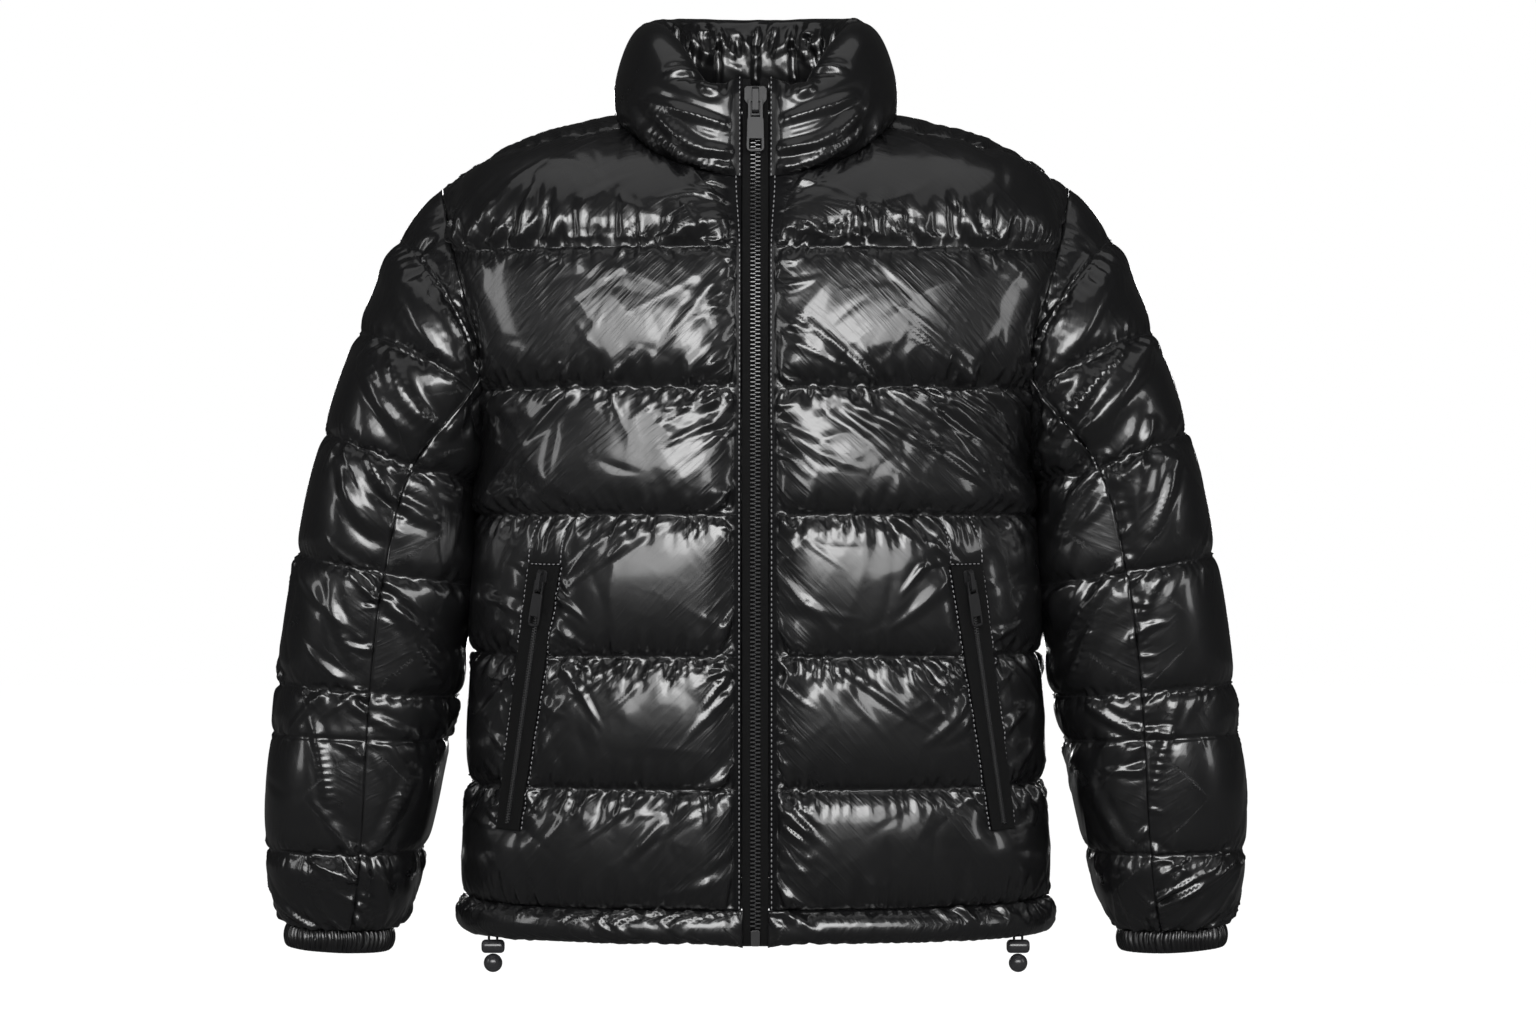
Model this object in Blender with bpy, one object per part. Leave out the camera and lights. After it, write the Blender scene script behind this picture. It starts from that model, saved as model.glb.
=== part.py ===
"""A quilted puffer jacket, zipped up, hollow and filled out. Metres, +Z up, the front faces -Y.

The origin is at the base of the neck, level with the shoulders that hold the jacket up.
Every cloth piece is a wall: a base surface through tables of seams and sections, puffed
outwards between its quilt seams, over a plain inside.
"""
import math

import bpy
import numpy as np

for item in list(bpy.data.objects):
    bpy.data.objects.remove(item, do_unlink=True)

# Driving dimensions
GAP = 0.0003              # between pieces that are sewn or clipped together
WALL = 0.0040             # cloth and padding pressed together at a quilt seam
ZIP_WALL = 0.0022         # the flat edge beside the zip
BODY_PUFF = 0.0115        # how far a chamber of the body stands over its seams
TOP_PUFF = 0.0090
SLEEVE_PUFF = 0.0085
SLEEVE_SIDE_PUFF = 0.0009  # outer and inner side of a sleeve, where the cloth is taut
HEM_Z = -0.612            # hem seam
HEM_BOTTOM = -0.640
ZIP_HALF = 0.0108         # zip edge of a front, from the centre line
CHAIN_HALF = 0.0035
TAPE_HALF = 0.0100
EDGE_FLAT = 0.0072        # flat edge of a front beside the zip
CUFF_LENGTH = 0.0180
RIM_THICK = 0.0235        # collar, at its rim

# Body quilt seams, from the hem seam to the chest
QUILT_Z = (HEM_Z, -0.520, -0.418, -0.309, -0.211, -0.103)

# z, half width, depth in front, depth behind, squareness of the section
TORSO = (
    (-0.6400, 0.2325, 0.1330, 0.1310, 2.35),
    (-0.6120, 0.2300, 0.1325, 0.1305, 2.35),
    (-0.5200, 0.2255, 0.1350, 0.1290, 2.35),
    (-0.4180, 0.2235, 0.1370, 0.1270, 2.35),
    (-0.3090, 0.2215, 0.1400, 0.1300, 2.35),
    (-0.2500, 0.2215, 0.1405, 0.1330, 2.35),
    (-0.2110, 0.2260, 0.1395, 0.1340, 2.40),
    (-0.1600, 0.2390, 0.1355, 0.1300, 2.50),
    (-0.1030, 0.2560, 0.1270, 0.1200, 2.60),
)

# z, y of the zip line
ZIP_LINE = (
    (-0.6600, -0.1330),
    (-0.6120, -0.1325),
    (-0.5200, -0.1350),
    (-0.4180, -0.1370),
    (-0.3090, -0.1400),
    (-0.2110, -0.1395),
    (-0.1600, -0.1355),
    (-0.1030, -0.1270),
    (-0.0495, -0.1120),
    (0.0000, -0.1065),
    (0.0400, -0.1035),
)

# Armhole in front, from the shoulder point to the armpit: x, y, z, y of the same point behind
ARMHOLE = (
    (0.2507, 0.0000, -0.0490, 0.0000),
    (0.2475, -0.0240, -0.0600, 0.0250),
    (0.2409, -0.0450, -0.0890, 0.0480),
    (0.2336, -0.0635, -0.1160, 0.0665),
    (0.2263, -0.0715, -0.1419, 0.0755),
    (0.2170, -0.0745, -0.1721, 0.0790),
    (0.2138, -0.0715, -0.1980, 0.0765),
    (0.2142, -0.0600, -0.2228, 0.0640),
    (0.2175, -0.0400, -0.2384, 0.0420),
    (0.2215, 0.0000, -0.2522, 0.0000),
)
ARMHOLE_MIDDLE = (0.232, 0.002, -0.150)
ARMHOLE_SPLIT = 6          # the row of the table where the two sleeve seams start

# Neck seam, from the zip to the shoulder seam, then to the middle of the back: x, y, z
NECK = (
    (0.0108, -0.1120, -0.0495),
    (0.0330, -0.1085, -0.0455),
    (0.0560, -0.0990, -0.0385),
    (0.0780, -0.0820, -0.0275),
    (0.0950, -0.0610, -0.0135),
    (0.1056, -0.0380, -0.0030),
    (0.1075, -0.0040, 0.0135),
    (0.0975, 0.0280, 0.0175),
    (0.0740, 0.0570, 0.0215),
    (0.0400, 0.0745, 0.0235),
    (0.0000, 0.0800, 0.0240),
)
# Collar rim over the same places: x, y, z, how far the outside bulges
COLLAR_RIM = (
    (0.0108, -0.1045, 0.0290, 0.0000),
    (0.0330, -0.1010, 0.0260, 0.0075),
    (0.0500, -0.0930, 0.0340, 0.0100),
    (0.0660, -0.0780, 0.0555, 0.0100),
    (0.0800, -0.0550, 0.0735, 0.0090),
    (0.0885, -0.0250, 0.0835, 0.0080),
    (0.0900, 0.0050, 0.0880, 0.0070),
    (0.0840, 0.0350, 0.0930, 0.0080),
    (0.0660, 0.0620, 0.0965, 0.0090),
    (0.0370, 0.0820, 0.0985, 0.0100),
    (0.0000, 0.0890, 0.0990, 0.0100),
)
# Shoulder seam between the neck and the shoulder point: x, y, z
SHOULDER = (
    (0.1300, -0.0365, -0.0088),
    (0.1570, -0.0335, -0.0136),
    (0.1850, -0.0270, -0.0208),
    (0.2150, -0.0130, -0.0318),
)
# Where the top chamber runs at its top edge, column by column from the zip: x, y, z
FRONT_TOP_RUN = (
    (0.00, 0.20, 0.98),
    (0.00, 0.35, 0.93),
    (0.00, 0.50, 0.86),
    (0.00, 0.62, 0.78),
    (-0.02, 0.74, 0.66),
    (-0.03, 0.84, 0.52),
    (0.00, 0.93, 0.34),
    (0.00, 0.96, 0.26),
    (0.00, 0.97, 0.20),
    (0.05, 0.97, 0.10),
    (0.20, 0.80, 0.40),
)
# The same behind, from the armhole to the middle of the back
BACK_TOP_RUN = (
    (0.20, -0.80, 0.40),
    (0.05, -0.95, -0.12),
    (0.00, -0.95, -0.34),
    (0.00, -0.90, -0.48),
    (-0.02, -0.88, -0.52),
    (-0.05, -0.88, -0.50),
    (-0.10, -0.90, 0.25),
    (-0.05, -0.62, 0.75),
    (0.00, -0.50, 0.85),
    (0.00, -0.42, 0.90),
    (0.00, -0.40, 0.91),
)

# Share of a front's width at each column, from the zip to the side
FRONT_COLUMNS = (0.0, 0.030, 0.10, 0.22, 0.38, 0.55, 0.66, 0.74, 0.82, 0.93, 1.0)
# Share of half the back's width, from the side to the middle
BACK_COLUMNS = (0.0, 0.050, 0.13, 0.23, 0.33, 0.44, 0.55, 0.66, 0.77, 0.88, 1.0)
# Share of a chamber's height at each row
CHAMBER_ROWS = (0.0, 0.12, 0.36, 0.64, 0.88)
ARMPIT_ROWS = (0.0, 0.12, 0.36, 0.58, 0.72, 0.88)
ARMPIT_CHAMBER = 3
# Share of the top chamber at each row, and the row of the armhole table it ends at
TOP_ROWS = ((0.09, 2.3), (0.25, 2.0), (0.45, 1.5), (0.65, 1.0), (0.84, 0.5), (1.0, 0.0))

# Upper quilt seams of the outer sleeve: share of the way from the middle of the outer
# piece to its edge, x, y in front, z in front, y behind
SLEEVE_CAP_SEAM = (
    (0.00, 0.2840, 0.0000, -0.0900, 0.0000),
    (0.20, 0.2765, -0.0300, -0.0955, 0.0310),
    (0.40, 0.2590, -0.0560, -0.1150, 0.0590),
    (0.60, 0.2420, -0.0715, -0.1380, 0.0760),
    (0.80, 0.2285, -0.0790, -0.1620, 0.0830),
    (1.00, 0.2160, -0.0735, -0.2035, 0.0785),
)
SLEEVE_FIRST_SEAM = (
    (0.00, 0.3165, 0.0000, -0.1645, 0.0000),
    (0.20, 0.3090, -0.0400, -0.1670, 0.0410),
    (0.40, 0.2890, -0.0690, -0.1735, 0.0720),
    (0.60, 0.2640, -0.0830, -0.1850, 0.0870),
    (0.80, 0.2390, -0.0855, -0.1985, 0.0890),
    (1.00, 0.2205, -0.0770, -0.2120, 0.0820),
)
# Sleeve rings: outer x and z, inner x and z, depth in front, depth behind,
# angle of the front seam, angle of the back seam (both from the outer side, in degrees)
SLEEVE_RINGS = (
    (0.3423, -0.2440, 0.2335, -0.2850, 0.0850, 0.0860, 110, 112),
    (0.3646, -0.3400, 0.2335, -0.3660, 0.0810, 0.0840, 97, 108),
    (0.3800, -0.4425, 0.2385, -0.4535, 0.0750, 0.0790, 95, 108),
    (0.3845, -0.4820, 0.2470, -0.4880, 0.0730, 0.0760, 98, 110),
    (0.3880, -0.5744, 0.2665, -0.5755, 0.0660, 0.0670, 104, 114),
    (0.3755, -0.6345, 0.2895, -0.6390, 0.0450, 0.0460, 104, 114),
)
OUTER_HALF_COLUMNS = 6
INNER_COLUMNS = 6
SLEEVE_ROWS = (
    (0.0, 0.30, 0.70),
    (0.0, 0.15, 0.38, 0.62, 0.85),
    (0.0, 0.15, 0.38, 0.62, 0.85),
    (0.0, 0.12, 0.36, 0.64, 0.88),
    (0.0, 0.12, 0.36, 0.64, 0.88),
    (0.0, 0.30, 0.70),
    (0.0, 0.12, 0.36, 0.64, 0.88),
    (0.0, 0.20, 0.50, 0.80),
)
SLEEVE_PUFFS = (0.8, 1.0, 1.0, 1.0, 1.0, 0.55, 1.0, 1.35)

# Pocket zip on a front: the rows and columns that it lies along
POCKET_TOP = (3, 2)       # chamber below a seam, row in it
POCKET_BOTTOM = (1, 2)
POCKET_LIFT = 0.0068       # how far the pocket zip stands over the quilt seams
POCKET_CHAIN_TOP = 0.0225  # from the top of the pocket to the end of its teeth, under the slider
POCKET_LINE = (
    (-0.309, 0.1650, 0.1425),
    (-0.348, 0.1690, 0.1470),
    (-0.553, 0.1950, 0.1790),
    (-0.612, 0.2010, 0.1860),
)

MATERIALS = {
    "shell": ((0.012, 0.012, 0.013, 1.0), 0.16, 0.0),
    "elastic": ((0.015, 0.015, 0.016, 1.0), 0.35, 0.0),
    "zip_tape": ((0.014, 0.014, 0.014, 1.0), 0.75, 0.0),
    "zip_teeth": ((0.016, 0.016, 0.017, 1.0), 0.35, 0.0),
    "black_metal": ((0.030, 0.030, 0.032, 1.0), 0.30, 1.0),
    "black_plastic": ((0.018, 0.018, 0.019, 1.0), 0.30, 0.0),
    "cord": ((0.014, 0.014, 0.014, 1.0), 0.80, 0.0),
}


def unit(vectors):
    """Vectors of length one."""
    vectors = np.asarray(vectors, float)
    return vectors / np.maximum(np.linalg.norm(vectors, axis=-1, keepdims=True), 1e-12)


def smooth(table, at):
    """Reads a table (first column rising or falling) on a smooth curve through its rows."""
    rows = np.array(sorted(table), float)
    keys, values = rows[:, 0], rows[:, 1:]
    slopes = np.gradient(values, keys, axis=0)
    at = np.clip(np.atleast_1d(np.asarray(at, float)), keys[0], keys[-1])
    place = np.clip(np.searchsorted(keys, at, side="right") - 1, 0, len(keys) - 2)
    span = (keys[place + 1] - keys[place])[:, None]
    t = ((at - keys[place]) / span[:, 0])[:, None]
    low, high = values[place], values[place + 1]
    rise_low, rise_high = slopes[place] * span, slopes[place + 1] * span
    return (
        low * (1 + 2 * t) * (1 - t) ** 2
        + rise_low * t * (1 - t) ** 2
        + high * t * t * (3 - 2 * t)
        - rise_high * t * t * (1 - t)
    )


def curve_through(points, shares):
    """Points at these shares of the length of a smooth curve through the given points."""
    points = np.asarray(points, float)
    lengths = np.concatenate([[0], np.cumsum(np.linalg.norm(np.diff(points, axis=0), axis=1))])
    table = np.column_stack([lengths / lengths[-1], points])
    return smooth([tuple(row) for row in table], shares)


def along(polyline, shares):
    """Points on the straight chords of a polyline, at shares of its count of chords."""
    polyline = np.asarray(polyline, float)
    keys = np.linspace(0, 1, len(polyline))
    return np.column_stack([np.interp(shares, keys, polyline[:, i]) for i in range(polyline.shape[1])])


def puff_shape(t):
    """Height across a chamber, 0 at a seam and 1 from t = 1 on."""
    t = np.clip(t, 0.0, 1.0)
    return np.sqrt(np.maximum(0.0, 1.0 - (1.0 - t) ** 2))


def grid_normals(grid, outward_from):
    """Unit normals of a grid of points, facing away from the given points."""
    down = np.gradient(grid, axis=0)
    across = np.gradient(grid, axis=1)
    normals = unit(np.cross(down, across))
    away = grid - outward_from
    flip = np.sign(np.sum(normals * away, axis=-1).mean())
    return normals * (flip if flip else 1.0)


def split_quads(vertices, faces):
    """Cuts each four-sided face on its shorter diagonal, so that neighbours cut alike."""
    done = []
    for face in faces:
        if len(face) != 4:
            done.append(face)
            continue
        a, b, c, d = face
        first = np.linalg.norm(vertices[a] - vertices[c])
        second = np.linalg.norm(vertices[b] - vertices[d])
        if first <= second:
            done += [(a, b, c), (a, c, d)]
        else:
            done += [(a, b, d), (b, c, d)]
    return done


def finish_object(name, vertices, faces, material, origin=None):
    """Makes one named object of a closed mesh, facing out, with its own material."""
    vertices = np.asarray(vertices, float)
    faces = split_quads(vertices, faces)
    volume = 0.0
    for face in faces:
        first = vertices[face[0]]
        for i in range(1, len(face) - 1):
            volume += np.dot(first, np.cross(vertices[face[i]], vertices[face[i + 1]]))
    if volume < 0:
        faces = [tuple(reversed(face)) for face in faces]
    if origin is not None:
        vertices = vertices - np.asarray(origin)
    mesh = bpy.data.meshes.new(name)
    mesh.from_pydata([tuple(v) for v in vertices], [], [tuple(f) for f in faces])
    mesh.update()
    made = bpy.data.objects.new(name, mesh)
    bpy.context.scene.collection.objects.link(made)
    if origin is not None:
        made.location = origin
    colour, roughness, metallic = MATERIALS[material]
    paint = bpy.data.materials.new(name + "_" + material)
    paint.use_nodes = True
    shader = paint.node_tree.nodes["Principled BSDF"]
    shader.inputs["Base Color"].default_value = colour
    shader.inputs["Roughness"].default_value = roughness
    shader.inputs["Metallic"].default_value = metallic
    mesh.materials.append(paint)
    return made


def shell(name, outer, inner, material):
    """A wall between two grids of points of the same size."""
    rows, columns = outer.shape[:2]
    count = rows * columns
    vertices = np.concatenate([outer.reshape(-1, 3), inner.reshape(-1, 3)])
    faces = []

    def at(r, c, side):
        return side * count + r * columns + c

    for r in range(rows - 1):
        for c in range(columns - 1):
            faces.append((at(r, c, 0), at(r, c + 1, 0), at(r + 1, c + 1, 0), at(r + 1, c, 0)))
            faces.append((at(r, c, 1), at(r + 1, c, 1), at(r + 1, c + 1, 1), at(r, c + 1, 1)))
    border = [(0, c) for c in range(columns)]
    border += [(r, columns - 1) for r in range(1, rows)]
    border += [(rows - 1, c) for c in range(columns - 2, -1, -1)]
    border += [(r, 0) for r in range(rows - 2, 0, -1)]
    for here, there in zip(border, border[1:] + border[:1]):
        faces.append((at(*here, 0), at(*here, 1), at(*there, 1), at(*there, 0)))
    return finish_object(name, vertices, faces, material)


def loop_tube(name, loops, material, closed=False, origin=None):
    """A solid through closed loops of points, capped at its ends or joined into a ring."""
    loops = np.asarray(loops, float)
    stations, around = loops.shape[:2]
    vertices = loops.reshape(-1, 3)
    faces = []
    last = stations if closed else stations - 1
    for s in range(last):
        for k in range(around):
            a, b = s * around, ((s + 1) % stations) * around
            j = (k + 1) % around
            faces.append((a + k, a + j, b + j, b + k))
    if not closed:
        faces.append(tuple(range(around - 1, -1, -1)))
        faces.append(tuple((stations - 1) * around + k for k in range(around)))
    return finish_object(name, vertices, faces, material, origin)


def box_piece(name, low, high, material, bevel=0.0):
    """A block with its corners cut in plan (x and z)."""
    (x0, y0, z0), (x1, y1, z1) = low, high
    b = bevel
    outline = [(x0 + b, z0), (x1 - b, z0), (x1, z0 + b), (x1, z1 - b), (x1 - b, z1), (x0 + b, z1)]
    outline += [(x0, z1 - b), (x0, z0 + b)]
    loops = [[(x, y, z) for x, z in outline] for y in (y0, y1)]
    return loop_tube(name, loops, material)


class Seam:
    """A seam that two pieces share: its points, the way into the wall, and the way across."""

    def __init__(self, points, inward, across):
        self.points = np.asarray(points, float)
        self.inward = np.array(inward, float)
        self.across = np.array(across, float)

    def at(self, shares):
        """The same seam at shares of its count of chords, on those chords."""
        return Seam(
            along(self.points, shares),
            along(self.inward, shares),
            along(self.across, shares),
        )

    def pick(self, rows):
        """The same seam at some of its points."""
        return Seam(self.points[rows], self.inward[rows], self.across[rows])


class Panel:
    """A grid of base points with the seams along its edges, made into a puffed wall."""

    def __init__(self, grid, outward_from):
        self.grid = np.array(grid, float)
        self.normals = grid_normals(self.grid, outward_from)
        self.shift = np.zeros_like(self.grid)
        self.inward = -self.normals.copy()
        self.marks = np.zeros(self.grid.shape[:2])
        self.wall = np.full(self.grid.shape[:2], WALL)
        self.puff = np.zeros(self.grid.shape[:2])

    def sew(self, where, seam, side):
        """Sets an edge of the panel back from a seam by half the gap, on one side of it."""
        self.grid[where] = seam.points
        self.shift[where] += side * seam.across * GAP / 2
        marks = self.marks[where][..., None]
        both = unit(self.inward[where] + seam.inward)
        self.inward[where] = np.where(marks > 0, both, seam.inward)
        self.marks[where] += 1

    def faces(self):
        """The outer and inner points of the wall."""
        inward = self.inward
        edge = self.grid + self.shift
        outer = edge + self.normals * self.puff[..., None]
        inner = edge + inward * self.wall[..., None]
        return outer, inner


def section(z, share, front):
    """A point of the torso at a height, at shares of the way from the centre line to the side."""
    width, ahead, behind, square = smooth([(r[0],) + r[1:] for r in TORSO], z)[0]
    depth = -ahead if front else behind
    turn = np.linspace(0.0, math.pi / 2, 181)
    x = width * np.sin(turn) ** (2 / square)
    y = depth * np.cos(turn) ** (2 / square)
    line = np.column_stack([x, y, np.full_like(x, z)])
    if front:
        start = np.searchsorted(x, ZIP_HALF)
        line = np.concatenate([[[ZIP_HALF, float(smooth(ZIP_LINE, z)[0, 0]), z]], line[start:]])
    side = line[-1]
    if z > ARMHOLE[-1][2] + 0.0005:
        column = 1 if front else 3
        table = [(row[2], row[0], row[column]) for row in ARMHOLE]
        x_end, y_end = smooth_line(table, z)
        keep = np.abs(line[:, 1]) > abs(y_end)
        line = np.concatenate([line[keep], [[0, 0, z]]])
        cut = line[-2].copy()
        side = np.array([x_end, y_end, z])
        line[-1] = side
        lengths = np.linalg.norm(line[:-1] - line[0], axis=1)
        pull = (lengths / max(lengths[-1], 1e-9)) ** 3
        line[:-1] += (side - cut)[None, :] * 0.9 * pull[:, None]
    lengths = np.concatenate([[0], np.cumsum(np.linalg.norm(np.diff(line, axis=0), axis=1))])
    lengths /= lengths[-1]
    return np.column_stack([np.interp(share, lengths, line[:, i]) for i in range(3)])


def smooth_line(table, key):
    """Reads a table on its straight chords."""
    rows = np.array(sorted(table), float)
    return [float(np.interp(key, rows[:, 0], rows[:, i])) for i in range(1, rows.shape[1])]


def hermite(start, run_start, end, run_end, t):
    """A point on the curve that leaves start along run_start and arrives along run_end."""
    return (
        start * (1 + 2 * t) * (1 - t) ** 2
        + run_start * t * (1 - t) ** 2
        + end * t * t * (3 - 2 * t)
        - run_end * t * t * (1 - t)
    )


def mirrored(points):
    """The same points on the other side of the jacket."""
    return np.asarray(points, float) * np.array([-1.0, 1.0, 1.0])


def loop_seam(points, middle, outward):
    """A seam whose wall runs towards a middle point, with its across direction near outward."""
    points = np.asarray(points, float)
    run = unit(np.gradient(points, axis=0))
    inward = np.asarray(middle) - points
    inward = unit(inward - run * np.sum(run * inward, axis=1, keepdims=True))
    across = np.cross(run, inward)
    across *= np.sign(np.sum(across * np.asarray(outward), axis=1, keepdims=True))
    return Seam(points, inward, unit(across))


def armhole_seams():
    """The armhole from the shoulder point to the armpit, in front and behind."""
    seams = []
    for column in (1, 3):
        half = np.array([(row[0], row[column], row[2]) for row in ARMHOLE])
        other = np.array([(row[0], row[4 - column], row[2]) for row in ARMHOLE])
        loop = np.concatenate([other[1:2], half, other[-2:-1]])
        whole = loop_seam(loop, ARMHOLE_MIDDLE, (1, 0, 0))
        seams.append(Seam(whole.points[1:-1], whole.inward[1:-1], whole.across[1:-1]))
    for name in ("inward", "across"):
        for place in (0, -1):
            mean = unit(getattr(seams[0], name)[place] + getattr(seams[1], name)[place])
            mean[1] = 0.0
            for seam in seams:
                getattr(seam, name)[place] = unit(mean)
    return seams


def neck_seam():
    """The neck seam of one half, from the zip to the middle of the back."""
    points = np.array(NECK)
    run = unit(np.gradient(points, axis=0))
    centre = np.array([0.0, -0.015, 0.0])
    inward = centre - points
    inward[:, 2] = -0.035
    inward[0] = (0.0, 0.06, -0.01)
    inward[-1] = (0.0, -0.08, -0.03)
    inward = unit(inward - run * np.sum(run * inward, axis=1, keepdims=True))
    inward[0] = (0.0, 1.0, 0.0)
    across = np.cross(run, inward)
    across *= np.sign(across[:, 2:3])
    across[0] = (0.0, 0.10, 1.0)
    return Seam(points, inward, unit(across))


def shoulder_seam():
    """The shoulder seam from the neck point to the shoulder point."""
    points = np.array([NECK[5]] + list(SHOULDER) + [ARMHOLE[0][:3]])
    run = unit(np.gradient(points, axis=0))
    inward = np.tile([0.0, 0.18, -1.0], (len(points), 1))
    inward = unit(inward - run * np.sum(run * inward, axis=1, keepdims=True))
    across = np.cross(run, inward)
    across *= np.sign(across[:, 1:2])
    return Seam(points, inward, unit(across))


ARM_FRONT, ARM_BACK = armhole_seams()
NECK_SEAM = neck_seam()
SHOULDER_SEAM = shoulder_seam()


def quilt_rows():
    """Height of each row from the hem seam to the chest seam, its chamber and share of it."""
    rows = []
    for chamber, (low, high) in enumerate(zip(QUILT_Z, QUILT_Z[1:])):
        for share in ARMPIT_ROWS if chamber == ARMPIT_CHAMBER else CHAMBER_ROWS:
            rows.append((low + (high - low) * share, chamber, share))
    rows.append((QUILT_Z[-1], len(QUILT_Z) - 1, 0.0))
    return rows


def pocket_shares(z, shares):
    """Moves three columns of a front onto the pocket's line, where the pocket is."""
    plain = np.array(shares)
    shares = plain.copy()
    width = float(smooth([(r[0],) + r[1:] for r in TORSO], z)[0, 0])
    ease = np.clip((z + 0.309) / 0.098, 0.0, 1.0)
    if ease >= 1.0:
        return plain
    outer, inner = smooth_line(POCKET_LINE, np.clip(z, -0.612, -0.309))
    fine = section(min(z, -0.26), np.linspace(0, 1, 201), True)
    for column, x in zip((6, 7, 8), (inner, (inner + outer) / 2, outer)):
        shares[column] = np.interp(min(x, width * 0.995), fine[:, 0], np.linspace(0, 1, 201))
    shares[5] = shares[6] * 0.80
    shares[4] = shares[6] * 0.56
    shares[3] = shares[6] * 0.33
    shares[9] = shares[8] + (1 - shares[8]) * 0.60
    ease = ease * ease * (3 - 2 * ease)
    return shares * (1 - ease) + plain * ease


def body_grid(front):
    """Base points of half a body piece, rows from the hem up, columns from the first column."""
    rows = quilt_rows()
    grid = []
    for z, _, _ in rows:
        if front:
            grid.append(section(z, pocket_shares(z, FRONT_COLUMNS), True))
        else:
            grid.append(section(z, 1.0 - np.array(BACK_COLUMNS), False))
    grid = np.array(grid)
    if front:
        below = section(QUILT_Z[-1] - 0.012, FRONT_COLUMNS, True)
        top = np.concatenate([NECK_SEAM.points[:6], SHOULDER_SEAM.points[1:]])
        runs = unit(FRONT_TOP_RUN)
    else:
        below = section(QUILT_Z[-1] - 0.012, 1.0 - np.array(BACK_COLUMNS), False)
        top = np.concatenate([SHOULDER_SEAM.points[::-1], NECK_SEAM.points[6:]])
        runs = unit(BACK_TOP_RUN)
    base = grid[-1]
    leave = unit(base - below)
    reach = np.linalg.norm(top - base, axis=1, keepdims=True)
    upper = []
    for t, _ in TOP_ROWS:
        upper.append(hermite(base, leave * reach * 1.05, top, runs * reach * 1.02, t))
    upper = np.array(upper)
    seam = ARM_FRONT if front else ARM_BACK
    edge_column = -1 if front else 0
    arm = seam.at(np.array([place for _, place in TOP_ROWS]) / (len(ARMHOLE) - 1))
    fix = arm.points - upper[:, edge_column]
    count = upper.shape[1]
    for c in range(count):
        near = (c if front else count - 1 - c) / (count - 1)
        upper[:, c] += fix * near ** 6
    upper[-1] = top
    if front:
        for i in range(len(upper)):
            z = upper[i, 0, 2]
            upper[i, 0, 1] = float(smooth(ZIP_LINE, z)[0, 0])
            upper[i, 1, 1] = upper[i, 0, 1] * 0.75 + upper[i, 1, 1] * 0.25
    grid = np.concatenate([grid, upper])
    return grid, rows


def edge_distance(grid, column):
    """Distance of each point from a column's edge, along its row."""
    steps = np.linalg.norm(np.diff(grid, axis=1), axis=2)
    ahead = np.concatenate([np.zeros((len(grid), 1)), np.cumsum(steps, axis=1)], axis=1)
    return ahead if column == 0 else ahead[:, -1:] - ahead


def body_puff(grid, rows, front):
    """How far each point of a body piece is puffed out."""
    rise = [2 * min(share, 1 - share) for _, _, share in rows]
    rise += [2 * min(t, 1 - t) for t, _ in TOP_ROWS]
    height = np.full(len(rise), BODY_PUFF)
    height[len(rows):] = TOP_PUFF
    up = puff_shape(np.array(rise)) * height
    side = edge_distance(grid, -1 if front else 0)
    reach = np.where(grid[:, :, 2] > -0.25, 0.050, 0.085)
    across = puff_shape(side / reach)
    if front:
        zip_side = edge_distance(grid, 0)
        across = across * puff_shape((zip_side - EDGE_FLAT) / 0.030)
    beside_arm = np.exp(-((grid[..., 2] + 0.255) / 0.055) ** 2)
    beside_arm *= np.clip((np.abs(grid[..., 0]) - 0.165) / 0.045, 0.0, 1.0)
    return up[:, None] * across * (1.0 - 0.85 * beside_arm)


def side_and_arm(panel, rows, front):
    """Sews the side seam and the armhole of a body panel."""
    seam = ARM_FRONT if front else ARM_BACK
    column = -1 if front else 0
    across = (0.0, -1.0 if front else 1.0, 0.0)
    keys = np.linspace(0, 1, len(seam.points))
    for r in range(len(panel.grid)):
        z = panel.grid[r, column, 2]
        if r < len(rows) and z < ARMHOLE[-1][2] - 0.0005:
            point = panel.grid[r, column].copy()
            point[1] = 0.0
            panel.grid[r, column] = point
            panel.shift[r, column] += np.array(across) * GAP / 2
            panel.inward[r, column] = (-1.0, 0.0, 0.0)
            panel.marks[r, column] += 1
            continue
        if r < len(rows):
            share = float(np.interp(-z, -seam.points[:, 2], keys))
        else:
            share = TOP_ROWS[r - len(rows)][1] / (len(ARMHOLE) - 1)
        here = seam.at(np.array([share]))
        panel.grid[r, column] = here.points[0]
        panel.shift[r, column] -= here.across[0] * GAP / 2
        panel.inward[r, column] = here.inward[0]
        panel.marks[r, column] += 1


def hem_seam_points(grid, front):
    """Inward and across directions of the level hem seam."""
    row = grid[0]
    run = unit(np.gradient(row, axis=0))
    inward = np.cross(run, (0.0, 0.0, 1.0))
    toward = -row * np.array([1.0, 1.0, 0.0])
    inward *= np.sign(np.sum(inward * toward, axis=1, keepdims=True))
    return Seam(row, unit(inward), np.tile([0.0, 0.0, -1.0], (len(row), 1)))


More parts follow.
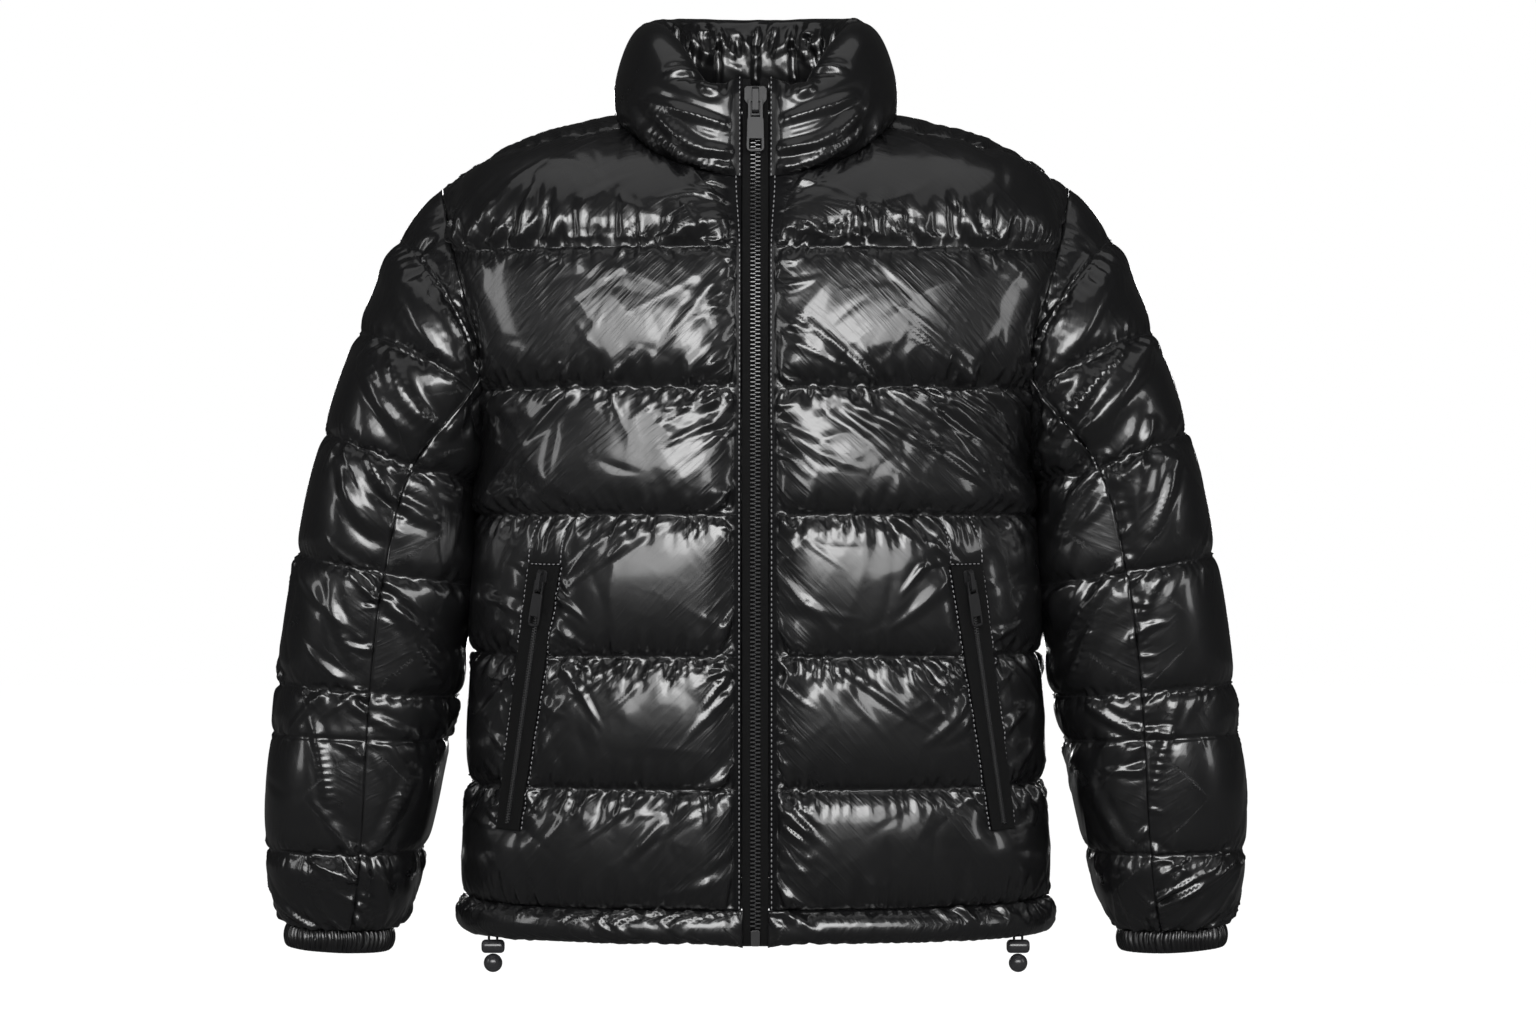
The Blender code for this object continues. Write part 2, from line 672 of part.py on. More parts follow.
def body_panel(front):
    """One half of a body piece as a Panel, before it is mirrored or joined."""
    grid, rows = body_grid(front)
    axis = np.zeros_like(grid)
    axis[..., 2] = grid[..., 2]
    panel = Panel(grid, axis)
    panel.puff = body_puff(grid, rows, front)
    hem = hem_seam_points(panel.grid, front)
    panel.sew((0, slice(None)), hem, -1)
    side_and_arm(panel, rows, front)
    if front:
        neck = Seam(NECK_SEAM.points[:6], NECK_SEAM.inward[:6], NECK_SEAM.across[:6])
        panel.sew((-1, slice(0, 6)), neck, -1)
        shoulder = SHOULDER_SEAM
        panel.sew((-1, slice(5, 11)), shoulder, -1)
        panel.inward[:, 0] = (0.0, 1.0, 0.0)
        panel.wall[:, 0:2] = ZIP_WALL
        panel.puff[:, 0:2] = 0.0
        low, high = pocket_rows()
        panel.puff[low:high + 1, 6:9] = POCKET_LIFT
        panel.puff[low - 1, 6:9] = np.minimum(panel.puff[low - 1, 6:9], POCKET_LIFT)
    else:
        shoulder = Seam(
            SHOULDER_SEAM.points[::-1], SHOULDER_SEAM.inward[::-1], SHOULDER_SEAM.across[::-1]
        )
        panel.sew((-1, slice(0, 6)), shoulder, 1)
        neck = Seam(NECK_SEAM.points[5:], NECK_SEAM.inward[5:], NECK_SEAM.across[5:])
        panel.sew((-1, slice(5, 11)), neck, -1)
    return panel


def pocket_rows():
    """First and last row of a front that the pocket zip lies along."""
    per = len(CHAMBER_ROWS)
    low = POCKET_BOTTOM[0] * per - per + 5 - POCKET_BOTTOM[1]
    high = POCKET_TOP[0] * per - per + 5 - POCKET_TOP[1]
    return low, high


def make_fronts():
    """Both fronts, and the outer points that the pockets lie on."""
    panel = body_panel(True)
    outer, inner = panel.faces()
    shell("front_left", outer, inner, "shell")
    shell("front_right", mirrored(outer), mirrored(inner), "shell")
    return panel, outer


def make_back():
    """The back, in one piece across both halves."""
    panel = body_panel(False)
    outer, inner = panel.faces()
    for points in (outer, inner):
        points[:, -1, 0] = 0.0
    whole_outer = np.concatenate([outer, mirrored(outer)[:, -2::-1]], axis=1)
    whole_inner = np.concatenate([inner, mirrored(inner)[:, -2::-1]], axis=1)
    shell("back", whole_outer, whole_inner, "shell")
    return panel


def make_collar():
    """The stand collar: a padded wall round the neck, open at the zip."""
    half_neck = NECK_SEAM.at(np.linspace(0, 1, 21))
    rim_table = [(i / 10.0,) + row for i, row in enumerate(COLLAR_RIM)]
    rims = smooth(rim_table, np.linspace(0, 1, 21))
    loops = []
    for i in range(21):
        foot = half_neck.points[i] + half_neck.across[i] * GAP / 2
        into = half_neck.inward[i]
        rim = rims[i, :3]
        bulge = rims[i, 3]
        out = unit(np.array([foot[0], foot[1] + 0.015, 0.0]))
        if i == 0:
            out = np.array([0.0, -1.0, 0.0])
        thick = RIM_THICK
        if i == 0:
            thick = 0.0050
        if i == 1:
            thick = 0.0160
            bulge = 0.0050
        loops.append(collar_section(foot, into, rim, out, bulge, thick))
    loops = np.array(loops)
    loops[0, :, 0] = ZIP_HALF
    loops[-1, :, 0] = 0.0
    whole = np.concatenate([loops, mirrored(loops)[-2::-1]])
    loop_tube("collar", whole, "shell")


def collar_section(foot, into, rim, out, bulge, thick):
    """One section of the collar: up the outside, over the rim and down the inside."""
    up = rim - foot
    points = [foot]
    # share of the height, share of the outer bulge
    for share, height in ((0.14, 0.75), (0.35, 1.0), (0.60, 0.85), (0.85, 0.35)):
        points.append(foot + up * share + out * bulge * height)
    inside = foot + into * WALL
    # share of the height, share of the thickness: rim first, then down the inside
    points.append(rim - unit(up) * thick * 0.10 - out * thick * 0.14)
    points.append(rim - out * thick * 0.50)
    points.append(rim - unit(up) * thick * 0.12 - out * thick * 0.88)
    for share, depth in ((0.80, 1.0), (0.55, 1.0), (0.30, 0.85), (0.12, 0.55)):
        points.append(foot + up * share - out * thick * depth)
    points.append(inside)
    return points


def make_hem(front, back):
    """The hem band: a padded ring in a C, open at the zip."""
    row_front = front.grid[0]
    row_back = back.grid[0]
    half = np.concatenate([row_front, row_back[1:]])
    run = np.gradient(half, axis=0)
    run[10] = (0.0, 1.0, 0.0)
    run[0] = (1.0, 0.0, 0.0)
    run[-1] = (-1.0, 0.0, 0.0)
    inward = np.cross(unit(run), (0.0, 0.0, 1.0))
    toward = -half * np.array([1.0, 1.0, 0.0])
    inward = unit(inward * np.sign(np.sum(inward * toward, axis=1, keepdims=True)))
    # share of the height below the seam, distance out of the seam line
    outside = ((0.0, 0.0), (0.22, 0.0050), (0.55, 0.0068), (0.85, 0.0050), (1.0, 0.0010))
    inside = ((1.0, -0.0060), (0.75, -0.0085), (0.30, -0.0070), (0.0, -WALL))
    loops = []
    for i, (point, way) in enumerate(zip(half, inward)):
        tame = min(1.0, 0.25 + i * 0.30) if i < 3 else 1.0
        loop = []
        for share, out in outside + inside:
            z = HEM_Z - GAP / 2 + (HEM_BOTTOM - HEM_Z) * share
            offset = out * tame if out > -WALL else -WALL + (out + WALL) * tame
            place = point - way * offset
            if i == 0 and out < 0:
                place = point + way * ZIP_WALL
            loop.append((place[0], place[1], z))
        loops.append(loop)
    loops = np.array(loops)
    loops[0, :, 0] = ZIP_HALF
    loops[-1, :, 0] = 0.0
    whole = np.concatenate([loops, mirrored(loops)[-2::-1]])
    loop_tube("hem_band", whole, "shell")


def ring_point(ring, degrees):
    """A point of a sleeve ring, at an angle from its outer side towards the front."""
    outer = np.array([ring[0], 0.0, ring[1]])
    inner = np.array([ring[2], 0.0, ring[3]])
    middle = (outer + inner) / 2
    half = (outer - inner) / 2
    turn = math.radians(degrees)
    power = 2 / 2.25
    wide = math.copysign(abs(math.cos(turn)) ** power, math.cos(turn))
    deep = math.copysign(abs(math.sin(turn)) ** power, math.sin(turn))
    depth = ring[4] if deep > 0 else ring[5]
    return middle + half * wide + np.array([0.0, -deep * depth, 0.0])


def outer_seam_rows():
    """The seam rows of the outer sleeve piece, from the armhole to the cuff."""
    split = ARMHOLE_SPLIT
    shares = np.linspace(-1, 1, 2 * OUTER_HALF_COLUMNS + 1)
    back = ARM_BACK.points[split:0:-1]
    front = ARM_FRONT.points[:split + 1]
    rows = [np.concatenate([back, front])]
    for table in (SLEEVE_CAP_SEAM, SLEEVE_FIRST_SEAM):
        places = smooth(table, np.abs(shares))
        row = []
        for share, (x, y_front, z, y_back) in zip(shares, places):
            row.append((x, y_front if share > 0 else y_back, z))
        rows.append(np.array(row))
    for ring in SLEEVE_RINGS:
        degrees = [share * (ring[6] if share > 0 else ring[7]) for share in shares]
        rows.append(np.array([ring_point(ring, d) for d in degrees]))
    return rows


def inner_seam_rows():
    """The seam rows of the inner sleeve piece, from the armhole to the cuff."""
    split = ARMHOLE_SPLIT
    front = ARM_FRONT.points[split:]
    back = ARM_BACK.points[-2:split - 1:-1]
    rows = [np.concatenate([front, back])]
    near = []
    first = np.array(SLEEVE_FIRST_SEAM[-1])
    ends = (np.array([first[1], first[2], first[3]]), np.array([first[1], first[4], first[3]]))
    ring = SLEEVE_RINGS[0]
    angles = np.linspace(ring[6], 360 - ring[7], INNER_COLUMNS + 1)
    under = np.array([ring_point(ring, d) for d in angles])
    near = rows[0] * 0.72 + under * 0.28
    near[0], near[-1] = ends
    rows.append(near)
    for ring in SLEEVE_RINGS:
        angles = np.linspace(ring[6], 360 - ring[7], INNER_COLUMNS + 1)
        rows.append(np.array([ring_point(ring, d) for d in angles]))
    return rows


def column_curve(points, chamber, share, straight=0.0):
    """A point on the smooth curve down one column of seam points."""
    points = np.asarray(points)
    lengths = np.concatenate([[0], np.cumsum(np.linalg.norm(np.diff(points, axis=0), axis=1))])
    slopes = np.gradient(points, lengths, axis=0)
    span = lengths[chamber + 1] - lengths[chamber]
    start, end = points[chamber], points[chamber + 1]
    run_start, run_end = slopes[chamber] * span, slopes[chamber + 1] * span
    curved = hermite(start, run_start, end, run_end, share)
    flat = start * (1 - share) + end * share
    return curved * (1 - straight) + flat * straight


def sleeve_grid(seam_rows, chamber_rows, straight_first):
    """Base points down a sleeve piece, and each row's chamber and share."""
    grid, notes = [], []
    count = len(seam_rows[0])
    for chamber, shares in enumerate(chamber_rows):
        for share in shares:
            row = []
            for c in range(count):
                column = [seam[c] for seam in seam_rows]
                edge = c in (0, count - 1)
                straight = 1.0 if edge and chamber < straight_first else 0.0
                if chamber == len(chamber_rows) - 1:
                    straight = 1.0
                row.append(column_curve(column, chamber, share, straight))
            grid.append(row)
            notes.append((chamber, share))
    grid.append(seam_rows[-1])
    notes.append((len(chamber_rows) - 1, 1.0))
    return np.array(grid), notes


def sleeve_axis(grid):
    """The middle of the sleeve at the height of each point, to tell out from in."""
    table = [(-0.050, 0.200, -0.150), (-0.250, 0.284, -0.290), (-0.355, 0.298, -0.355)]
    table += [(-0.448, 0.309, -0.448), (-0.575, 0.327, -0.575), (-0.640, 0.333, -0.640)]
    places = smooth(table, grid[..., 2].reshape(-1))
    axis = np.zeros_like(grid)
    axis[..., 0] = places[:, 0].reshape(grid.shape[:2])
    axis[..., 2] = places[:, 1].reshape(grid.shape[:2])
    return axis


def sleeve_side(points):
    """How far round to the front or back a point of the sleeve is, from 0 to 1."""
    return np.clip(np.abs(points[..., 1]) / 0.078, 0.0, 1.0) ** 1.3


def seam_down(grid_column, across_hint):
    """A sleeve seam running down a column of base points."""
    run = unit(np.gradient(grid_column, axis=0))
    axis = sleeve_axis(grid_column[:, None])[:, 0]
    inward = axis - grid_column
    inward = unit(inward - run * np.sum(run * inward, axis=1, keepdims=True))
    across = np.cross(run, inward)
    across *= np.sign(np.sum(across * np.asarray(across_hint), axis=1, keepdims=True))
    return Seam(grid_column, inward, unit(across))


def cuff_frame():
    """Middle, way out and way down of the ring where the cuff is sewn on."""
    ring = SLEEVE_RINGS[-1]
    outer = np.array([ring[0], 0.0, ring[1]])
    inner = np.array([ring[2], 0.0, ring[3]])
    middle = (outer + inner) / 2
    out = unit(outer - inner)
    down = np.array([out[2], 0.0, -out[0]])
    if down[2] > 0:
        down = -down
    return middle, out, down


def make_sleeves():
    """Outer and inner piece of both sleeves."""
    middle, _, down = cuff_frame()
    outer_rows = outer_seam_rows()
    grid, notes = sleeve_grid(outer_rows, SLEEVE_ROWS, 2)
    front_edge = grid[:, -1].copy()
    back_edge = grid[:, 0].copy()
    first = sum(len(shares) for shares in SLEEVE_ROWS[:2])
    build_sleeve_piece("sleeve_outer", grid, notes, front_edge, back_edge, True, down, middle)
    inner_rows = inner_seam_rows()
    chambers = ((0.0,),) + SLEEVE_ROWS[2:]
    inner_grid, inner_notes = sleeve_grid(inner_rows, chambers, 1)
    rows = len(inner_grid)
    inner_front = np.concatenate([front_edge[:1], front_edge[first:]])
    inner_back = np.concatenate([back_edge[:1], back_edge[first:]])
    for r in range(rows):
        step_front = inner_front[r] - inner_grid[r, 0]
        step_back = inner_back[r] - inner_grid[r, -1]
        for c in range(inner_grid.shape[1]):
            share = c / (inner_grid.shape[1] - 1)
            inner_grid[r, c] += step_front * (1 - share) ** 3 + step_back * share ** 3
    build_sleeve_piece(
        "sleeve_inner", inner_grid, inner_notes, inner_front, inner_back, False, down, middle
    )


def build_sleeve_piece(name, grid, notes, front_edge, back_edge, outer_piece, down, middle):
    """Puffs, sews and mirrors one piece of the sleeve."""
    panel = Panel(grid, sleeve_axis(grid))
    round_to = sleeve_side(grid)
    height = SLEEVE_SIDE_PUFF + (SLEEVE_PUFF - SLEEVE_SIDE_PUFF) * round_to
    puffs = SLEEVE_PUFFS if outer_piece else SLEEVE_PUFFS[1:]
    rise = np.array([puff_shape(2 * min(s, 1 - s)) * puffs[c] for c, s in notes])
    if outer_piece:
        size = np.ones(grid.shape[:2])
    else:
        size = np.ones(grid.shape[:2])
        size[notes_index(notes, 1, 0.0), :] = 0.0
    lengths = chamber_lengths(grid, notes)
    height = np.minimum(height, lengths * 0.12 + 0.0004)
    if not outer_piece:
        calm = np.clip((-grid[..., 2] - 0.36) / 0.10, 0.0, 1.0)
        inner_side = 1.0 - np.clip(round_to * 1.2, 0.0, 1.0)
        height *= 1.0 - 0.75 * inner_side * (1.0 - calm)
    edges = np.minimum(edge_distance(grid, 0), edge_distance(grid, -1))
    across = 0.55 + 0.45 * puff_shape(edges / 0.030)
    across[edges < 1e-9] = 0.35
    last = np.array([c == notes[-1][0] for c, _ in notes])
    across[last] = np.maximum(across[last], 0.8)
    panel.puff = rise[:, None] * height * across * size
    last_boost = np.where(last, 0.0032, 0.0)
    panel.puff += (rise * last_boost)[:, None]
    panel.puff[0] = 0.0
    panel.puff[-1] = 0.0
    out_hint = (-0.3, -1.0, 0.0)
    front_column, back_column = (-1, 0) if outer_piece else (0, -1)
    side = -1 if outer_piece else 1
    outer_front = OUTER_EDGES.setdefault("front", front_edge)
    outer_back = OUTER_EDGES.setdefault("back", back_edge)
    rows = slice(None)
    front_seam = seam_down(outer_front, (-1.0, 0.0, 0.0))
    back_seam = seam_down(outer_back, (-1.0, 0.0, 0.0))
    puffs_front = OUTER_EDGES.setdefault("front_puff", panel.puff[:, -1].copy())
    puffs_back = OUTER_EDGES.setdefault("back_puff", panel.puff[:, 0].copy())
    if not outer_piece:
        first = sum(len(shares) for shares in SLEEVE_ROWS[:2])
        keep = [0] + list(range(first, len(outer_front)))
        front_seam = Seam(
            front_seam.points[keep], front_seam.inward[keep], front_seam.across[keep]
        )
        back_seam = Seam(back_seam.points[keep], back_seam.inward[keep], back_seam.across[keep])
        puffs_front = puffs_front[keep]
        puffs_back = puffs_back[keep]
    else:
        shares = straighten(front_seam, ARM_FRONT.inward[ARMHOLE_SPLIT])
        straighten(back_seam, ARM_BACK.inward[ARMHOLE_SPLIT])
        OUTER_EDGES["front_seam"] = front_seam
        OUTER_EDGES["back_seam"] = back_seam
    if not outer_piece:
        front_seam = OUTER_EDGES["front_seam"].pick(keep)
        back_seam = OUTER_EDGES["back_seam"].pick(keep)
    panel.sew((rows, front_column), front_seam, side)
    panel.sew((rows, back_column), back_seam, side)
    panel.normals[:, front_column] = -front_seam.inward
    panel.normals[:, back_column] = -back_seam.inward
    panel.puff[:, front_column] = puffs_front
    panel.puff[:, back_column] = puffs_back
    arm = arm_row_seam(outer_piece)
    panel.sew((0, slice(None)), arm, 1)
    if outer_piece:
        for r in range(1, len(shares) - 1):
            for column, place in ((front_column, -1), (back_column, 0)):
                panel.shift[r, column] += arm.across[place] * (GAP / 2) * (1 - shares[r])
    panel.inward[0, front_column] = front_seam.inward[0]
    panel.inward[0, back_column] = back_seam.inward[0]
    ends = panel.grid[-1]
    cuff = Seam(ends, unit(middle - ends), np.tile(down, (len(ends), 1)))
    panel.sew((-1, slice(None)), cuff, -1)
    outer, inner = panel.faces()
    shell(name + "_left", outer, inner, "shell")
    shell(name + "_right", mirrored(outer), mirrored(inner), "shell")


OUTER_EDGES = {}


def straighten(seam, arm_inward):
    """Runs the directions evenly over the short rows between the armhole and the first seam."""
    first = sum(len(shares) for shares in SLEEVE_ROWS[:2])
    steps = np.linalg.norm(np.diff(seam.points[:first + 1], axis=0), axis=1)
    shares = np.concatenate([[0], np.cumsum(steps)]) / steps.sum()
    seam.inward[0] = unit(seam.inward[0] + arm_inward)
    for values in (seam.inward, seam.across, seam.points):
        for r in range(1, first):
            values[r] = values[0] * (1 - shares[r]) + values[first] * shares[r]
    return shares


def notes_index(notes, chamber, share):
    """The row of a chamber's share."""
    return notes.index((chamber, share))


def chamber_lengths(grid, notes):
    """Length of the chamber that each point lies in, down its column."""
    steps = np.linalg.norm(np.diff(grid, axis=0), axis=2)
    steps = np.concatenate([steps, steps[-1:] * 0])
    chambers = np.array([c for c, _ in notes])
    lengths = np.zeros(grid.shape[:2])
    for chamber in set(chambers):
        inside = chambers == chamber
        lengths[inside] = steps[inside].sum(axis=0)
    return lengths


def arm_row_seam(outer_piece):
    """The armhole seam along the first row of a sleeve piece."""
    split = ARMHOLE_SPLIT
    parts = []
    for name in ("points", "inward", "across"):
        front, back = getattr(ARM_FRONT, name), getattr(ARM_BACK, name)
        if outer_piece:
            parts.append(np.concatenate([back[split:0:-1], front[:split + 1]]))
        else:
            parts.append(np.concatenate([front[split:], back[-2:split - 1:-1]]))
    return Seam(*parts)


def make_cuffs():
    """The gathered elastic cuffs, open below."""
    middle, out, down = cuff_frame()
    ring = SLEEVE_RINGS[-1]
    half = np.linalg.norm(np.array([ring[0] - ring[2], ring[1] - ring[3]])) / 2
    count = 48
    loops = []
    # share of the length, outer offset, inner offset
    shape = ((0.0, 0.0000, -0.0032), (0.12, 0.0004, -0.0030), (0.85, -0.0008, -0.0036))
    shape += ((1.0, -0.0018, -0.0030),)
    profile = [(share, outer) for share, outer, _ in shape]
    profile += [(share, inner) for share, _, inner in reversed(shape)]
    for k in range(count):
        turn = 2 * math.pi * k / count
        rib = 0.0007 if k % 2 else -0.0003
        loop = []
        for index, (share, offset) in enumerate(profile):
            wave = rib if 0 < index < 4 else 0.0
            reach = offset + wave
            wide = half + reach
            deep = (ring[4] if math.sin(turn) > 0 else ring[5]) + reach
            place = middle + out * wide * math.cos(turn)
            place = place + np.array([0.0, -deep * math.sin(turn), 0.0])
            place = place + down * (GAP / 2 + share * CUFF_LENGTH)
            loop.append(place)
        loops.append(loop)
    loops = np.array(loops)
    loop_tube("cuff_left", loops, "elastic", closed=True)
    loop_tube("cuff_right", mirrored(loops), "elastic", closed=True)


def zip_y(z):
    """Depth of the zip line at a height."""
    return float(smooth(ZIP_LINE, z)[0, 0])


def strip(name, levels, x0, x1, y_front, y_back, material):
    """A flat strip that follows the zip line, y measured inwards from that line."""
    loops = []
    for z in levels:
        y = zip_y(z)
        loops.append([(x0, y + y_front, z), (x1, y + y_front, z), (x1, y + y_back, z), (x0, y + y_back, z)])
    return loop_tube(name, loops, material)


def make_zip():
    """Tapes, teeth, bottom box, slider and pull of the front zip."""
    edge_levels = [z for z, _, _ in quilt_rows()]
    levels = [HEM_BOTTOM + 0.0005] + edge_levels + [-0.090, -0.075, -0.062, -0.0495, -0.030]
    levels += [-0.010, 0.010, 0.0275]
    tape_in = CHAIN_HALF + GAP
    for side, name in ((1, "zip_tape_left"), (-1, "zip_tape_right")):
        x0, x1 = sorted((side * tape_in, side * TAPE_HALF))
        strip(name, levels, x0, x1, 0.0016, 0.0026, "zip_tape")
    chain_levels = [z for z in levels if -0.6270 < z < 0.0]
    chain_levels = [-0.6270] + chain_levels + [0.0010]
    strip("zip_chain", chain_levels, -CHAIN_HALF, CHAIN_HALF, 0.0006, 0.0036, "zip_teeth")
    y = zip_y(-0.633)
    box_piece("zip_box", (-CHAIN_HALF, y, -0.6395), (CHAIN_HALF, y + 0.0040, -0.6273), "zip_teeth", 0.001)
    make_slider()


def join_into(target, others):
    """Joins parts into one solid with exact Booleans."""
    for other in others:
        cut = target.modifiers.new("join", "BOOLEAN")
        cut.operation = "UNION"
        cut.solver = "EXACT"
        cut.object = other
        other.hide_render = True
        other.display_type = "WIRE"
        other.hide_set(True)


class Fastener:
    """Sizes of a slider and its pull tab. The frame has +v up the zip and +w out of it."""

    def __init__(self, foot, up, out, side, size):
        self.foot = np.asarray(foot, float)
        self.up = unit(up)
        self.out = unit(out)
        self.side = unit(side)
        self.size = size

    def place(self, u, v, w):
        """A world point of the slider's own frame."""
        return self.foot + self.side * u + self.up * v + self.out * w

    def solid(self, name, outline, w0, w1, material, origin=None):
        """A plate of a u-v outline between two heights above the zip."""
        loops = [[self.place(u, v, w) for u, v in outline] for w in (w0, w1)]
        return loop_tube(name, loops, material, origin=origin)

    def ridge(self, name, outline, u0, u1, material, origin=None):
        """A solid of a v-w outline between two values of u."""
        loops = [[self.place(u, v, w) for v, w in outline] for u in (u0, u1)]
        return loop_tube(name, loops, material, origin=origin)


def make_fastener(name, frame, dims, material, pull_name):
    """A slider with its bridge, and a pull tab that hangs from the bridge."""
    d = dims
    body = [
        (-d["half_low"], d["low"]), (d["half_low"], d["low"]),
        (d["half_low"], d["waist"]), (d["half_top"], d["shoulder"]),
        (d["half_top"], d["top"] - 0.0015), (d["half_top"] - 0.0015, d["top"]),
        (-d["half_top"] + 0.0015, d["top"]), (-d["half_top"], d["top"] - 0.0015),
        (-d["half_top"], d["shoulder"]), (-d["half_low"], d["waist"]),
    ]
    plate = frame.solid(name, body, d["under"], d["over"], material)
    w0, bar, lid = d["over"] - 0.0004, d["bar"], d["lid"]
    arch = [
        (d["arch_low"], w0), (d["arch_low"], lid - 0.0010), (d["arch_low"] + 0.0014, lid),
        (d["arch_top"] - 0.0020, lid), (d["arch_top"], lid - 0.0020), (d["arch_top"], w0),
        (d["arch_top"] - 0.0028, w0), (d["arch_top"] - 0.0028, bar + 0.0014),
        (d["arch_low"] + 0.0022, bar + 0.0014), (d["arch_low"] + 0.0022, w0),
    ]
    bridge = frame.ridge(name + "_bridge", arch, -d["arch_half"], d["arch_half"], material)
    join_into(plate, [bridge])
    hinge = frame.place(0.0, d["hinge"], bar)
    t = d["tab_thick"] / 2
    outer = [
        (-d["loop_half"], d["hinge"] + t), (d["loop_half"], d["hinge"] + t),
        (d["loop_half"], d["tab_top"]), (d["tab_half"] * 0.92, d["tab_top"] - 0.0012),
        (d["tab_half"], d["tab_low"] + 0.0030), (d["tab_half"] - 0.0008, d["tab_low"] + 0.0010),
        (d["tab_half"] - 0.0026, d["tab_low"]), (-d["tab_half"] + 0.0026, d["tab_low"]),
        (-d["tab_half"] + 0.0008, d["tab_low"] + 0.0010), (-d["tab_half"], d["tab_low"] + 0.0030),
        (-d["tab_half"] * 0.92, d["tab_top"] - 0.0012), (-d["loop_half"], d["tab_top"]),
    ]
    pull = frame.solid(pull_name, outer, bar - t, bar + t, material, origin=hinge)
    eye = [
        (-d["eye_half"], d["eye_low"]), (d["eye_half"], d["eye_low"]),
        (d["eye_half"], d["hinge"] - t), (-d["eye_half"], d["hinge"] - t),
    ]
    window = [
        (-d["window_half"], d["window_low"]), (d["window_half"], d["window_low"]),
        (d["window_half"], d["window_top"]), (-d["window_half"], d["window_top"]),
    ]
    for index, hole in enumerate((eye, window)):
        cutter = frame.solid(
            pull_name + "_cut" + str(index), hole, bar - 0.003, bar + 0.003, material
        )
        cutter.hide_render = True
        cutter.display_type = "WIRE"
        cutter.hide_set(True)
        cut = pull.modifiers.new("hole", "BOOLEAN")
        cut.operation = "DIFFERENCE"
        cut.solver = "EXACT"
        cut.object = cutter
    return hinge


# Slider and pull of the front zip, in the slider's own frame (metres)
MAIN_FASTENER = {
    "half_low": 0.0052, "half_top": 0.0086, "low": -0.0115, "waist": -0.0040,
    "shoulder": 0.0010, "top": 0.0115, "under": -0.0003, "over": 0.0015,
    "arch_low": -0.0095, "arch_top": 0.0105, "arch_half": 0.0024,
    "bar": 0.0036, "lid": 0.0068, "hinge": 0.0000, "tab_thick": 0.0018,
    "loop_half": 0.0058, "eye_half": 0.0036, "eye_low": -0.0130, "tab_top": -0.0135,
    "tab_half": 0.0069, "tab_low": -0.0400, "window_half": 0.0048,
    "window_low": -0.0380, "window_top": -0.0300,
}
POCKET_FASTENER = {
    "half_low": 0.0030, "half_top": 0.0046, "low": -0.0085, "waist": -0.0030,
    "shoulder": 0.0000, "top": 0.0090, "under": 0.0000, "over": 0.0014,
    "arch_low": -0.0075, "arch_top": 0.0085, "arch_half": 0.0018,
    "bar": 0.0032, "lid": 0.0060, "hinge": -0.0005, "tab_thick": 0.0016,
    "loop_half": 0.0042, "eye_half": 0.0027, "eye_low": -0.0095, "tab_top": -0.0100,
    "tab_half": 0.0050, "tab_low": -0.0350, "window_half": 0.0034,
    "window_low": -0.0332, "window_top": -0.0272,
}


def make_slider():
    """The front zip's slider near the top of the collar, with its pull."""
    z = 0.0100
    low, high = zip_y(z - 0.03), zip_y(z + 0.01)
    up = unit(np.array([0.0, high - low, 0.04]))
    out = np.cross((1.0, 0.0, 0.0), up)
    out = out if out[1] < 0 else -out
    foot = np.array([0.0, zip_y(z), z])
    frame = Fastener(foot, up, out, (1.0, 0.0, 0.0), 1.0)
    make_fastener("zip_slider", frame, MAIN_FASTENER, "black_metal", "zip_pull")


def make_pockets(outer, panel):
    """The pocket zips, laid on the fronts from the fronts' own points."""
    low, high = pocket_rows()
    block = outer[low:high + 1, 6:9]
    normals = unit(panel.normals[low:high + 1, 6:9])
    lift = GAP * 1.4
    front = block + normals * (lift + 0.0012)
    behind = block + normals * lift
    for sign, side in ((1, "left"), (-1, "right")):
        loops = []
        for r in range(len(block)):
            loop = list(front[r]) + list(behind[r][::-1])
            loops.append(mirrored(loop) if sign < 0 else loop)
        loop_tube("pocket_tape_" + side, loops, "zip_tape")
    chain_loops = []
    rows = len(block)
    last_step = np.linalg.norm(front[-1, 1] - front[-2, 1])
    for r in range(rows):
        share = min(max(r, 0.18), rows - 1 - POCKET_CHAIN_TOP / last_step)
        i = min(int(share), rows - 2)
        t = share - i
        line = front[i] * (1 - t) + front[i + 1] * t
        way = unit(normals[i, 1] * (1 - t) + normals[i + 1, 1] * t)
        middle = line[1]
        half = 0.0023
        left = middle + unit(line[0] - middle) * half
        right = middle + unit(line[2] - middle) * half
        base = [left + way * GAP, middle + way * GAP, right + way * GAP]
        top = [right + way * 0.0016, middle + way * 0.0019, left + way * 0.0016]
        chain_loops.append(base + top)
    kept = [chain_loops[0]]
    for loop in chain_loops[1:]:
        if np.linalg.norm(loop[1] - kept[-1][1]) > 0.002:
            kept.append(loop)
    for sign, side in ((1, "left"), (-1, "right")):
        loops = [mirrored(loop) if sign < 0 else loop for loop in kept]
        loop_tube("pocket_chain_" + side, loops, "zip_teeth")
    top_row = front[-1, 1]
    next_row = front[-2, 1]
    up = unit(top_row - next_row)
    way = unit(normals[-1, 1] + normals[-2, 1])
    way = unit(way - up * np.dot(way, up))
    across = np.cross(up, way)
    foot = top_row - up * 0.0125 + way * (GAP + 0.0006)
    for sign, side in ((1, "left"), (-1, "right")):
        flip = np.array([sign, 1.0, 1.0])
        frame = Fastener(foot * flip, up * flip, way * flip, across * flip, 1.0)
        name = "pocket_slider_" + side
        make_fastener(name, frame, POCKET_FASTENER, "black_metal", "pocket_pull_" + side)


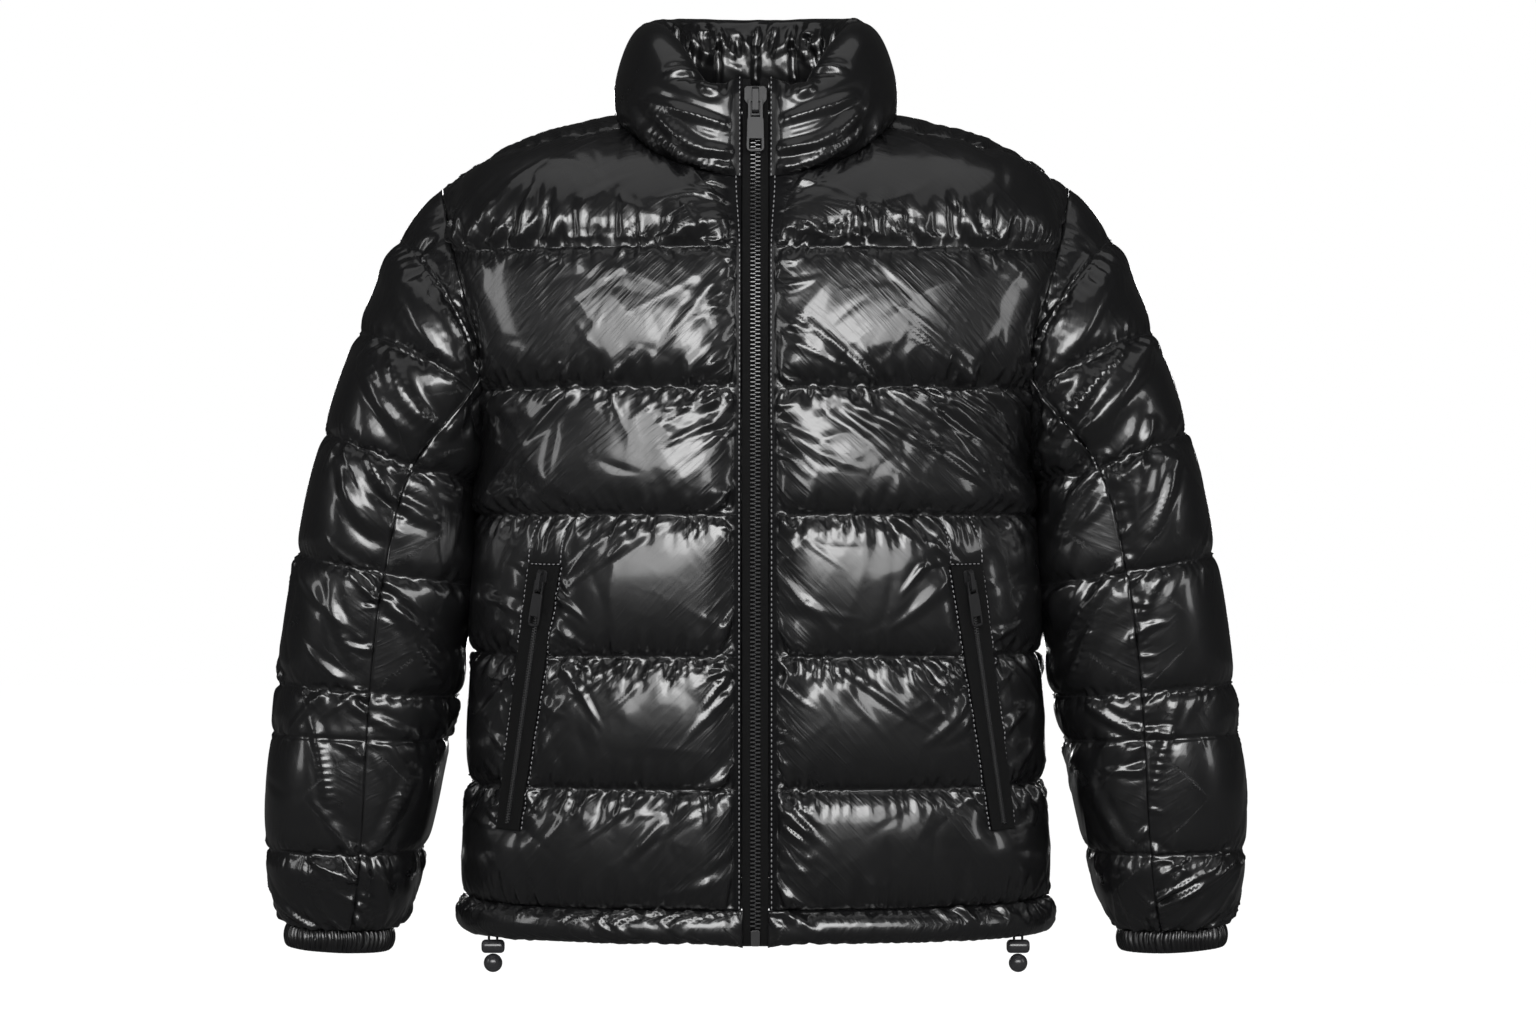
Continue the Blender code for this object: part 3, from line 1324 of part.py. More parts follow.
def lathe(name, profile, centre, material, count=16):
    """A turned solid about a vertical axis: the profile is (radius, height) from the bottom."""
    cx, cy, cz = centre
    vertices = [(cx, cy, cz + profile[0][1])]
    for radius, height in profile[1:-1]:
        for k in range(count):
            turn = 2 * math.pi * k / count
            vertices.append((cx + radius * math.cos(turn), cy + radius * math.sin(turn), cz + height))
    vertices.append((cx, cy, cz + profile[-1][1]))
    faces = []
    rings = len(profile) - 2
    for k in range(count):
        j = (k + 1) % count
        faces.append((0, 1 + j, 1 + k))
        for r in range(rings - 1):
            a, b = 1 + r * count, 1 + (r + 1) * count
            faces.append((a + k, a + j, b + j, b + k))
        top = 1 + (rings - 1) * count
        faces.append((top + k, top + j, len(vertices) - 1))
    return finish_object(name, vertices, faces, material)


def make_cord_locks():
    """The drawcord's loop, its lock and the ball on its end, on each side of the hem."""
    x, y = 0.2050, -0.0715
    wide, tall, deep = 0.0090, 0.0088, 0.0048
    top = HEM_BOTTOM - 0.0028
    for sign, side in ((1, "left"), (-1, "right")):
        outline = []
        for k in range(16):
            turn = 2 * math.pi * k / 16
            shift = (wide - tall / 2) * (1 if math.cos(turn) > 0 else -1)
            outline.append((sign * x + shift + tall / 2 * math.cos(turn),
                            top - tall / 2 + tall / 2 * math.sin(turn)))
        loops = []
        for offset, size in ((-deep, 0.72), (-deep * 0.6, 1.0), (deep * 0.6, 1.0), (deep, 0.72)):
            loops.append([
                (sign * x + (px - sign * x) * size,
                 y + offset,
                 top - tall / 2 + (pz - top + tall / 2) * size) for px, pz in outline
            ])
        loop_tube("cord_lock_" + side, loops, "black_plastic")
        radius = 0.0073
        centre = (sign * x, y, top - tall - GAP - radius)
        profile = []
        for k in range(9):
            turn = -math.pi / 2 + math.pi * k / 8
            profile.append((radius * math.cos(turn), radius * math.sin(turn)))
        lathe("cord_ball_" + side, profile, centre, "black_plastic")
        make_cord(side, sign * x, y, top)


def make_cord(side, x, y, top):
    """A short loop of cord between the hem and its lock."""
    radius = 0.00075
    loops = []
    low = top + GAP
    for k in range(9):
        turn = math.pi * k / 8
        centre = np.array([x + 0.0034 * math.cos(turn), y, low + 0.0014 * math.sin(turn)])
        run = np.array([-math.sin(turn), 0.0, 0.42 * math.cos(turn)])
        run = unit(run)
        if k in (0, 8):
            run = np.array([0.0, 0.0, 1.0 if k == 0 else -1.0])
        side_way = np.array([0.0, 1.0, 0.0])
        other = np.cross(run, side_way)
        loops.append([
            centre + side_way * radius * math.cos(a) + other * radius * math.sin(a)
            for a in np.linspace(0, 2 * math.pi, 9)[:-1]
        ])
    loop_tube("drawcord_" + side, loops, "cord")


def main():
    """Makes every piece of the jacket."""
    front, front_outer = make_fronts()
    back = make_back()
    make_collar()
    make_hem(front, back)
    make_sleeves()
    make_cuffs()
    make_zip()
    make_pockets(front_outer, front)
    make_cord_locks()


main()
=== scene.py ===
"""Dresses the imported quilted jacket: cloth panels, zips, cuffs, cords, finishes, light and camera.

Metres, +Z up, the front faces -Y and +X is the wearer's left. Every cloth piece starts from
the jacket's own pattern tables, is laid out as a fine grid and then blown up between its
quilt seams by a small cloth solver, so that its puckers are real shapes.
"""
import logging
import math
from dataclasses import dataclass, field
from enum import Enum
from typing import Callable, Iterator, Sequence

import bmesh
import bpy
import numpy as np
from mathutils import Matrix, Vector


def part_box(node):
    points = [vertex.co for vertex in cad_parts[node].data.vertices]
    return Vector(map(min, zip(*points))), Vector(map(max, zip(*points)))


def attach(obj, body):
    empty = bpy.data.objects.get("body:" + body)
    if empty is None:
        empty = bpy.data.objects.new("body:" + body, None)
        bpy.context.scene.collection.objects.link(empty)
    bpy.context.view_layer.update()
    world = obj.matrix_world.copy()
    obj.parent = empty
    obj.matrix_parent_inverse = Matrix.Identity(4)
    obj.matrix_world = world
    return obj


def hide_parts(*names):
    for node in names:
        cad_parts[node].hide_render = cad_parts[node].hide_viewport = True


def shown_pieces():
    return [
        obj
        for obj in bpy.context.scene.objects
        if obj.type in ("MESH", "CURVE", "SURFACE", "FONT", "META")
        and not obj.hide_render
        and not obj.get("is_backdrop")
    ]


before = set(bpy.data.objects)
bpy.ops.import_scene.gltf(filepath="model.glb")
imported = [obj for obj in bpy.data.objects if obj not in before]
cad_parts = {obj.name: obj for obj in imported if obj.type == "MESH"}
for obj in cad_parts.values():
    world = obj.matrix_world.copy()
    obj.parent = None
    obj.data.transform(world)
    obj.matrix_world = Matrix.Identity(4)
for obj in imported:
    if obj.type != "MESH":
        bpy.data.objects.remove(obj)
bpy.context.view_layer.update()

LOG = logging.getLogger("jacket")
logging.basicConfig(level=logging.INFO, format="%(name)s: %(message)s")

Array = np.ndarray
Material = bpy.types.Material
Piece = bpy.types.Object
Table = Sequence[Sequence[float]]

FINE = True
GAP = 0.0003      # between two pieces that are sewn together
WALL = 0.0040     # thickness of the cloth at a seam


class Side(Enum):
    """The wearer's left side is +X and the right side is -X."""

    LEFT = 1
    RIGHT = -1

    @property
    def label(self) -> str:
        """The side's name, as the pieces carry it."""
        return self.name.lower()


# ---------------------------------------------------------------- small geometry

def unit(vectors: Array) -> Array:
    """Vectors of length one."""
    vectors = np.asarray(vectors, float)
    return vectors / np.maximum(np.linalg.norm(vectors, axis=-1, keepdims=True), 1e-12)


def mirrored(points: Array) -> Array:
    """The same points on the other side of the jacket."""
    return np.asarray(points, float) * np.array([-1.0, 1.0, 1.0])


def chords(points: Array) -> Array:
    """Running length along a line of points, from 0."""
    steps = np.linalg.norm(np.diff(points, axis=0), axis=-1)
    return np.concatenate([[0.0], np.cumsum(steps)])


def run_along(grid: Array) -> Array:
    """Running length along each row of a grid of points, from 0."""
    steps = np.linalg.norm(np.diff(grid, axis=1), axis=2)
    return np.concatenate([np.zeros((len(grid), 1)), np.cumsum(steps, axis=1)], axis=1)


def widened(values: Array, count: int) -> Array:
    """One row of equal values for each value."""
    return np.repeat(values[:, None], count, axis=1)


def hermite(start: Array, run_start: Array, end: Array, run_end: Array, t: Array) -> Array:
    """A place on a smooth curve between two points.

    Args:
        start: Where the curve leaves.
        run_start: The way it leaves.
        end: Where it arrives.
        run_end: The way it arrives.
        t: How far along it the place is, from 0 to 1.

    Returns:
        The place.
    """
    return (
        start * (1 + 2 * t) * (1 - t) ** 2 + run_start * t * (1 - t) ** 2
        + end * t * t * (3 - 2 * t) - run_end * t * t * (1 - t)
    )


def place_between(keys: Array, at: Array, shape: tuple[int, ...]) -> tuple[Array, Array, Array]:
    """Finds where places lie between rising keys.

    Args:
        keys: The keys.
        at: The places.
        shape: Shape that the shares and spans are given.

    Returns:
        The key below each place, its share of the way to the next key, and the span between them.
    """
    below = np.clip(np.searchsorted(keys, at, side="right") - 1, 0, len(keys) - 2)
    span = (keys[below + 1] - keys[below]).reshape(shape)
    return below, (at - keys[below]).reshape(shape) / span, span


def read_smooth(keys: Array, values: Array, at: Array) -> Array:
    """Reads values on a smooth curve through rows of values.

    Args:
        keys: Where each row stands, rising.
        values: One row of any shape for each key.
        at: Where to read.

    Returns:
        One row for each place in at.
    """
    keys = np.asarray(keys, float)
    values = np.asarray(values, float)
    if len(keys) < 3:
        slopes = np.repeat((values[-1:] - values[:1]) / (keys[-1] - keys[0]), len(keys), axis=0)
    else:
        slopes = np.gradient(values, keys, axis=0)
    at = np.clip(np.atleast_1d(np.asarray(at, float)), keys[0], keys[-1])
    low, t, span = place_between(keys, at, (-1,) + (1,) * (values.ndim - 1))
    return hermite(values[low], slopes[low] * span, values[low + 1], slopes[low + 1] * span, t)


def read_chords(keys: Array, values: Array, at: Array) -> Array:
    """Reads values as read_smooth does, on straight lines between the rows."""
    low, t, _ = place_between(keys, at, (-1,) + (1,) * (values.ndim - 1))
    return values[low] * (1 - t) + values[low + 1] * t


def read_grid(
    values: Array, keys: Sequence[Array], at: Sequence[Array], read: Callable = read_smooth
) -> Array:
    """Reads a grid of values at other rows and columns.

    Args:
        values: The grid.
        keys: Where its rows and its columns stand.
        at: The rows and the columns to read.
        read: How to read them.

    Returns:
        The grid of values read.
    """
    rows = read(keys[0], values, at[0])
    return np.swapaxes(read(keys[1], np.swapaxes(rows, 0, 1), at[1]), 0, 1)


def smooth(table: Table, at: Array) -> Array:
    """Reads a table, whose first column is its key, on a smooth curve through its rows."""
    rows = np.array(sorted(tuple(row) for row in table), float)
    return read_smooth(rows[:, 0], rows[:, 1:], at)


def read_straight(table: Table, key: float) -> list[float]:
    """Reads a table on its straight chords."""
    rows = np.array(sorted(tuple(row) for row in table), float)
    return [float(np.interp(key, rows[:, 0], rows[:, i])) for i in range(1, rows.shape[1])]


def along(line: Array, shares: Array) -> Array:
    """Points on the chords of a line, at shares of its count of chords."""
    keys = np.linspace(0, 1, len(line))
    return np.column_stack([np.interp(shares, keys, line[:, i]) for i in range(line.shape[1])])


def nearest(keys: Array, at: float) -> int:
    """Number of the key that is nearest to a place."""
    return int(np.argmin(np.abs(keys - at)))


def puff_shape(t: Array) -> Array:
    """Height across a chamber: 0 at a seam and 1 from t = 1 on."""
    t = np.clip(t, 0.0, 1.0)
    return np.sqrt(np.maximum(0.0, 1.0 - (1.0 - t) ** 2))


def surface_normals(grid: Array) -> Array:
    """Unit normals of a grid of points, all on one side of it."""
    return unit(np.cross(np.gradient(grid, axis=0), np.gradient(grid, axis=1)))


def wander(count: int, reach: float, seed: int) -> Array:
    """A smooth random line of values between about -1 and 1.

    Args:
        count: How many values.
        reach: How many of them a swell goes over.
        seed: Picks the line.

    Returns:
        The values.
    """
    knots = max(4, int(count / reach) + 3)
    values = np.random.default_rng(seed).uniform(-1, 1, knots)
    return read_smooth(np.linspace(0, count - 1, knots), values, np.arange(count))


def wander_field(shape: tuple[int, int], reach: tuple[float, float], seed: int) -> Array:
    """A smooth random field of values between about -1 and 1.

    Args:
        shape: How many rows and columns.
        reach: How many of them a swell goes over.
        seed: Picks the field.

    Returns:
        The values.
    """
    knots = [max(4, int(size / long) + 3) for size, long in zip(shape, reach)]
    values = np.random.default_rng(seed).uniform(-1, 1, knots)
    keys = [np.linspace(0, size - 1, count) for size, count in zip(shape, knots)]
    return read_grid(values, keys, [np.arange(size) for size in shape])


# ---------------------------------------------------------------- the jacket's pattern

ZIP_WALL = 0.0022          # thickness of the cloth beside the front zip
BODY_PUFF = 0.0115         # the most that the chambers of the body puff out
TOP_PUFF = 0.0090          # the same of its top chamber
SLEEVE_PUFF = 0.0085       # the same of the sleeves, in front and behind
SLEEVE_SIDE_PUFF = 0.0009  # the same on their two sides
SLEEVE_END_PUFF = 0.0032   # how much further the last chamber of a sleeve puffs out
HEM_Z = -0.612             # height of the hem seam
HEM_BOTTOM = -0.640        # height of the lower edge of the hem band
ZIP_HALF = 0.0108          # from the middle to the edge of a front
EDGE_FLAT = 0.0072         # width of the part of a front that stays flat beside the zip
CUFF_LENGTH = 0.0180       # how far a cuff reaches below its sleeve
RIM_THICK = 0.0235         # how thick the collar is
ZIP_RIM_THICK = 0.0050     # the same at the zip
NEXT_RIM_THICK = 0.0160    # the same one section on, and how far its outside bulges
NEXT_RIM_BULGE = 0.0050
FINE_SHARES = 201          # points that a section of the torso is read at, to find a place on it

# Body quilt seams, from the hem seam to the chest
QUILT_Z = (HEM_Z, -0.520, -0.418, -0.309, -0.211, -0.103)

# z, half width, depth in front, depth behind, squareness of the section
TORSO = (
    (-0.6400, 0.2325, 0.1330, 0.1310, 2.35),
    (-0.6120, 0.2300, 0.1325, 0.1305, 2.35),
    (-0.5200, 0.2255, 0.1350, 0.1290, 2.35),
    (-0.4180, 0.2235, 0.1370, 0.1270, 2.35),
    (-0.3090, 0.2215, 0.1400, 0.1300, 2.35),
    (-0.2500, 0.2215, 0.1405, 0.1330, 2.35),
    (-0.2110, 0.2260, 0.1395, 0.1340, 2.40),
    (-0.1600, 0.2390, 0.1355, 0.1300, 2.50),
    (-0.1030, 0.2560, 0.1270, 0.1200, 2.60),
)
# z, y of the zip line
ZIP_LINE = (
    (-0.6600, -0.1330), (-0.6120, -0.1325), (-0.5200, -0.1350), (-0.4180, -0.1370),
    (-0.3090, -0.1400), (-0.2110, -0.1395), (-0.1600, -0.1355), (-0.1030, -0.1270),
    (-0.0495, -0.1120), (0.0000, -0.1065), (0.0400, -0.1035),
)
# Armhole in front, from the shoulder point to the armpit: x, y, z, y of the same point behind
ARMHOLE = (
    (0.2507, 0.0000, -0.0490, 0.0000),
    (0.2475, -0.0240, -0.0600, 0.0250),
    (0.2409, -0.0450, -0.0890, 0.0480),
    (0.2336, -0.0635, -0.1160, 0.0665),
    (0.2263, -0.0715, -0.1419, 0.0755),
    (0.2170, -0.0745, -0.1721, 0.0790),
    (0.2138, -0.0715, -0.1980, 0.0765),
    (0.2142, -0.0600, -0.2228, 0.0640),
    (0.2175, -0.0400, -0.2384, 0.0420),
    (0.2215, 0.0000, -0.2522, 0.0000),
)
ARMHOLE_MIDDLE = (0.232, 0.002, -0.150)
ARMHOLE_SPLIT = 6          # the row of the table where the two sleeve seams start

# Neck seam, from the zip to the shoulder seam, then to the middle of the back: x, y, z
NECK = (
    (0.0108, -0.1120, -0.0495),
    (0.0330, -0.1085, -0.0455),
    (0.0560, -0.0990, -0.0385),
    (0.0780, -0.0820, -0.0275),
    (0.0950, -0.0610, -0.0135),
    (0.1056, -0.0380, -0.0030),
    (0.1075, -0.0040, 0.0135),
    (0.0975, 0.0280, 0.0175),
    (0.0740, 0.0570, 0.0215),
    (0.0400, 0.0745, 0.0235),
    (0.0000, 0.0800, 0.0240),
)
# Collar rim over the same places: x, y, z, how far the outside bulges
COLLAR_RIM = (
    (0.0108, -0.1045, 0.0290, 0.0000),
    (0.0330, -0.1010, 0.0260, 0.0075),
    (0.0500, -0.0930, 0.0340, 0.0100),
    (0.0660, -0.0780, 0.0555, 0.0100),
    (0.0800, -0.0550, 0.0735, 0.0090),
    (0.0885, -0.0250, 0.0835, 0.0080),
    (0.0900, 0.0050, 0.0880, 0.0070),
    (0.0840, 0.0350, 0.0930, 0.0080),
    (0.0660, 0.0620, 0.0965, 0.0090),
    (0.0370, 0.0820, 0.0985, 0.0100),
    (0.0000, 0.0890, 0.0990, 0.0100),
)
COLLAR_STEPS = 21          # sections of the collar from the zip to the middle of the back
# Share of the collar's height and of its bulge, up the outside
COLLAR_OUTSIDE = ((0.14, 0.75), (0.35, 1.0), (0.60, 0.85), (0.85, 0.35))
# Shares of its thickness, below the rim and behind it, over the rim
COLLAR_TOP = ((0.10, 0.14), (0.0, 0.50), (0.12, 0.88))
# Share of its height and of its thickness, down the inside
COLLAR_INSIDE = ((0.80, 1.0), (0.55, 1.0), (0.30, 0.85), (0.12, 0.55))
# Share of the hem band's height, and how far it stands out or in, down the outside and up the inside
HEM_OUTSIDE = ((0.0, 0.0), (0.22, 0.0050), (0.55, 0.0068), (0.85, 0.0050), (1.0, 0.0010))
HEM_INSIDE = ((1.0, -0.0060), (0.75, -0.0085), (0.30, -0.0070), (0.0, -WALL))

# Shoulder seam between the neck and the shoulder point: x, y, z
SHOULDER = (
    (0.1300, -0.0365, -0.0088), (0.1570, -0.0335, -0.0136),
    (0.1850, -0.0270, -0.0208), (0.2150, -0.0130, -0.0318),
)
# Where the top chamber runs at its top edge, column by column from the zip: x, y, z
FRONT_TOP_RUN = (
    (0.00, 0.20, 0.98), (0.00, 0.35, 0.93), (0.00, 0.50, 0.86), (0.00, 0.62, 0.78),
    (-0.02, 0.74, 0.66), (-0.03, 0.84, 0.52), (0.00, 0.93, 0.34), (0.00, 0.96, 0.26),
    (0.00, 0.97, 0.20), (0.05, 0.97, 0.10), (0.20, 0.80, 0.40),
)
# The same behind, from the armhole to the middle of the back
BACK_TOP_RUN = (
    (0.20, -0.80, 0.40), (0.05, -0.95, -0.12), (0.00, -0.95, -0.34), (0.00, -0.90, -0.48),
    (-0.02, -0.88, -0.52), (-0.05, -0.88, -0.50), (-0.10, -0.90, 0.25), (-0.05, -0.62, 0.75),
    (0.00, -0.50, 0.85), (0.00, -0.42, 0.90), (0.00, -0.40, 0.91),
)
# Share of a front's width at each column, from the zip to the side
FRONT_COLUMNS = (0.0, 0.030, 0.10, 0.22, 0.38, 0.55, 0.66, 0.74, 0.82, 0.93, 1.0)
# Share of half the back's width, from the side to the middle
BACK_COLUMNS = (0.0, 0.050, 0.13, 0.23, 0.33, 0.44, 0.55, 0.66, 0.77, 0.88, 1.0)
# Share of a chamber's height at each row, and the same in the chamber of the armpit
CHAMBER_ROWS = (0.0, 0.12, 0.36, 0.64, 0.88)
ARMPIT_ROWS = (0.0, 0.12, 0.36, 0.58, 0.72, 0.88)
ARMPIT_CHAMBER = 3
# Share of the top chamber at each row, and the row of the armhole table it ends at
TOP_ROWS = ((0.09, 2.3), (0.25, 2.0), (0.45, 1.5), (0.65, 1.0), (0.84, 0.5), (1.0, 0.0))
TOP_ARM = np.array([row for _, row in TOP_ROWS]) / (len(ARMHOLE) - 1)

# Upper quilt seams of the outer sleeve: share of the way from the middle of the outer
# piece to its edge, x, y in front, z in front, y behind
SLEEVE_CAP_SEAM = (
    (0.00, 0.2840, 0.0000, -0.0900, 0.0000),
    (0.20, 0.2765, -0.0300, -0.0955, 0.0310),
    (0.40, 0.2590, -0.0560, -0.1150, 0.0590),
    (0.60, 0.2420, -0.0715, -0.1380, 0.0760),
    (0.80, 0.2285, -0.0790, -0.1620, 0.0830),
    (1.00, 0.2160, -0.0735, -0.2035, 0.0785),
)
SLEEVE_FIRST_SEAM = (
    (0.00, 0.3165, 0.0000, -0.1645, 0.0000),
    (0.20, 0.3090, -0.0400, -0.1670, 0.0410),
    (0.40, 0.2890, -0.0690, -0.1735, 0.0720),
    (0.60, 0.2640, -0.0830, -0.1850, 0.0870),
    (0.80, 0.2390, -0.0855, -0.1985, 0.0890),
    (1.00, 0.2205, -0.0770, -0.2120, 0.0820),
)
# Sleeve rings: outer x and z, inner x and z, depth in front, depth behind,
# angle of the front seam, angle of the back seam (both from the outer side, in degrees)
SLEEVE_RINGS = (
    (0.3423, -0.2440, 0.2335, -0.2850, 0.0850, 0.0860, 110, 112),
    (0.3646, -0.3400, 0.2335, -0.3660, 0.0810, 0.0840, 97, 108),
    (0.3800, -0.4425, 0.2385, -0.4535, 0.0750, 0.0790, 95, 108),
    (0.3845, -0.4820, 0.2470, -0.4880, 0.0730, 0.0760, 98, 110),
    (0.3880, -0.5744, 0.2665, -0.5755, 0.0660, 0.0670, 104, 114),
    (0.3755, -0.6345, 0.2895, -0.6390, 0.0450, 0.0460, 104, 114),
)
RING_POWER = 2 / 2.25      # makes a ring a little squarer than an ellipse
# z, x and z of the sleeve's middle line
SLEEVE_MIDDLE = (
    (-0.050, 0.200, -0.150), (-0.250, 0.284, -0.290), (-0.355, 0.298, -0.355),
    (-0.448, 0.309, -0.448), (-0.575, 0.327, -0.575), (-0.640, 0.333, -0.640),
)
OUTER_HALF_COLUMNS = 6
INNER_COLUMNS = 6
# Shares of the rows in each chamber of the outer piece, and how full the chambers are
SLEEVE_ROWS = (
    (0.0, 0.30, 0.70),
    (0.0, 0.15, 0.38, 0.62, 0.85),
    (0.0, 0.15, 0.38, 0.62, 0.85),
    (0.0, 0.12, 0.36, 0.64, 0.88),
    (0.0, 0.12, 0.36, 0.64, 0.88),
    (0.0, 0.30, 0.70),
    (0.0, 0.12, 0.36, 0.64, 0.88),
    (0.0, 0.20, 0.50, 0.80),
)
SLEEVE_PUFFS = (0.8, 1.0, 1.0, 1.0, 1.0, 0.55, 1.0, 1.35)
SHORT_ROWS = len(SLEEVE_ROWS[0] + SLEEVE_ROWS[1])

POCKET_ROWS = (3, 13)       # rows of a front that the pocket zip lies along
POCKET_COLUMNS = (6, 7, 8)
POCKET_LIFT = 0.0068        # how far the pocket zip stands over the quilt seams
POCKET_CHAIN_TOP = 0.0225   # from the top of the pocket to the end of its teeth, under the slider
POCKET_EASE = 0.098         # how far over the pocket's line the columns follow it less and less
BELOW_ARMPIT = -0.26
# z, x of the pocket's outer and inner edge
POCKET_LINE = (
    (-0.309, 0.1650, 0.1425), (-0.348, 0.1690, 0.1470),
    (-0.553, 0.1950, 0.1790), (-0.612, 0.2010, 0.1860),
)


class Seam:
    """A seam that two pieces share."""

    def __init__(self, points: Array, inward: Array, across: Array) -> None:
        """Keeps the seam's points and ways.

        Args:
            points: Its points, in order.
            inward: The way into the wall at each.
            across: The way across the seam at each.
        """
        self.points = np.asarray(points, float)
        self.inward = np.array(inward, float)
        self.across = np.array(across, float)

    @classmethod
    def square(cls, points: Array, inward: Array, hint: Sequence[float]) -> "Seam":
        """A seam whose wall and way across stand square to it.

        Args:
            points: Its points, in order.
            inward: Roughly the way into the wall.
            hint: Roughly the way across.

        Returns:
            The seam.
        """
        run = unit(np.gradient(points, axis=0))
        inward = unit(inward - run * np.sum(run * inward, axis=1, keepdims=True))
        across = np.cross(run, inward)
        across *= np.sign(np.sum(across * np.asarray(hint), axis=1, keepdims=True))
        return cls(points, inward, unit(across))

    def at(self, shares: Array) -> "Seam":
        """The same seam at shares of its count of chords, on those chords."""
        return Seam(*(along(values, shares) for values in (self.points, self.inward, self.across)))

    def pick(self, rows: Sequence[int] | slice) -> "Seam":
        """The same seam at some of its points."""
        return Seam(self.points[rows], self.inward[rows], self.across[rows])


class Panel:
    """A grid of base points with the seams along its edges, made into a puffed wall."""

    def __init__(self, grid: Array, outward_from: Array) -> None:
        """Starts a panel on base points, with its seams still to be sewn.

        Args:
            grid: The base points.
            outward_from: Points inside the panel.
        """
        self.grid = np.array(grid, float)
        normals = surface_normals(self.grid)
        flip = np.sign(np.sum(normals * (self.grid - outward_from), axis=-1).mean())
        self.normals = normals * (flip if flip else 1.0)
        self.shift = np.zeros_like(self.grid)
        self.inward = -self.normals.copy()
        self.marks = np.zeros(self.grid.shape[:2])
        self.wall = np.full(self.grid.shape[:2], WALL)
        self.puff = np.zeros(self.grid.shape[:2])

    def sew(self, where: tuple, seam: Seam, side: int) -> None:
        """Sets an edge of the panel back from a seam by half the gap.

        Args:
            where: Rows and columns of the edge.
            seam: The seam.
            side: Which side of it the panel is on, 1 or -1.
        """
        self.grid[where] = seam.points
        self.shift[where] += side * seam.across * GAP / 2
        both = unit(self.inward[where] + seam.inward)
        self.inward[where] = np.where(self.marks[where][..., None] > 0, both, seam.inward)
        self.marks[where] += 1


def zip_y(z: float) -> float:
    """Depth of the zip line at a height."""
    return float(smooth(ZIP_LINE, z)[0, 0])


def section(z: float, share: Array, front: bool) -> Array:
    """Points of the torso at a height.

    Args:
        z: Height of the row.
        share: Shares of the way from the centre line to the side.
        front: Whether the row is on a front.

    Returns:
        One point for each share.
    """
    width, ahead, behind, square = smooth(TORSO, z)[0]
    depth = -ahead if front else behind
    turn = np.linspace(0.0, math.pi / 2, 181)
    x = width * np.sin(turn) ** (2 / square)
    y = depth * np.cos(turn) ** (2 / square)
    line = np.column_stack([x, y, np.full_like(x, z)])
    if front:
        line = np.concatenate([[[ZIP_HALF, zip_y(z), z]], line[np.searchsorted(x, ZIP_HALF):]])
    if z > ARMHOLE[-1][2] + 0.0005:
        column = 1 if front else 3
        x_end, y_end = read_straight([(row[2], row[0], row[column]) for row in ARMHOLE], z)
        keep = np.abs(line[:, 1]) > abs(y_end)
        line = np.concatenate([line[keep], [[0, 0, z]]])
        cut = line[-2].copy()
        line[-1] = (x_end, y_end, z)
        lengths = np.linalg.norm(line[:-1] - line[0], axis=1)
        pull = (lengths / max(lengths[-1], 1e-9)) ** 3
        line[:-1] += (line[-1] - cut)[None, :] * 0.9 * pull[:, None]
    lengths = chords(line)
    lengths /= lengths[-1]
    return np.column_stack([np.interp(share, lengths, line[:, i]) for i in range(3)])


def armhole_seams() -> list[Seam]:
    """The armhole from the shoulder point to the armpit, its front and its back half.

    Returns:
        The front half and the back half.
    """
    seams = []
    for column in (1, 3):
        half = np.array([(row[0], row[column], row[2]) for row in ARMHOLE])
        other = np.array([(row[0], row[4 - column], row[2]) for row in ARMHOLE])
        loop = np.concatenate([other[1:2], half, other[-2:-1]])
        whole = Seam.square(loop, np.asarray(ARMHOLE_MIDDLE) - loop, (1, 0, 0))
        seams.append(whole.pick(slice(1, -1)))
    for ways in ([seam.inward for seam in seams], [seam.across for seam in seams]):
        for place in (0, -1):
            mean = unit(ways[0][place] + ways[1][place])
            mean[1] = 0.0
            for way in ways:
                way[place] = unit(mean)
    return seams


def neck_seam() -> Seam:
    """The neck seam of one half, from the zip to the middle of the back.

    Returns:
        The seam.
    """
    points = np.array(NECK)
    inward = np.array([0.0, -0.015, 0.0]) - points
    inward[:, 2] = -0.035
    inward[0] = (0.0, 0.06, -0.01)
    inward[-1] = (0.0, -0.08, -0.03)
    seam = Seam.square(points, inward, (0, 0, 1))
    seam.inward[0] = (0.0, 1.0, 0.0)
    seam.across[0] = unit((0.0, 0.10, 1.0))
    return seam


def shoulder_seam() -> Seam:
    """The shoulder seam from the neck point to the shoulder point."""
    points = np.array([NECK[5]] + list(SHOULDER) + [ARMHOLE[0][:3]])
    return Seam.square(points, np.tile([0.0, 0.18, -1.0], (len(points), 1)), (0, 1, 0))


ARM_FRONT, ARM_BACK = armhole_seams()
NECK_SEAM = neck_seam()
SHOULDER_SEAM = shoulder_seam()


def level_inward(line: Array, run: Array) -> Array:
    """The level way into the jacket, square to a line that goes round it.

    Args:
        line: The points of the line.
        run: The way along it at each.

    Returns:
        The way in at each.
    """
    inward = np.cross(run, (0.0, 0.0, 1.0))
    toward = -line * np.array([1.0, 1.0, 0.0])
    return unit(inward * np.sign(np.sum(inward * toward, axis=1, keepdims=True)))


def quilt_heights() -> list[float]:
    """Height of each level row, from the hem seam to the chest seam.

    Returns:
        The heights.
    """
    heights = []
    for chamber, (low, high) in enumerate(zip(QUILT_Z, QUILT_Z[1:])):
        shares = ARMPIT_ROWS if chamber == ARMPIT_CHAMBER else CHAMBER_ROWS
        heights += [low + (high - low) * share for share in shares]
    return heights + [QUILT_Z[-1]]


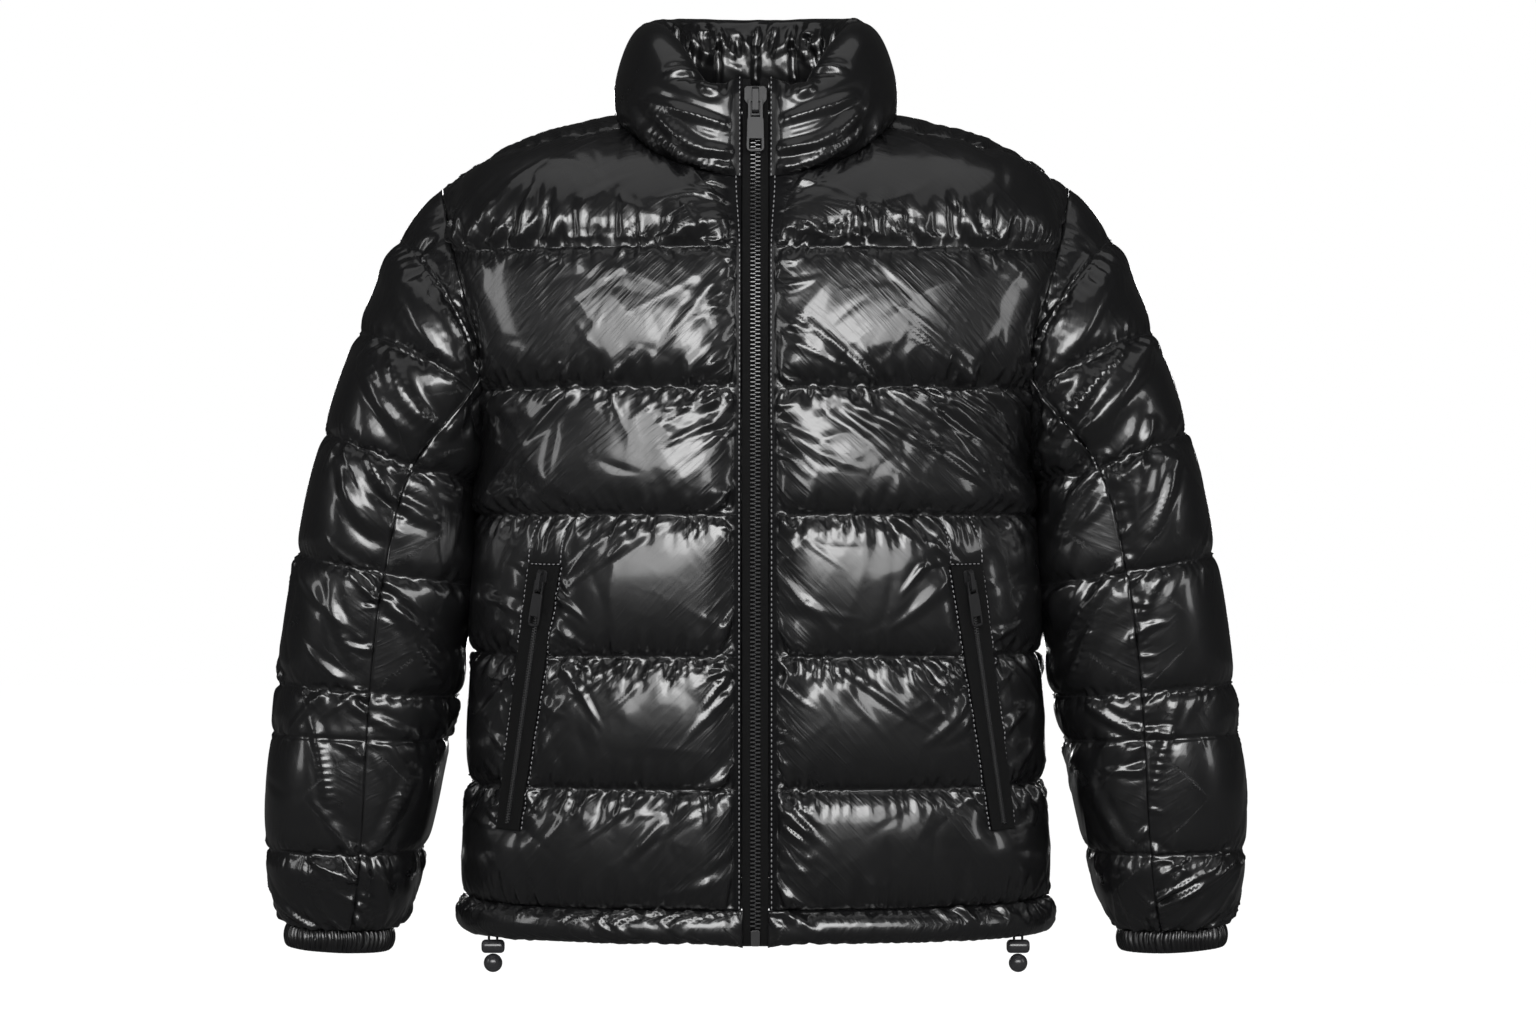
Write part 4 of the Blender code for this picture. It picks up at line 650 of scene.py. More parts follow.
def pocket_shares(z: float) -> Array:
    """Share of a front's width at each column, with three of them on the pocket's line.

    Args:
        z: Height of the row.

    Returns:
        The shares.
    """
    plain = np.array(FRONT_COLUMNS)
    shares = plain.copy()
    ease = np.clip((z - POCKET_LINE[0][0]) / POCKET_EASE, 0.0, 1.0)
    if ease >= 1.0:
        return plain
    outer, inner = read_straight(POCKET_LINE, np.clip(z, POCKET_LINE[-1][0], POCKET_LINE[0][0]))
    keys = np.linspace(0, 1, FINE_SHARES)
    fine = section(min(z, BELOW_ARMPIT), keys, True)
    widest = float(smooth(TORSO, z)[0, 0]) * 0.995
    for column, x in zip(POCKET_COLUMNS, (inner, (inner + outer) / 2, outer)):
        shares[column] = np.interp(min(x, widest), fine[:, 0], keys)
    for column, part in ((5, 0.80), (4, 0.56), (3, 0.33)):
        shares[column] = shares[6] * part
    shares[9] = shares[8] + (1 - shares[8]) * 0.60
    ease = ease * ease * (3 - 2 * ease)
    return shares * (1 - ease) + plain * ease


def body_grid(front: bool) -> Array:
    """Base points of a front or of half the back.

    Args:
        front: A front, or half the back.

    Returns:
        The points, rows from the hem up and columns from the first one.
    """
    back_shares = 1.0 - np.array(BACK_COLUMNS)
    shares = [pocket_shares(z) if front else back_shares for z in quilt_heights()]
    grid = np.array([section(z, share, front) for z, share in zip(quilt_heights(), shares)])
    below = section(QUILT_Z[-1] - 0.012, FRONT_COLUMNS if front else back_shares, front)
    if front:
        top = np.concatenate([NECK_SEAM.points[:6], SHOULDER_SEAM.points[1:]])
    else:
        top = np.concatenate([SHOULDER_SEAM.points[::-1], NECK_SEAM.points[6:]])
    runs = unit(FRONT_TOP_RUN if front else BACK_TOP_RUN)
    base = grid[-1]
    leave = unit(base - below)
    reach = np.linalg.norm(top - base, axis=1, keepdims=True)
    upper = np.array([
        hermite(base, leave * reach * 1.05, top, runs * reach * 1.02, t) for t, _ in TOP_ROWS
    ])
    arm = (ARM_FRONT if front else ARM_BACK).at(TOP_ARM)
    fix = arm.points - upper[:, -1 if front else 0]
    count = upper.shape[1]
    for c in range(count):
        near = (c if front else count - 1 - c) / (count - 1)
        upper[:, c] += fix * near ** 6
    upper[-1] = top
    if front:
        for row in upper:
            row[0, 1] = zip_y(row[0, 2])
            row[1, 1] = row[0, 1] * 0.75 + row[1, 1] * 0.25
    return np.concatenate([grid, upper])


def body_puff(grid: Array, front: bool) -> Array:
    """How far each point of a body piece may puff out, midway between two seams.

    Args:
        grid: Base points.
        front: A front, or half the back.

    Returns:
        One height for each point.
    """
    height = np.full(len(grid), BODY_PUFF)
    height[-len(TOP_ROWS):] = TOP_PUFF
    run = run_along(grid)
    side = run[:, -1:] - run if front else run
    across = puff_shape(side / np.where(grid[:, :, 2] > -0.25, 0.050, 0.085))
    if front:
        across = across * puff_shape((run - EDGE_FLAT) / 0.030)
    beside_arm = np.exp(-((grid[..., 2] + 0.255) / 0.055) ** 2)
    beside_arm *= np.clip((np.abs(grid[..., 0]) - 0.165) / 0.045, 0.0, 1.0)
    return height[:, None] * across * (1.0 - 0.85 * beside_arm)


def side_and_arm(panel: Panel, front: bool) -> None:
    """Sews the side seam and the armhole of a body panel.

    Args:
        panel: The panel to sew.
        front: A front, or half the back.
    """
    seam = ARM_FRONT if front else ARM_BACK
    column = -1 if front else 0
    keys = np.linspace(0, 1, len(seam.points))
    level = len(panel.grid) - len(TOP_ROWS)
    for r in range(len(panel.grid)):
        z = panel.grid[r, column, 2]
        panel.marks[r, column] += 1
        if r < level and z < ARMHOLE[-1][2] - 0.0005:
            panel.grid[r, column, 1] = 0.0
            panel.shift[r, column] += np.array((0.0, -1.0 if front else 1.0, 0.0)) * GAP / 2
            panel.inward[r, column] = (-1.0, 0.0, 0.0)
            continue
        share = float(np.interp(-z, -seam.points[:, 2], keys)) if r < level else TOP_ARM[r - level]
        here = seam.at(np.array([share]))
        panel.grid[r, column] = here.points[0]
        panel.shift[r, column] -= here.across[0] * GAP / 2
        panel.inward[r, column] = here.inward[0]


def body_panel(front: bool) -> Panel:
    """One half of a body piece, sewn, before it is mirrored or joined.

    Args:
        front: A front, or half the back.

    Returns:
        The sewn panel.
    """
    grid = body_grid(front)
    panel = Panel(grid, grid * np.array([0.0, 0.0, 1.0]))
    panel.puff = body_puff(grid, front)
    hem = panel.grid[0]
    inward = level_inward(hem, unit(np.gradient(hem, axis=0)))
    panel.sew((0, slice(None)), Seam(hem, inward, np.tile([0.0, 0.0, -1.0], (len(hem), 1))), -1)
    side_and_arm(panel, front)
    if front:
        panel.sew((-1, slice(0, 6)), NECK_SEAM.pick(slice(0, 6)), -1)
        panel.sew((-1, slice(5, 11)), SHOULDER_SEAM, -1)
        panel.inward[:, 0] = (0.0, 1.0, 0.0)
        panel.wall[:, 0:2] = ZIP_WALL
        panel.puff[:, 0:2] = 0.0
    else:
        panel.sew((-1, slice(0, 6)), SHOULDER_SEAM.pick(slice(None, None, -1)), 1)
        panel.sew((-1, slice(5, 11)), NECK_SEAM.pick(slice(5, None)), -1)
    return panel


def collar_section(
    foot: Array, into: Array, rim: Array, out: Array, bulge: float, thick: float
) -> list[Array]:
    """One section of the collar: up the outside, over the rim and down the inside.

    Args:
        foot: Where the outside meets the neck seam.
        into: The way into the wall at the foot.
        rim: The top of the outside.
        out: The way out of the neck.
        bulge: How far the outside stands out.
        thick: How thick the collar is.

    Returns:
        Points from the foot over the rim to the inside foot.
    """
    up = rim - foot
    outside = [foot + up * share + out * bulge * part for share, part in COLLAR_OUTSIDE]
    top = [rim - unit(up) * thick * below - out * thick * behind for below, behind in COLLAR_TOP]
    inside = [foot + up * share - out * thick * part for share, part in COLLAR_INSIDE]
    return [foot] + outside + top + inside + [foot + into * WALL]


def ring_ends(ring: Sequence[float]) -> tuple[Array, Array]:
    """The outermost and the innermost point of a sleeve ring."""
    return np.array([ring[0], 0.0, ring[1]]), np.array([ring[2], 0.0, ring[3]])


def ring_point(ring: Sequence[float], degrees: float) -> Array:
    """A point of a sleeve ring, at an angle from its outer side towards the front.

    Args:
        ring: A row of SLEEVE_RINGS.
        degrees: Angle from the outer side.

    Returns:
        The point.
    """
    outer, inner = ring_ends(ring)
    turn = math.radians(degrees)
    wide = math.copysign(abs(math.cos(turn)) ** RING_POWER, math.cos(turn))
    deep = math.copysign(abs(math.sin(turn)) ** RING_POWER, math.sin(turn))
    depth = ring[4] if deep > 0 else ring[5]
    return (outer + inner) / 2 + (outer - inner) / 2 * wide + np.array([0.0, -deep * depth, 0.0])


def arm_row_seam(outer_piece: bool) -> Seam:
    """The armhole seam along the first row of the outer or of the inner sleeve piece.

    Args:
        outer_piece: The outer or the inner piece.

    Returns:
        The seam.
    """
    split = ARMHOLE_SPLIT
    if outer_piece:
        parts = ARM_BACK.pick(slice(split, 0, -1)), ARM_FRONT.pick(slice(0, split + 1))
    else:
        parts = ARM_FRONT.pick(slice(split, None)), ARM_BACK.pick(slice(-2, split - 1, -1))
    return Seam(*(
        np.concatenate([getattr(part, name) for part in parts])
        for name in ("points", "inward", "across")
    ))


def outer_seam_rows() -> list[Array]:
    """The seam rows of the outer sleeve piece, from the armhole to the cuff.

    Returns:
        The points of each row, from the back sleeve seam to the front one.
    """
    shares = np.linspace(-1, 1, 2 * OUTER_HALF_COLUMNS + 1)
    rows = [arm_row_seam(True).points]
    for table in (SLEEVE_CAP_SEAM, SLEEVE_FIRST_SEAM):
        places = smooth(table, np.abs(shares))
        rows.append(np.array([
            (x, y_front if share > 0 else y_back, z)
            for share, (x, y_front, z, y_back) in zip(shares, places)
        ]))
    for ring in SLEEVE_RINGS:
        degrees = [share * (ring[6] if share > 0 else ring[7]) for share in shares]
        rows.append(np.array([ring_point(ring, d) for d in degrees]))
    return rows


def inner_seam_rows() -> list[Array]:
    """The seam rows of the inner sleeve piece, from the armhole to the cuff.

    Returns:
        The points of each row, from the front sleeve seam to the back one.
    """
    rings = []
    for ring in SLEEVE_RINGS:
        angles = np.linspace(ring[6], 360 - ring[7], INNER_COLUMNS + 1)
        rings.append(np.array([ring_point(ring, d) for d in angles]))
    armhole = arm_row_seam(False).points
    near = armhole * 0.72 + rings[0] * 0.28
    _, x, y_front, z, y_back = SLEEVE_FIRST_SEAM[-1]
    near[0], near[-1] = (x, y_front, z), (x, y_back, z)
    return [armhole, near] + rings


def sleeve_grid(
    seam_rows: list[Array], chamber_rows: Table, straight_first: int
) -> tuple[Array, list[tuple[int, float]]]:
    """Base points down a sleeve piece.

    Args:
        seam_rows: The seams that the grid passes through.
        chamber_rows: Shares of the rows in each chamber.
        straight_first: How many chambers have straight edges.

    Returns:
        The grid, and each row's chamber and share.
    """
    notes = [(chamber, share) for chamber, shares in enumerate(chamber_rows) for share in shares]
    last = len(chamber_rows) - 1
    columns = []
    for c in range(len(seam_rows[0])):
        points = np.asarray([row[c] for row in seam_rows])
        keys = chords(points)
        slopes = np.gradient(points, keys, axis=0)
        edge = c in (0, len(seam_rows[0]) - 1)
        column = []
        for chamber, share in notes:
            start, end = points[chamber], points[chamber + 1]
            if chamber == last or (edge and chamber < straight_first):
                column.append(start * (1 - share) + end * share)
                continue
            span = keys[chamber + 1] - keys[chamber]
            runs = slopes[chamber] * span, slopes[chamber + 1] * span
            column.append(hermite(start, runs[0], end, runs[1], share))
        columns.append(column + [points[-1]])
    return np.ascontiguousarray(np.swapaxes(columns, 0, 1)), notes + [(last, 1.0)]


def sleeve_axis(points: Array) -> Array:
    """The middle of the sleeve at the height of each point, to tell out from in.

    Args:
        points: The points.

    Returns:
        One place for each point.
    """
    places = smooth(SLEEVE_MIDDLE, points[..., 2].reshape(-1))
    axis = np.zeros_like(points)
    axis[..., 0] = places[:, 0].reshape(points.shape[:-1])
    axis[..., 2] = places[:, 1].reshape(points.shape[:-1])
    return axis


def cuff_frame() -> tuple[Array, Array, Array]:
    """Middle, way out and way down of the ring where the cuff is sewn on.

    Returns:
        The middle and the two ways.
    """
    outer, inner = ring_ends(SLEEVE_RINGS[-1])
    out = unit(outer - inner)
    down = np.array([out[2], 0.0, -out[0]])
    return (outer + inner) / 2, out, -down if down[2] > 0 else down


def straighten(seam: Seam, arm_inward: Array) -> Array:
    """Runs the directions evenly over the short rows between the armhole and the first seam.

    Args:
        seam: A sleeve seam.
        arm_inward: The way into the wall at the armhole.

    Returns:
        Share of the way along for each short row.
    """
    steps = np.linalg.norm(np.diff(seam.points[:SHORT_ROWS + 1], axis=0), axis=1)
    shares = np.concatenate([[0], np.cumsum(steps)]) / steps.sum()
    seam.inward[0] = unit(seam.inward[0] + arm_inward)
    for values in (seam.inward, seam.across, seam.points):
        for r in range(1, SHORT_ROWS):
            values[r] = values[0] * (1 - shares[r]) + values[SHORT_ROWS] * shares[r]
    return shares


def sleeve_puff(grid: Array, notes: list[tuple[int, float]], outer_piece: bool) -> Array:
    """How far each point of a sleeve piece may puff out.

    Args:
        grid: Base points.
        notes: Each row's chamber and share.
        outer_piece: The outer or the inner piece.

    Returns:
        One height for each point.
    """
    chambers = np.array([chamber for chamber, _ in notes])
    steps = np.linalg.norm(np.diff(grid, axis=0), axis=2)
    steps = np.concatenate([steps, steps[-1:] * 0])
    lengths = np.zeros(grid.shape[:2])
    for chamber in set(chambers):
        lengths[chambers == chamber] = steps[chambers == chamber].sum(axis=0)
    round_to = np.clip(np.abs(grid[..., 1]) / 0.078, 0.0, 1.0) ** 1.3
    height = SLEEVE_SIDE_PUFF + (SLEEVE_PUFF - SLEEVE_SIDE_PUFF) * round_to
    height = np.minimum(height, lengths * 0.12 + 0.0004)
    size = np.ones(grid.shape[:2])
    if not outer_piece:
        size[notes.index((1, 0.0)), :] = 0.0
        calm = np.clip((-grid[..., 2] - 0.36) / 0.10, 0.0, 1.0)
        inner_side = 1.0 - np.clip(round_to * 1.2, 0.0, 1.0)
        height *= 1.0 - 0.75 * inner_side * (1.0 - calm)
    run = run_along(grid)
    edges = np.minimum(run, run[:, -1:] - run)
    across = 0.55 + 0.45 * puff_shape(edges / 0.030)
    across[edges < 1e-9] = 0.35
    last = chambers == chambers[-1]
    across[last] = np.maximum(across[last], 0.8)
    puffs = SLEEVE_PUFFS if outer_piece else SLEEVE_PUFFS[1:]
    rise = np.array([puffs[chamber] for chamber in chambers])
    return rise[:, None] * height * across * size + np.where(last, SLEEVE_END_PUFF, 0.0)[:, None]


def sleeve_panel(
    grid: Array, notes: list[tuple[int, float]], seams: Sequence[Seam], outer: Panel | None
) -> Panel:
    """Puffs and sews one piece of the sleeve.

    Args:
        grid: Base points.
        notes: Each row's chamber and share.
        seams: The front and the back sleeve seam.
        outer: The outer piece's panel, when this is the inner one.

    Returns:
        The sewn panel.
    """
    panel = Panel(grid, sleeve_axis(grid))
    panel.puff = sleeve_puff(grid, notes, outer is None)
    columns = (0, -1) if outer else (-1, 0)
    for column, seam in zip(columns, seams):
        panel.sew((slice(None), column), seam, 1 if outer else -1)
        panel.normals[:, column] = -seam.inward
        if outer:
            panel.puff[1:, column] = outer.puff[SHORT_ROWS:, -1 - column]
            panel.puff[0, column] = outer.puff[0, -1 - column]
    panel.sew((0, slice(None)), arm_row_seam(outer is None), 1)
    for column, seam in zip(columns, seams):
        panel.inward[0, column] = seam.inward[0]
    middle, _, down = cuff_frame()
    ends = panel.grid[-1]
    panel.sew((-1, slice(None)), Seam(ends, unit(middle - ends), np.tile(down, (len(ends), 1))), -1)
    return panel


def sleeve_panels() -> tuple[Panel, Panel]:
    """The outer and the inner panel of the left sleeve, sewn along the same two seams.

    Returns:
        The outer and the inner one.
    """
    grid, notes = sleeve_grid(outer_seam_rows(), SLEEVE_ROWS, 2)
    edges = [grid[:, column].copy() for column in (-1, 0)]
    seams = [Seam.square(edge, sleeve_axis(edge) - edge, (-1, 0, 0)) for edge in edges]
    arms = ARM_FRONT, ARM_BACK
    shares = [straighten(seam, arm.inward[ARMHOLE_SPLIT]) for seam, arm in zip(seams, arms)][0]
    outer = sleeve_panel(grid, notes, seams, None)
    arm = arm_row_seam(True)
    for r in range(1, SHORT_ROWS):
        for column in (-1, 0):
            outer.shift[r, column] += arm.across[column] * (GAP / 2) * (1 - shares[r])
    keep = [0] + list(range(SHORT_ROWS, len(grid)))
    seams = [seam.pick(keep) for seam in seams]
    grid, notes = sleeve_grid(inner_seam_rows(), ((0.0,),) + SLEEVE_ROWS[2:], 1)
    share = np.linspace(0, 1, grid.shape[1])[None, :, None]
    to_front, to_back = ((seam.points - grid[:, c])[:, None] for seam, c in zip(seams, (0, -1)))
    grid = grid + to_front * (1 - share) ** 3 + to_back * share ** 3
    return outer, sleeve_panel(grid, notes, seams, outer)


def doubled(half: Panel) -> Panel:
    """A panel and its mirror image, joined at the last column on x = 0.

    Args:
        half: The panel of one half.

    Returns:
        The panel of both.
    """
    names = ("grid", "shift", "inward", "normals")
    for name in names:
        getattr(half, name)[:, -1, 0] = 0.0
    both = {
        name: np.concatenate([getattr(half, name), mirrored(getattr(half, name))[:, -2::-1]], axis=1)
        for name in names
    }
    whole = Panel(both["grid"], half.grid.mean((0, 1)))
    whole.shift, whole.inward, whole.normals = (both[name] for name in names[1:])
    whole.wall, whole.puff = (
        np.concatenate([values, values[:, -2::-1]], axis=1) for values in (half.wall, half.puff)
    )
    return whole


def tube_panel(half: Array) -> Panel:
    """A padded band as a panel whose rows go round its section.

    Args:
        half: Sections of one half of the band, from the zip to the middle of the back.

    Returns:
        The panel of the whole band.
    """
    half[-1, :, 0] = 0.0
    grid = np.swapaxes(np.concatenate([half, mirrored(half)[-2::-1]]), 0, 1)
    middle = grid.mean(axis=0, keepdims=True)
    panel = Panel(grid, np.repeat(middle, len(grid), axis=0))
    outward = np.sum(panel.normals * (grid - middle), axis=-1).mean(axis=0)
    panel.normals *= np.sign(outward)[None, :, None]
    return panel


def collar_panel() -> Panel:
    """The collar as a grid: rows go round its section and columns run from zip to zip.

    Returns:
        The sewn panel.
    """
    shares = np.linspace(0, 1, COLLAR_STEPS)
    neck = NECK_SEAM.at(shares)
    rims = smooth([(i / 10.0,) + tuple(row) for i, row in enumerate(COLLAR_RIM)], shares)
    sections = []
    for i, (*rim, bulge) in enumerate(rims):
        foot = neck.points[i] + neck.across[i] * GAP / 2
        out = unit(np.array([foot[0], foot[1] + 0.015, 0.0]))
        thick = RIM_THICK
        if i == 0:
            out, thick = np.array([0.0, -1.0, 0.0]), ZIP_RIM_THICK
        if i == 1:
            thick, bulge = NEXT_RIM_THICK, NEXT_RIM_BULGE
        sections.append(collar_section(foot, neck.inward[i], np.array(rim), out, bulge, thick))
    half = np.array(sections)
    half[0, :, 0] = ZIP_HALF
    return tube_panel(half)


def hem_panel(front: Panel, back: Panel) -> Panel:
    """The hem band as a grid: rows go round its section and columns run from zip to zip.

    Args:
        front: A front's panel.
        back: Half the back's panel.

    Returns:
        The band's panel.
    """
    line = np.concatenate([front.grid[0], back.grid[0][1:]])
    run = np.gradient(line, axis=0)
    run[0], run[10], run[-1] = (1.0, 0.0, 0.0), (0.0, 1.0, 0.0), (-1.0, 0.0, 0.0)
    sections = []
    for i, (point, way) in enumerate(zip(line, level_inward(line, unit(run)))):
        tame = min(1.0, 0.25 + i * 0.30) if i < 3 else 1.0
        loop = []
        for share, out in HEM_OUTSIDE + HEM_INSIDE:
            offset = out * tame if out > -WALL else -WALL + (out + WALL) * tame
            place = point + way * ZIP_WALL if i == 0 and out < 0 else point - way * offset
            loop.append((place[0], place[1], HEM_Z - GAP / 2 + (HEM_BOTTOM - HEM_Z) * share))
        sections.append(loop)
    half = np.array(sections)
    half[0, :, 0] = ZIP_HALF - 0.0012
    return tube_panel(half)


# ---------------------------------------------------------------- cloth

PASSES = 3                 # times over every thread in a step
SLOWING = 0.90             # share of its speed that cloth keeps from one step to the next
JITTER = 0.00012           # unevenness of the cloth before the air comes in


@dataclass
class Blow:
    """How a cloth is blown up.

    Attributes:
        gather: How much longer than its seam the cloth is.
        reach: How far from a seam that shows.
        loose: How much longer the cloth is everywhere.
        push: How far the air moves it in a step.
        coarse_steps: Steps on every other point.
        fine_steps: Steps on all points.
        seed: Picks where it is uneven.
    """

    gather: float = 0.085
    reach: float = 0.020
    loose: float = 0.018
    push: float = 0.000009
    coarse_steps: int = 90 if FINE else 60
    fine_steps: int = 70 if FINE else 30
    seed: int = 1


@dataclass
class Creases:
    """Sharp folds that start at a seam and run out as they leave it.

    Attributes:
        dense: How many there are on a metre of seam.
        high: How high they stand.
        width: Their half width at the seam.
        long: How far they reach from the seam.
        lean: How far they go along the seam for each step away from it.
        spread: How unlike their leans are.
        seed: Picks their places.
    """

    dense: float
    high: float
    width: float
    long: float
    lean: float
    spread: float
    seed: int

    def offsets(self, run: Array, away: Array) -> Array:
        """How far out the folds stand.

        Args:
            run: Distance of each point along the seam.
            away: Distance of each point from the seam.

        Returns:
            One distance for each point.
        """
        rng = np.random.default_rng(self.seed)
        length = float(run.max())
        total = np.zeros(run.shape)
        middles = rng.uniform(-0.02, length + 0.02, max(1, int(length / 0.032)))
        for _ in range(int(self.dense * length)):
            start = rng.choice(middles) + rng.normal(0.0, 0.008)
            size = float(np.clip(rng.lognormal(0.0, 0.45), 0.40, 1.9))
            lean = self.lean + self.spread * rng.normal()
            bend = rng.uniform(-0.5, 0.5)
            share = away / (self.long * size)
            width = self.width * size ** 0.5 * (1.15 - 0.85 * share)
            line = start + lean * away + bend * away * share
            gap = np.abs(run - line) / math.hypot(1.0, lean) / np.maximum(width, 0.0008)
            rise = np.clip(share / 0.10, 0.0, 1.0) * np.clip(1.0 - share, 0.0, 1.0) ** 0.7
            ridge = np.exp(-gap ** 1.5) - 0.30 * np.exp(-((gap - 2.0) / 0.9) ** 2)
            total += self.high * size ** 0.5 * rng.uniform(0.35, 1.1) * rise * ridge
        return total


class Weave:
    """Threads along and across a grid of cloth that keep their lengths as air pushes it out."""

    def __init__(self, start: Array, extra: Array, held: Array, out: Array) -> None:
        """Measures the threads.

        Args:
            start: The cloth as it was cut, in place.
            extra: How much longer than that the threads along the rows are, at each point.
            held: Which points are sewn down.
            out: The way out at each point.
        """
        start, extra, self.out = (values.astype(np.float32) for values in (start, extra, out))
        self.points = start.copy()
        self.free = (~held).astype(np.float32)
        # the first ends, the second ends, the length and how far to go there, in sets that share no point
        self.threads: list[tuple[tuple, tuple, Array, float]] = []
        for reach, firm in ((1, 1.0), (3, 0.06)):
            for axis, part in ((1, 1.0), (0, 0.25)):
                self.add_straight(start, extra, axis, reach, part, firm)
        low, high = slice(None, -1), slice(1, None)
        mean = (extra[1:, 1:] + extra[:-1, :-1]) / 2
        for first, second in ((low, high), (high, low)):
            length = np.linalg.norm(start[high, second] - start[low, first], axis=-1) * (1 + 0.55 * mean)
            for odd in (0, 1):
                ends = (slice(odd, -1, 2), first), (slice(1 + odd, None, 2), second)
                self.threads.append((*ends, length[odd::2], 0.22))

    def add_straight(
        self, start: Array, extra: Array, axis: int, reach: int, part: float, firm: float
    ) -> None:
        """Adds the threads along an axis.

        Args:
            start: The cloth as it was cut.
            extra: How much longer the threads are, at each point.
            axis: 1 along the rows, 0 down the columns.
            reach: How many cells a thread spans.
            part: How much of the extra length it gets.
            firm: How far a step brings it to its length.
        """
        def cut(low: int | None, high: int | None, step: int | None = None) -> tuple[slice, slice]:
            """Rows or columns from low to high."""
            some = slice(low, high, step)
            return (slice(None), some) if axis == 1 else (some, slice(None))

        mean = (extra[cut(1, None)] + extra[cut(None, -1)]) / 2
        count = mean.shape[axis] - reach + 1
        grow = sum(mean[cut(i, count + i)] for i in range(reach)) / reach
        length = np.linalg.norm(start[cut(reach, None)] - start[cut(None, -reach)], axis=-1)
        length = length * (1 + part * grow)
        for first in range(2 * reach):
            ends = cut(first, count, 2 * reach), cut(first + reach, None, 2 * reach)
            self.threads.append((*ends, length[ends[0]], firm))

    def tighten(self) -> None:
        """Brings every thread nearer to its length, once."""
        for near, far, length, firm in self.threads:
            first, second = self.points[near], self.points[far]
            free_first, free_second = self.free[near], self.free[far]
            step = second - first
            size = np.sqrt(np.einsum("ijk,ijk->ij", step, step)) + 1e-9
            both = free_first + free_second
            share = firm * (1.0 - length / size) / np.where(both > 0, both, 1.0)
            first += step * (share * free_first)[..., None]
            second -= step * (share * free_second)[..., None]

    def settle(self, steps: int, push: float) -> None:
        """Lets the air push the cloth out and the threads hold it.

        Args:
            steps: How many steps.
            push: How far the air moves a point in a step.
        """
        speed = np.zeros_like(self.points)
        for step in range(steps):
            if step % 5 == 0:
                normals = surface_normals(self.points).astype(np.float32)
                flip = np.sign(np.sum(normals * self.out, axis=-1, keepdims=True))
                normals = normals * np.where(flip == 0, 1, flip)
            before = self.points.copy()
            self.points += (speed * SLOWING + normals * push) * self.free[..., None]
            for _ in range(PASSES):
                self.tighten()
            speed = self.points - before


